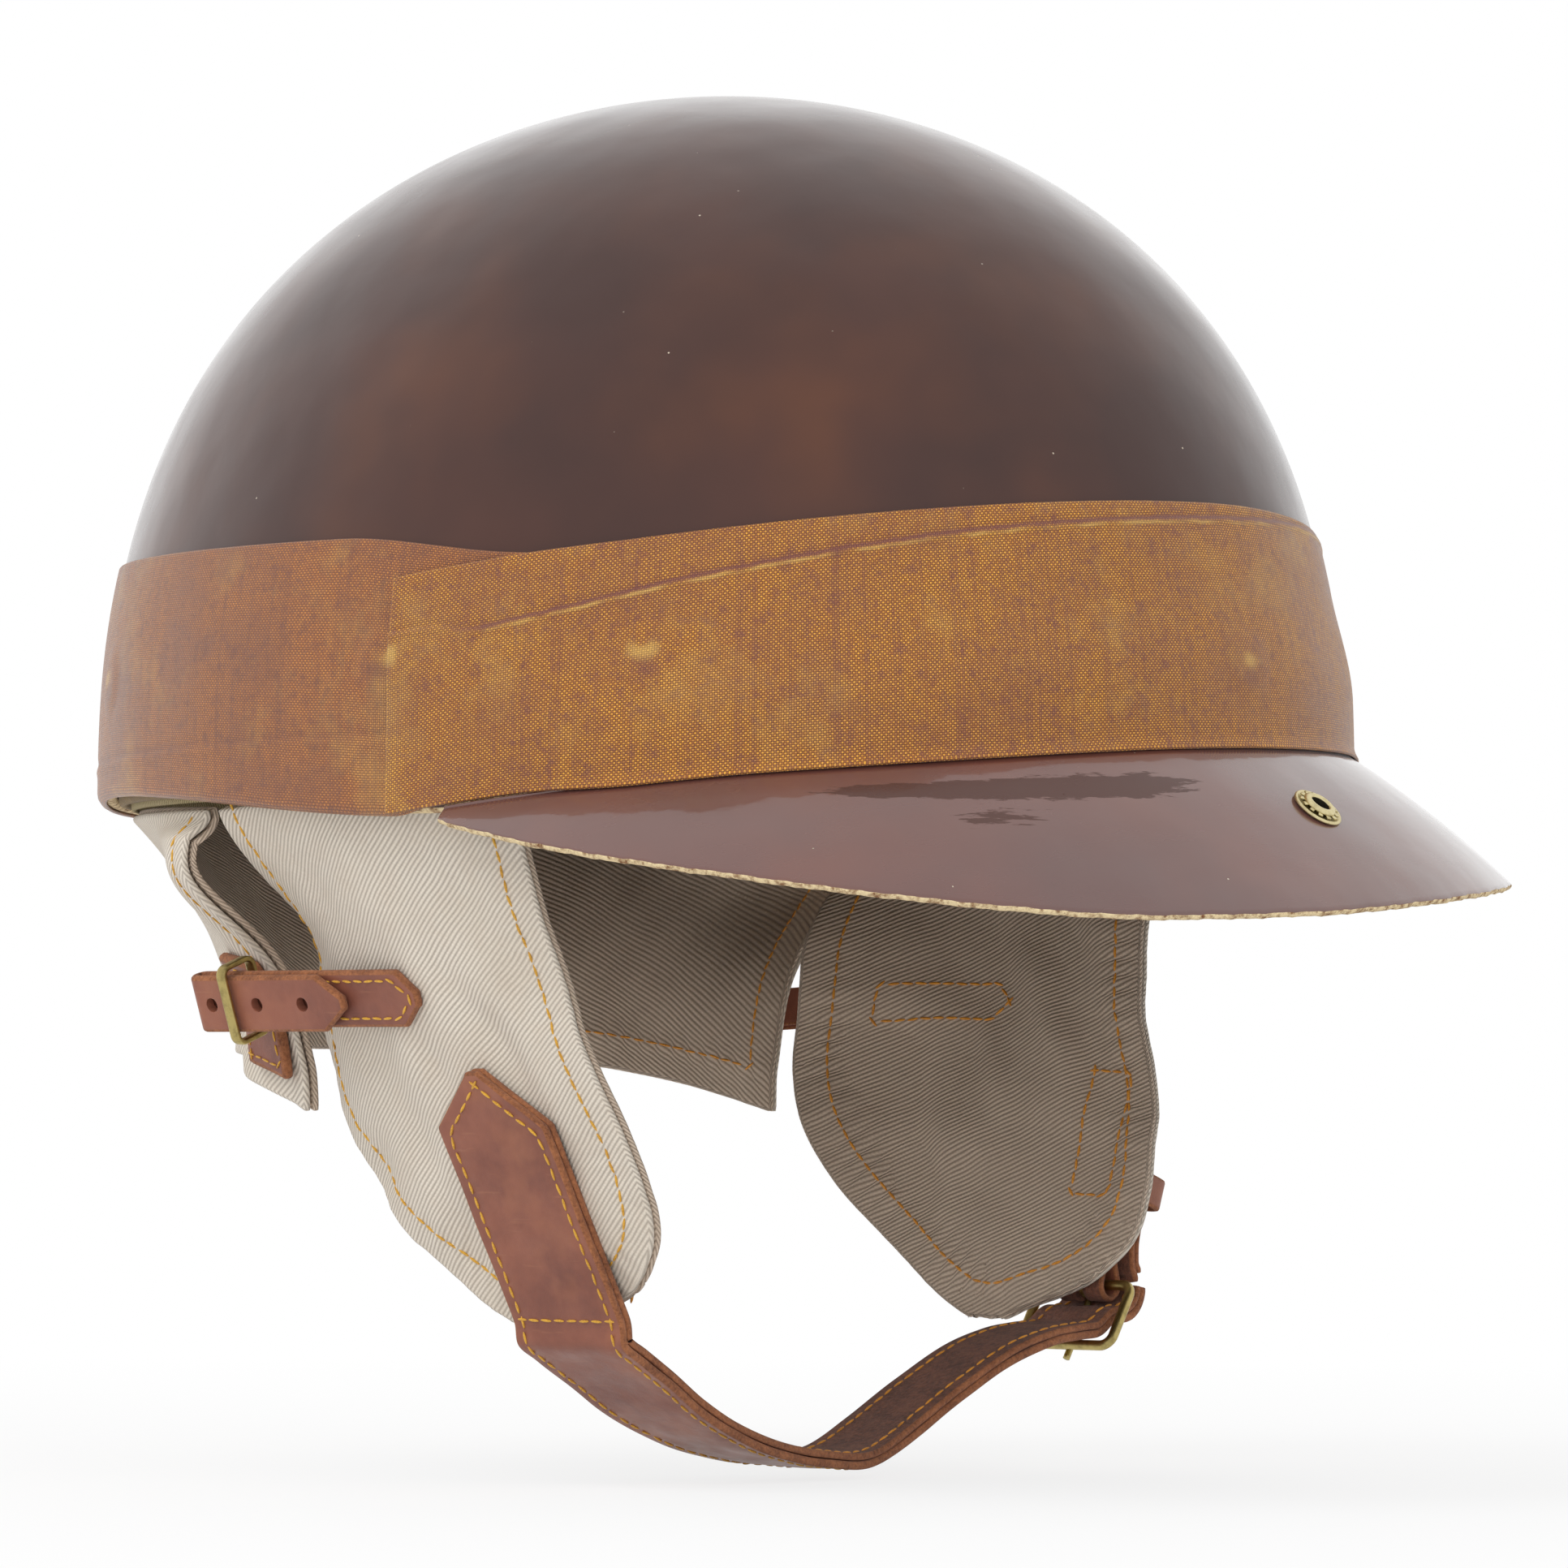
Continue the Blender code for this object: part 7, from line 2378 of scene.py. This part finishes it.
    def buckle(self) -> None:
        """Wire frame and prong."""
        start, aim, reach = self.prong_line()
        halves = (self.half_width, reach / 2)
        loop = rounded_loop((BUCKLE.heel + BUCKLE.front) / 2, AHEAD, -aim, halves, 0.0026)
        brass = self.palette["antique_brass"]
        frame = wire("buckle_frame_bar", loop, WirePlan(self.bar, self.bar, 20), brass, np.cross(AHEAD, aim))
        keep(frame, Body.STRAP, "brass", "chin_buckle_frame")
        first = math.atan2(start[2] - BUCKLE.heel[2], start[1] - BUCKLE.heel[1])
        turns = first + math.radians(300) * (1 - np.linspace(0, 1, 40))
        bend = [BUCKLE.heel + self.eye * np.array((0.0, math.cos(turn), math.sin(turn))) for turn in turns]
        bend += [start + aim * (reach + self.overhang) * share for share in np.linspace(0.06, 1, 24)]
        prong = wire("buckle_prong_wire", np.array(bend), WirePlan(self.prong, self.prong, 16, closed=False),
                     brass, AHEAD)
        keep(prong, Body.PRONG, "brass", "chin_buckle_prong")

    def chape(self) -> None:
        """Leather chape folded round the heel bar, slotted for the prong."""
        radius = self.bar + self.slack + self.chape_wall
        place = np.array(BUCKLE.place)
        points = []
        for step in range(6):
            depth = self.chape_top + (BUCKLE.depth - self.chape_top) * step / 6
            points.append(BUCKLE.seat(place, np.array(depth), FORM.clear))
        normal = BUCKLE.seat(place, np.array(BUCKLE.depth), 0.001) - BUCKLE.seat(place,
                                                                                 np.array(BUCKLE.depth), 0.0)
        out = math.degrees(math.atan2(normal[2], normal[1]))
        points += [BUCKLE.around(radius, out + 180 + 225 * step / 14) for step in range(15)]
        seat = 2 * (FORM.clear + self.chape_wall)
        bulge = radius + FORM.clear + self.chape_wall + self.slack + self.bar - seat
        for rise, share in ((0.20, 0.32), (0.34, 0.05), (0.5, 0.0), (0.75, 0.0), (1.0, 0.0)):
            depth = BUCKLE.depth - rise * (BUCKLE.depth - self.chape_outer_top)
            points.append(BUCKLE.seat(place, np.array(depth), seat + bulge * share))
        line = np.array(points)
        ribbon = ribbon_from(line, np.full(len(line), self.chape_width), AHEAD, 260)
        skins = self.palette.skins("leather_suede", "leather_edge", "strap_leather")
        piece = slab("buckle_chape_leather", ribbon.place, SlabPlan(240, 10, self.chape_wall), skins)
        turn = Matrix.Rotation(math.pi / 2, 4, "Y")
        bore(piece, [Matrix.Translation(Vector(BUCKLE.heel)) @ turn], radius + 0.0006,
             2 * (self.prong + 0.0006))
        keep(piece, Body.LEFT, "strap_leather", "chin_buckle_chape")

    def tail(self) -> None:
        """The strap's two-ply end up the flap and the keeper over it."""
        place = np.array(BUCKLE.place)
        seat = 0.0041 + self.tail_wall
        skins = self.palette.skins("strap_leather", "leather_edge", "leather_suede")
        frames = []
        for name, sunk, angles, nodes in (("strap_end_upper_ply", 0.0, (21, 28, 35), ("chin_strap_tail",)),
                                          ("strap_end_lower_ply", 0.00155, (6, 14, 24, 34), ())):
            points = [BUCKLE.around(BUCKLE.turn_radius + self.tail_wall - sunk, degrees)
                      for degrees in angles]
            for rise, share in ((0.20, 0.55), (0.32, 0.12), (0.45, 0.0), (0.62, 0.0), (0.8, 0.0), (1.0, 0.0)):
                depth = BUCKLE.depth - rise * (BUCKLE.depth - self.tail_top)
                points.append(BUCKLE.seat(place, np.array(depth), seat - sunk + 0.0030 * share))
            ribbon = ribbon_from(np.array(points), np.full(len(points), self.tail_width),
                                 AHEAD, 200)
            left = (1 - np.linspace(0, 1, 200)) * ribbon.length
            ribbon.widths = self.tail_width * (0.30 + 0.70 * np.sqrt(np.clip(left / 0.011, 0, 1)))
            piece = slab(name, ribbon.place, SlabPlan(150, 18, 0.00145, rim_steps=5), skins)
            if not frames:
                frames = [self.punched(ribbon, 1 - reach / ribbon.length) for reach in (0.0105, 0.0205)]
                routes = [on_surface(ribbon.place, row[:, 0], row[:, 1], THREAD_LIFT)
                          for row in strip_rows(ribbon, self.stitch_inset, 0.03, 1 - 0.011 / ribbon.length)]
                thread = self.palette.sew("gold_thread", "strap_end_stitches", routes,
                                          StitchPlan(0.0032, 0.84, 0.00030), 23)
                keep(thread, Body.LEFT, "strap_leather")
            bore(piece, frames, 0.0016, 0.012)
            keep(piece, Body.LEFT, "strap_leather", *nodes)
        half = self.tail_width / 2 + FORM.clear
        high, low = seat + FORM.clear + self.keeper_wall, FORM.clear + self.keeper_wall
        foot, top = half + 2 * self.keeper_wall, half + self.keeper_wall
        steps = ((-foot - 0.003, low), (-foot, low), (-top, high), (0.0, high), (top, high),
                 (foot - 0.0004, low), (foot + 0.0004, low))
        bridge = np.array([BUCKLE.seat(place + step, np.array(self.keeper_depth), away)
                           for step, away in steps])
        rise = flip_y(FLAP.axes(place, np.array(self.keeper_depth))[1])
        ribbon = ribbon_from(bridge, np.full(len(bridge), 0.007), -rise, 120)
        keeper = slab("strap_keeper_loop", ribbon.place, SlabPlan(110, 8, self.keeper_wall), skins)
        keep(keeper, Body.LEFT, "strap_leather", "chin_strap_keeper")

    def punched(self, ribbon: Ribbon, share: float) -> Matrix:
        """Place and turn of a hole on the middle of a strip."""
        u, v = np.array(share), np.array(0.5)
        return aimed(ribbon.place(u, v), normal_of(ribbon.place, u, v))


@dataclass
class Adjuster:
    """Short strap on a flap, its frame, the loop and the patch on the curtain."""

    palette: Palette
    side: Side
    depth: float = 0.0392
    height: float = 0.0125
    ply: float = 0.0020
    ply_gap: float = 0.0007
    tip: float = 0.007
    point: float = 0.0045
    fold: float = 0.0535
    free_tip: float = 0.011
    hole: float = 0.0015
    hole_start: float = 0.0225
    hole_pitch: float = 0.0127
    frame_place: float = 0.0418
    bar: float = 0.0010
    loop_ply: float = 0.0011
    loop_height: float = 0.009
    patch_wall: float = 0.0020
    patch_width: float = 0.018
    patch_top: float = 0.030
    patch_height: float = 0.026
    patch_margin: float = 0.003
    patch_seat: float = 0.0009

    def __post_init__(self) -> None:
        """Find the seat on the flap."""
        zero, deep = np.array(0.0), np.array(self.depth)
        self.base = FLAP.off(zero, deep, FORM.clear)
        self.normal, self.rise = FLAP.axes(zero, deep)

    def spot(self, place: float, away: float, up: float = 0.0) -> Array:
        """Point over the flap by place, distance and height."""
        return self.base + AHEAD * place + self.normal * away + self.rise * up

    def build(self) -> None:
        """Build the whole adjuster."""
        skins = self.palette.skins("strap_leather", "leather_edge", "strap_leather")
        side = self.side.value
        turn = self.ply + self.ply_gap / 2
        fold = self.fold - turn
        points = [self.spot(self.tip, 0.0), self.spot(self.tip - self.point, 0.0)]
        points += [self.spot(self.tip - self.point - (fold + self.tip - self.point) * step / 9, 0.0)
                   for step in range(1, 10)]
        points += [self.spot(-fold - turn * math.sin(lean), turn - turn * math.cos(lean))
                   for lean in np.linspace(0, math.pi, 13)[1:]]
        points += [self.spot(-fold + (fold - self.free_tip) * share, 2 * turn)
                   for share in (0.25, 0.5, 0.75, 1.0)]
        run, fine = evened(np.array(points), 420)
        taper = np.minimum(fine / 0.0050, (fine[-1] - fine) / 0.0068)
        wide = self.height * (0.04 + 0.96 * np.clip(taper, 0, 1))
        ribbon = Ribbon(run, wide, self.rise)
        plan = SlabPlan(420, 14, self.ply, rim_steps=6, bulge=0.8)
        strap = slab(f"adjuster_leather_{side}", self.side.surface(ribbon.place), plan, skins)
        holes = [self.spot(-self.hole_start - number * self.hole_pitch, turn) for number in range(3)]
        frames = [aimed(self.side.turned(middle), self.side.turned(self.normal)) for middle in holes]
        bore(strap, frames, self.hole, 2 * turn + 0.001)
        keep(strap, self.side.body, "strap_leather", f"adjuster_strap_{side}")
        self.buckle(side)
        self.patch(side, skins)
        self.loop(side, skins)
        corners = [(-0.026, -0.00395), (0.0012, -0.00395), (0.0048, 0.0), (0.0012, 0.00395),
                   (-0.026, 0.00395)]
        flat = filled(np.array(corners), 0.0008)
        route = np.array([self.spot(place, self.ply + 0.00010, up) for place, up in flat])
        thread = self.palette.sew("gold_thread", f"adjuster_stitches_{side}", [self.side.turned(route)],
                                  StitchPlan(0.0029, 0.84, 0.00028, 0.12), 31)
        keep(thread, self.side.body, "strap_leather")

    def bars(self) -> tuple[float, float]:
        """Distances of the frame's inner and outer bars."""
        inner = -(2 * FORM.clear + self.loop_ply + FORM.clear + self.bar)
        return inner + 0.0006, 2 * self.ply + self.ply_gap + 0.0004 + self.bar

    def buckle(self, side: str) -> None:
        """Flat brass frame round both plies."""
        inner, outer = self.bars()
        middle = self.spot(-self.frame_place, (inner + outer) / 2)
        halves = ((outer - inner) / 2, self.height / 2 + 0.0007 + self.bar)
        loop = self.side.turned(rounded_loop(middle, self.normal, self.rise, halves, 0.0018))
        frame = wire(f"adjuster_frame_bar_{side}", loop, WirePlan(0.00122, 0.00062, 24, 3.2),
                     self.palette["antique_brass"], AHEAD)
        keep(frame, self.side.body, "brass", f"adjuster_frame_{side}")

    def patch_face(self, extra: float) -> Surface:
        """Face of the patch on the curtain's end."""
        far = offset(CURTAIN.face, self.patch_seat + extra)

        def place(u: Array, v: Array) -> Array:
            depth_share = 1 - (self.patch_top + self.patch_height * (1 - v)) / CURTAIN.end_depth
            around = (self.patch_margin + self.patch_width * (1 - u)) / CURTAIN.round
            return far(1 - around, depth_share)

        return place

    def patch(self, side: str, skins: list[Material]) -> None:
        """Leather patch with its row of stitches."""
        face = self.patch_face(self.patch_wall)
        plan = SlabPlan(30, 40, 0.0024, rim_steps=5)
        piece = slab(f"adjuster_patch_leather_{side}", self.side.surface(face), plan, skins)
        keep(piece, Body.HELMET, "strap_leather", f"adjuster_patch_{side}")
        us, vs = polyline([(0.14, 0.10), (0.86, 0.10), (0.86, 0.90), (0.14, 0.90), (0.14, 0.10)], 0.03)
        route = on_surface(face, us, vs, 0.0001)
        thread = self.palette.sew("gold_thread", f"patch_stitches_{side}", [self.side.turned(route)],
                                  StitchPlan(0.0029, 0.84, 0.00026), 33)
        keep(thread, Body.HELMET, "strap_leather")

    def loop(self, side: str, skins: list[Material]) -> None:
        """Leather loop from the patch round the frame's inner bar."""
        bar = self.spot(-self.frame_place, self.bars()[0])
        seat = self.patch_face(self.patch_wall + FORM.clear + 0.0009)
        share = (bar[2] - CURTAIN.top + self.patch_top + self.patch_height) / self.patch_height
        up = np.array(share)
        back, front = seat(np.array(0.45), up), seat(np.array(0.85), up)
        out = unit(front - self.patch_face(self.patch_wall)(np.array(0.85), up))
        pair = 2 * self.loop_ply + FORM.clear
        radius = self.bar + FORM.clear + self.loop_ply
        aim = bar - front - out * pair / 2
        aim = unit(aim - self.rise * (aim @ self.rise))
        face = unit(np.cross(aim, -self.rise))
        wrap = [bar + radius * (face * math.cos(turn) + aim * math.sin(turn))
                for turn in np.linspace(0, math.pi, 13)]
        points = np.array([back, front] + wrap + [front + out * pair, back + out * pair])
        ribbon = ribbon_from(points, np.full(len(points), self.loop_height), -self.rise, 200)
        place = self.side.surface(ribbon.place)
        piece = slab(f"adjuster_loop_leather_{side}", place, SlabPlan(180, 8, self.loop_ply), skins)
        ends = [tuple(float(axis) for axis in self.side.turned(spot)) for spot in (front, bar)]
        bent(piece, Body.HELMET, self.side.body, ends, f"adjuster_loop_{side}")


@dataclass
class Studio:
    """Plain white studio and the photograph's camera."""

    azimuth: float = math.radians(41)
    elevation: float = math.radians(-2)
    distance: float = 1.700
    yaw: float = math.radians(-0.49659)
    pitch: float = math.radians(2.17678)
    roll: float = math.radians(0.20426)
    focal_pixels: float = 9991.14
    frame_pixels: float = 1932.0
    sensor: float = 36.0
    floor_height: float = -0.1390
    floor_half: float = 6.0
    floor_fade: tuple[float, float] = (0.22, 0.75)
    floor_white: float = 0.80
    floor_colour: Colour = (0.86, 0.86, 0.86, 1.0)
    level: float = 0.62

    def build(self) -> None:
        """Build the floor, world, lamps and camera."""
        scene = bpy.context.scene
        scene.view_settings.view_transform = "Standard"
        self.world(scene)
        self.floor()
        self.lamp("key", (-0.5, -1.3, 1.5), 1.3, 15.0)
        self.lamp("front", (0.9, -1.5, 0.1), 1.5, 9.0)
        self.lamp("fill", (1.6, -0.3, 0.9), 1.2, 6.0)
        self.lamp("rim", (-1.2, 0.9, 1.0), 1.0, 6.0)
        self.camera(scene)

    def seen(self, wiring: Wiring) -> Socket:
        """One where the ray is seen by the camera or in gloss or glass."""
        path = wiring.node("ShaderNodeLightPath")
        value = path.outputs["Is Camera Ray"]
        for name in ("Is Glossy Ray", "Is Transmission Ray"):
            value = wiring.node("ShaderNodeMath", {0: value, 1: path.outputs[name]},
                                operation="MAXIMUM").outputs[0]
        return value

    def world(self, scene: bpy.types.Scene) -> None:
        """White to the camera, a plain even light to the object."""
        world = bpy.data.worlds.new("studio_air")
        world.use_nodes = True
        scene.world = world
        wiring = Wiring(world.node_tree)
        lit = wiring.tree.nodes["Background"]
        wiring.feed(lit.inputs["Color"], WHITE)
        wiring.feed(lit.inputs["Strength"], self.level)
        white = wiring.node("ShaderNodeBackground", {"Color": WHITE, "Strength": 1.0})
        pick = wiring.node("ShaderNodeMixShader",
                           {0: self.seen(wiring), 1: lit.outputs[0], 2: white.outputs[0]})
        wiring.feed(wiring.tree.nodes["World Output"].inputs["Surface"], pick.outputs[0])

    def floor(self) -> None:
        """Pale floor that goes over to white away from the object and keeps its shadow."""
        half = self.floor_half
        corners = np.array([(x, y, self.floor_height)
                            for x, y in ((-half, -half), (half, -half), (half, half), (-half, half))])
        draft = MeshDraft()
        draft.add(corners, [(0, 1, 2, 3)], corners[:, :2])
        material = bpy.data.materials.new("studio_floor")
        material.use_nodes = True
        wiring = Wiring(material.node_tree)
        wiring.tree.nodes.clear()
        spot = wiring.node("ShaderNodeTexCoord").outputs["Object"]
        away = wiring.node("ShaderNodeVectorMath", {0: spot}, operation="LENGTH").outputs["Value"]
        near, far = self.floor_fade
        fade = wiring.node("ShaderNodeMapRange",
                           {"From Min": near, "From Max": far, "To Min": self.floor_white,
                            "To Max": 1.0, "Value": away})
        shown = wiring.node("ShaderNodeMath", {0: self.seen(wiring), 1: fade.outputs[0]},
                            operation="MULTIPLY")
        pale = wiring.node("ShaderNodeBsdfDiffuse", {"Color": self.floor_colour})
        white = wiring.node("ShaderNodeEmission", {"Color": WHITE, "Strength": 1.0})
        pick = wiring.node("ShaderNodeMixShader",
                           {0: shown.outputs[0], 1: pale.outputs[0], 2: white.outputs[0]})
        wiring.node("ShaderNodeOutputMaterial", {"Surface": pick.outputs[0]})
        draft.build("studio_floor", [material])

    def lamp(self, name: str, place: tuple[float, float, float], size: float, power: float) -> None:
        """A soft square lamp aimed at the helmet.

        Args:
            name: Lamp name.
            place: Where it stands.
            size: Side of the square in metres.
            power: Watts.
        """
        data = bpy.data.lights.new(f"studio_{name}", "AREA")
        data.size = size
        data.energy = power
        lamp = placed(data.name, data)
        lamp.location = place
        lamp.rotation_euler = (-Vector(place)).to_track_quat("-Z", "Y").to_euler()
        lamp.visible_glossy = False

    def camera(self, scene: bpy.types.Scene) -> None:
        """The photograph's camera."""
        turn, rise = self.azimuth, self.elevation
        place = self.distance * Vector((math.sin(turn) * math.cos(rise), -math.cos(turn) * math.cos(rise),
                                        math.sin(rise)))
        yaw = turn + self.yaw
        forward = Vector((-math.sin(yaw) * math.cos(self.pitch), math.cos(yaw) * math.cos(self.pitch),
                          math.sin(self.pitch)))
        right = forward.cross(Vector((0, 0, 1))).normalized()
        up = right.cross(forward)
        across = right * math.cos(self.roll) + up * math.sin(self.roll)
        above = up * math.cos(self.roll) - right * math.sin(self.roll)
        data = bpy.data.cameras.new("photograph_camera")
        data.sensor_width = self.sensor
        data.lens = self.focal_pixels / self.frame_pixels * self.sensor
        data.clip_start = 0.05
        data.clip_end = 30
        camera = placed(data.name, data)
        frame = Matrix((across, above, -forward)).transposed().to_4x4()
        camera.matrix_world = Matrix.Translation(place) @ frame
        scene.camera = camera


def main() -> None:
    logging.basicConfig(level=logging.INFO, format="%(message)s")
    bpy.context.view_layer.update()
    palette = Palette()
    parts = [Crown(palette), Peak(palette), Lining(palette), NeckCurtain(palette), ChinStrap(palette)]
    for side in Side:
        parts += [EarFlap(palette, side), Adjuster(palette, side)]
    for part in parts:
        part.build()
        LOG.info("%s done", type(part).__name__)
    Studio().build()


if __name__ == "__main__":
    main()
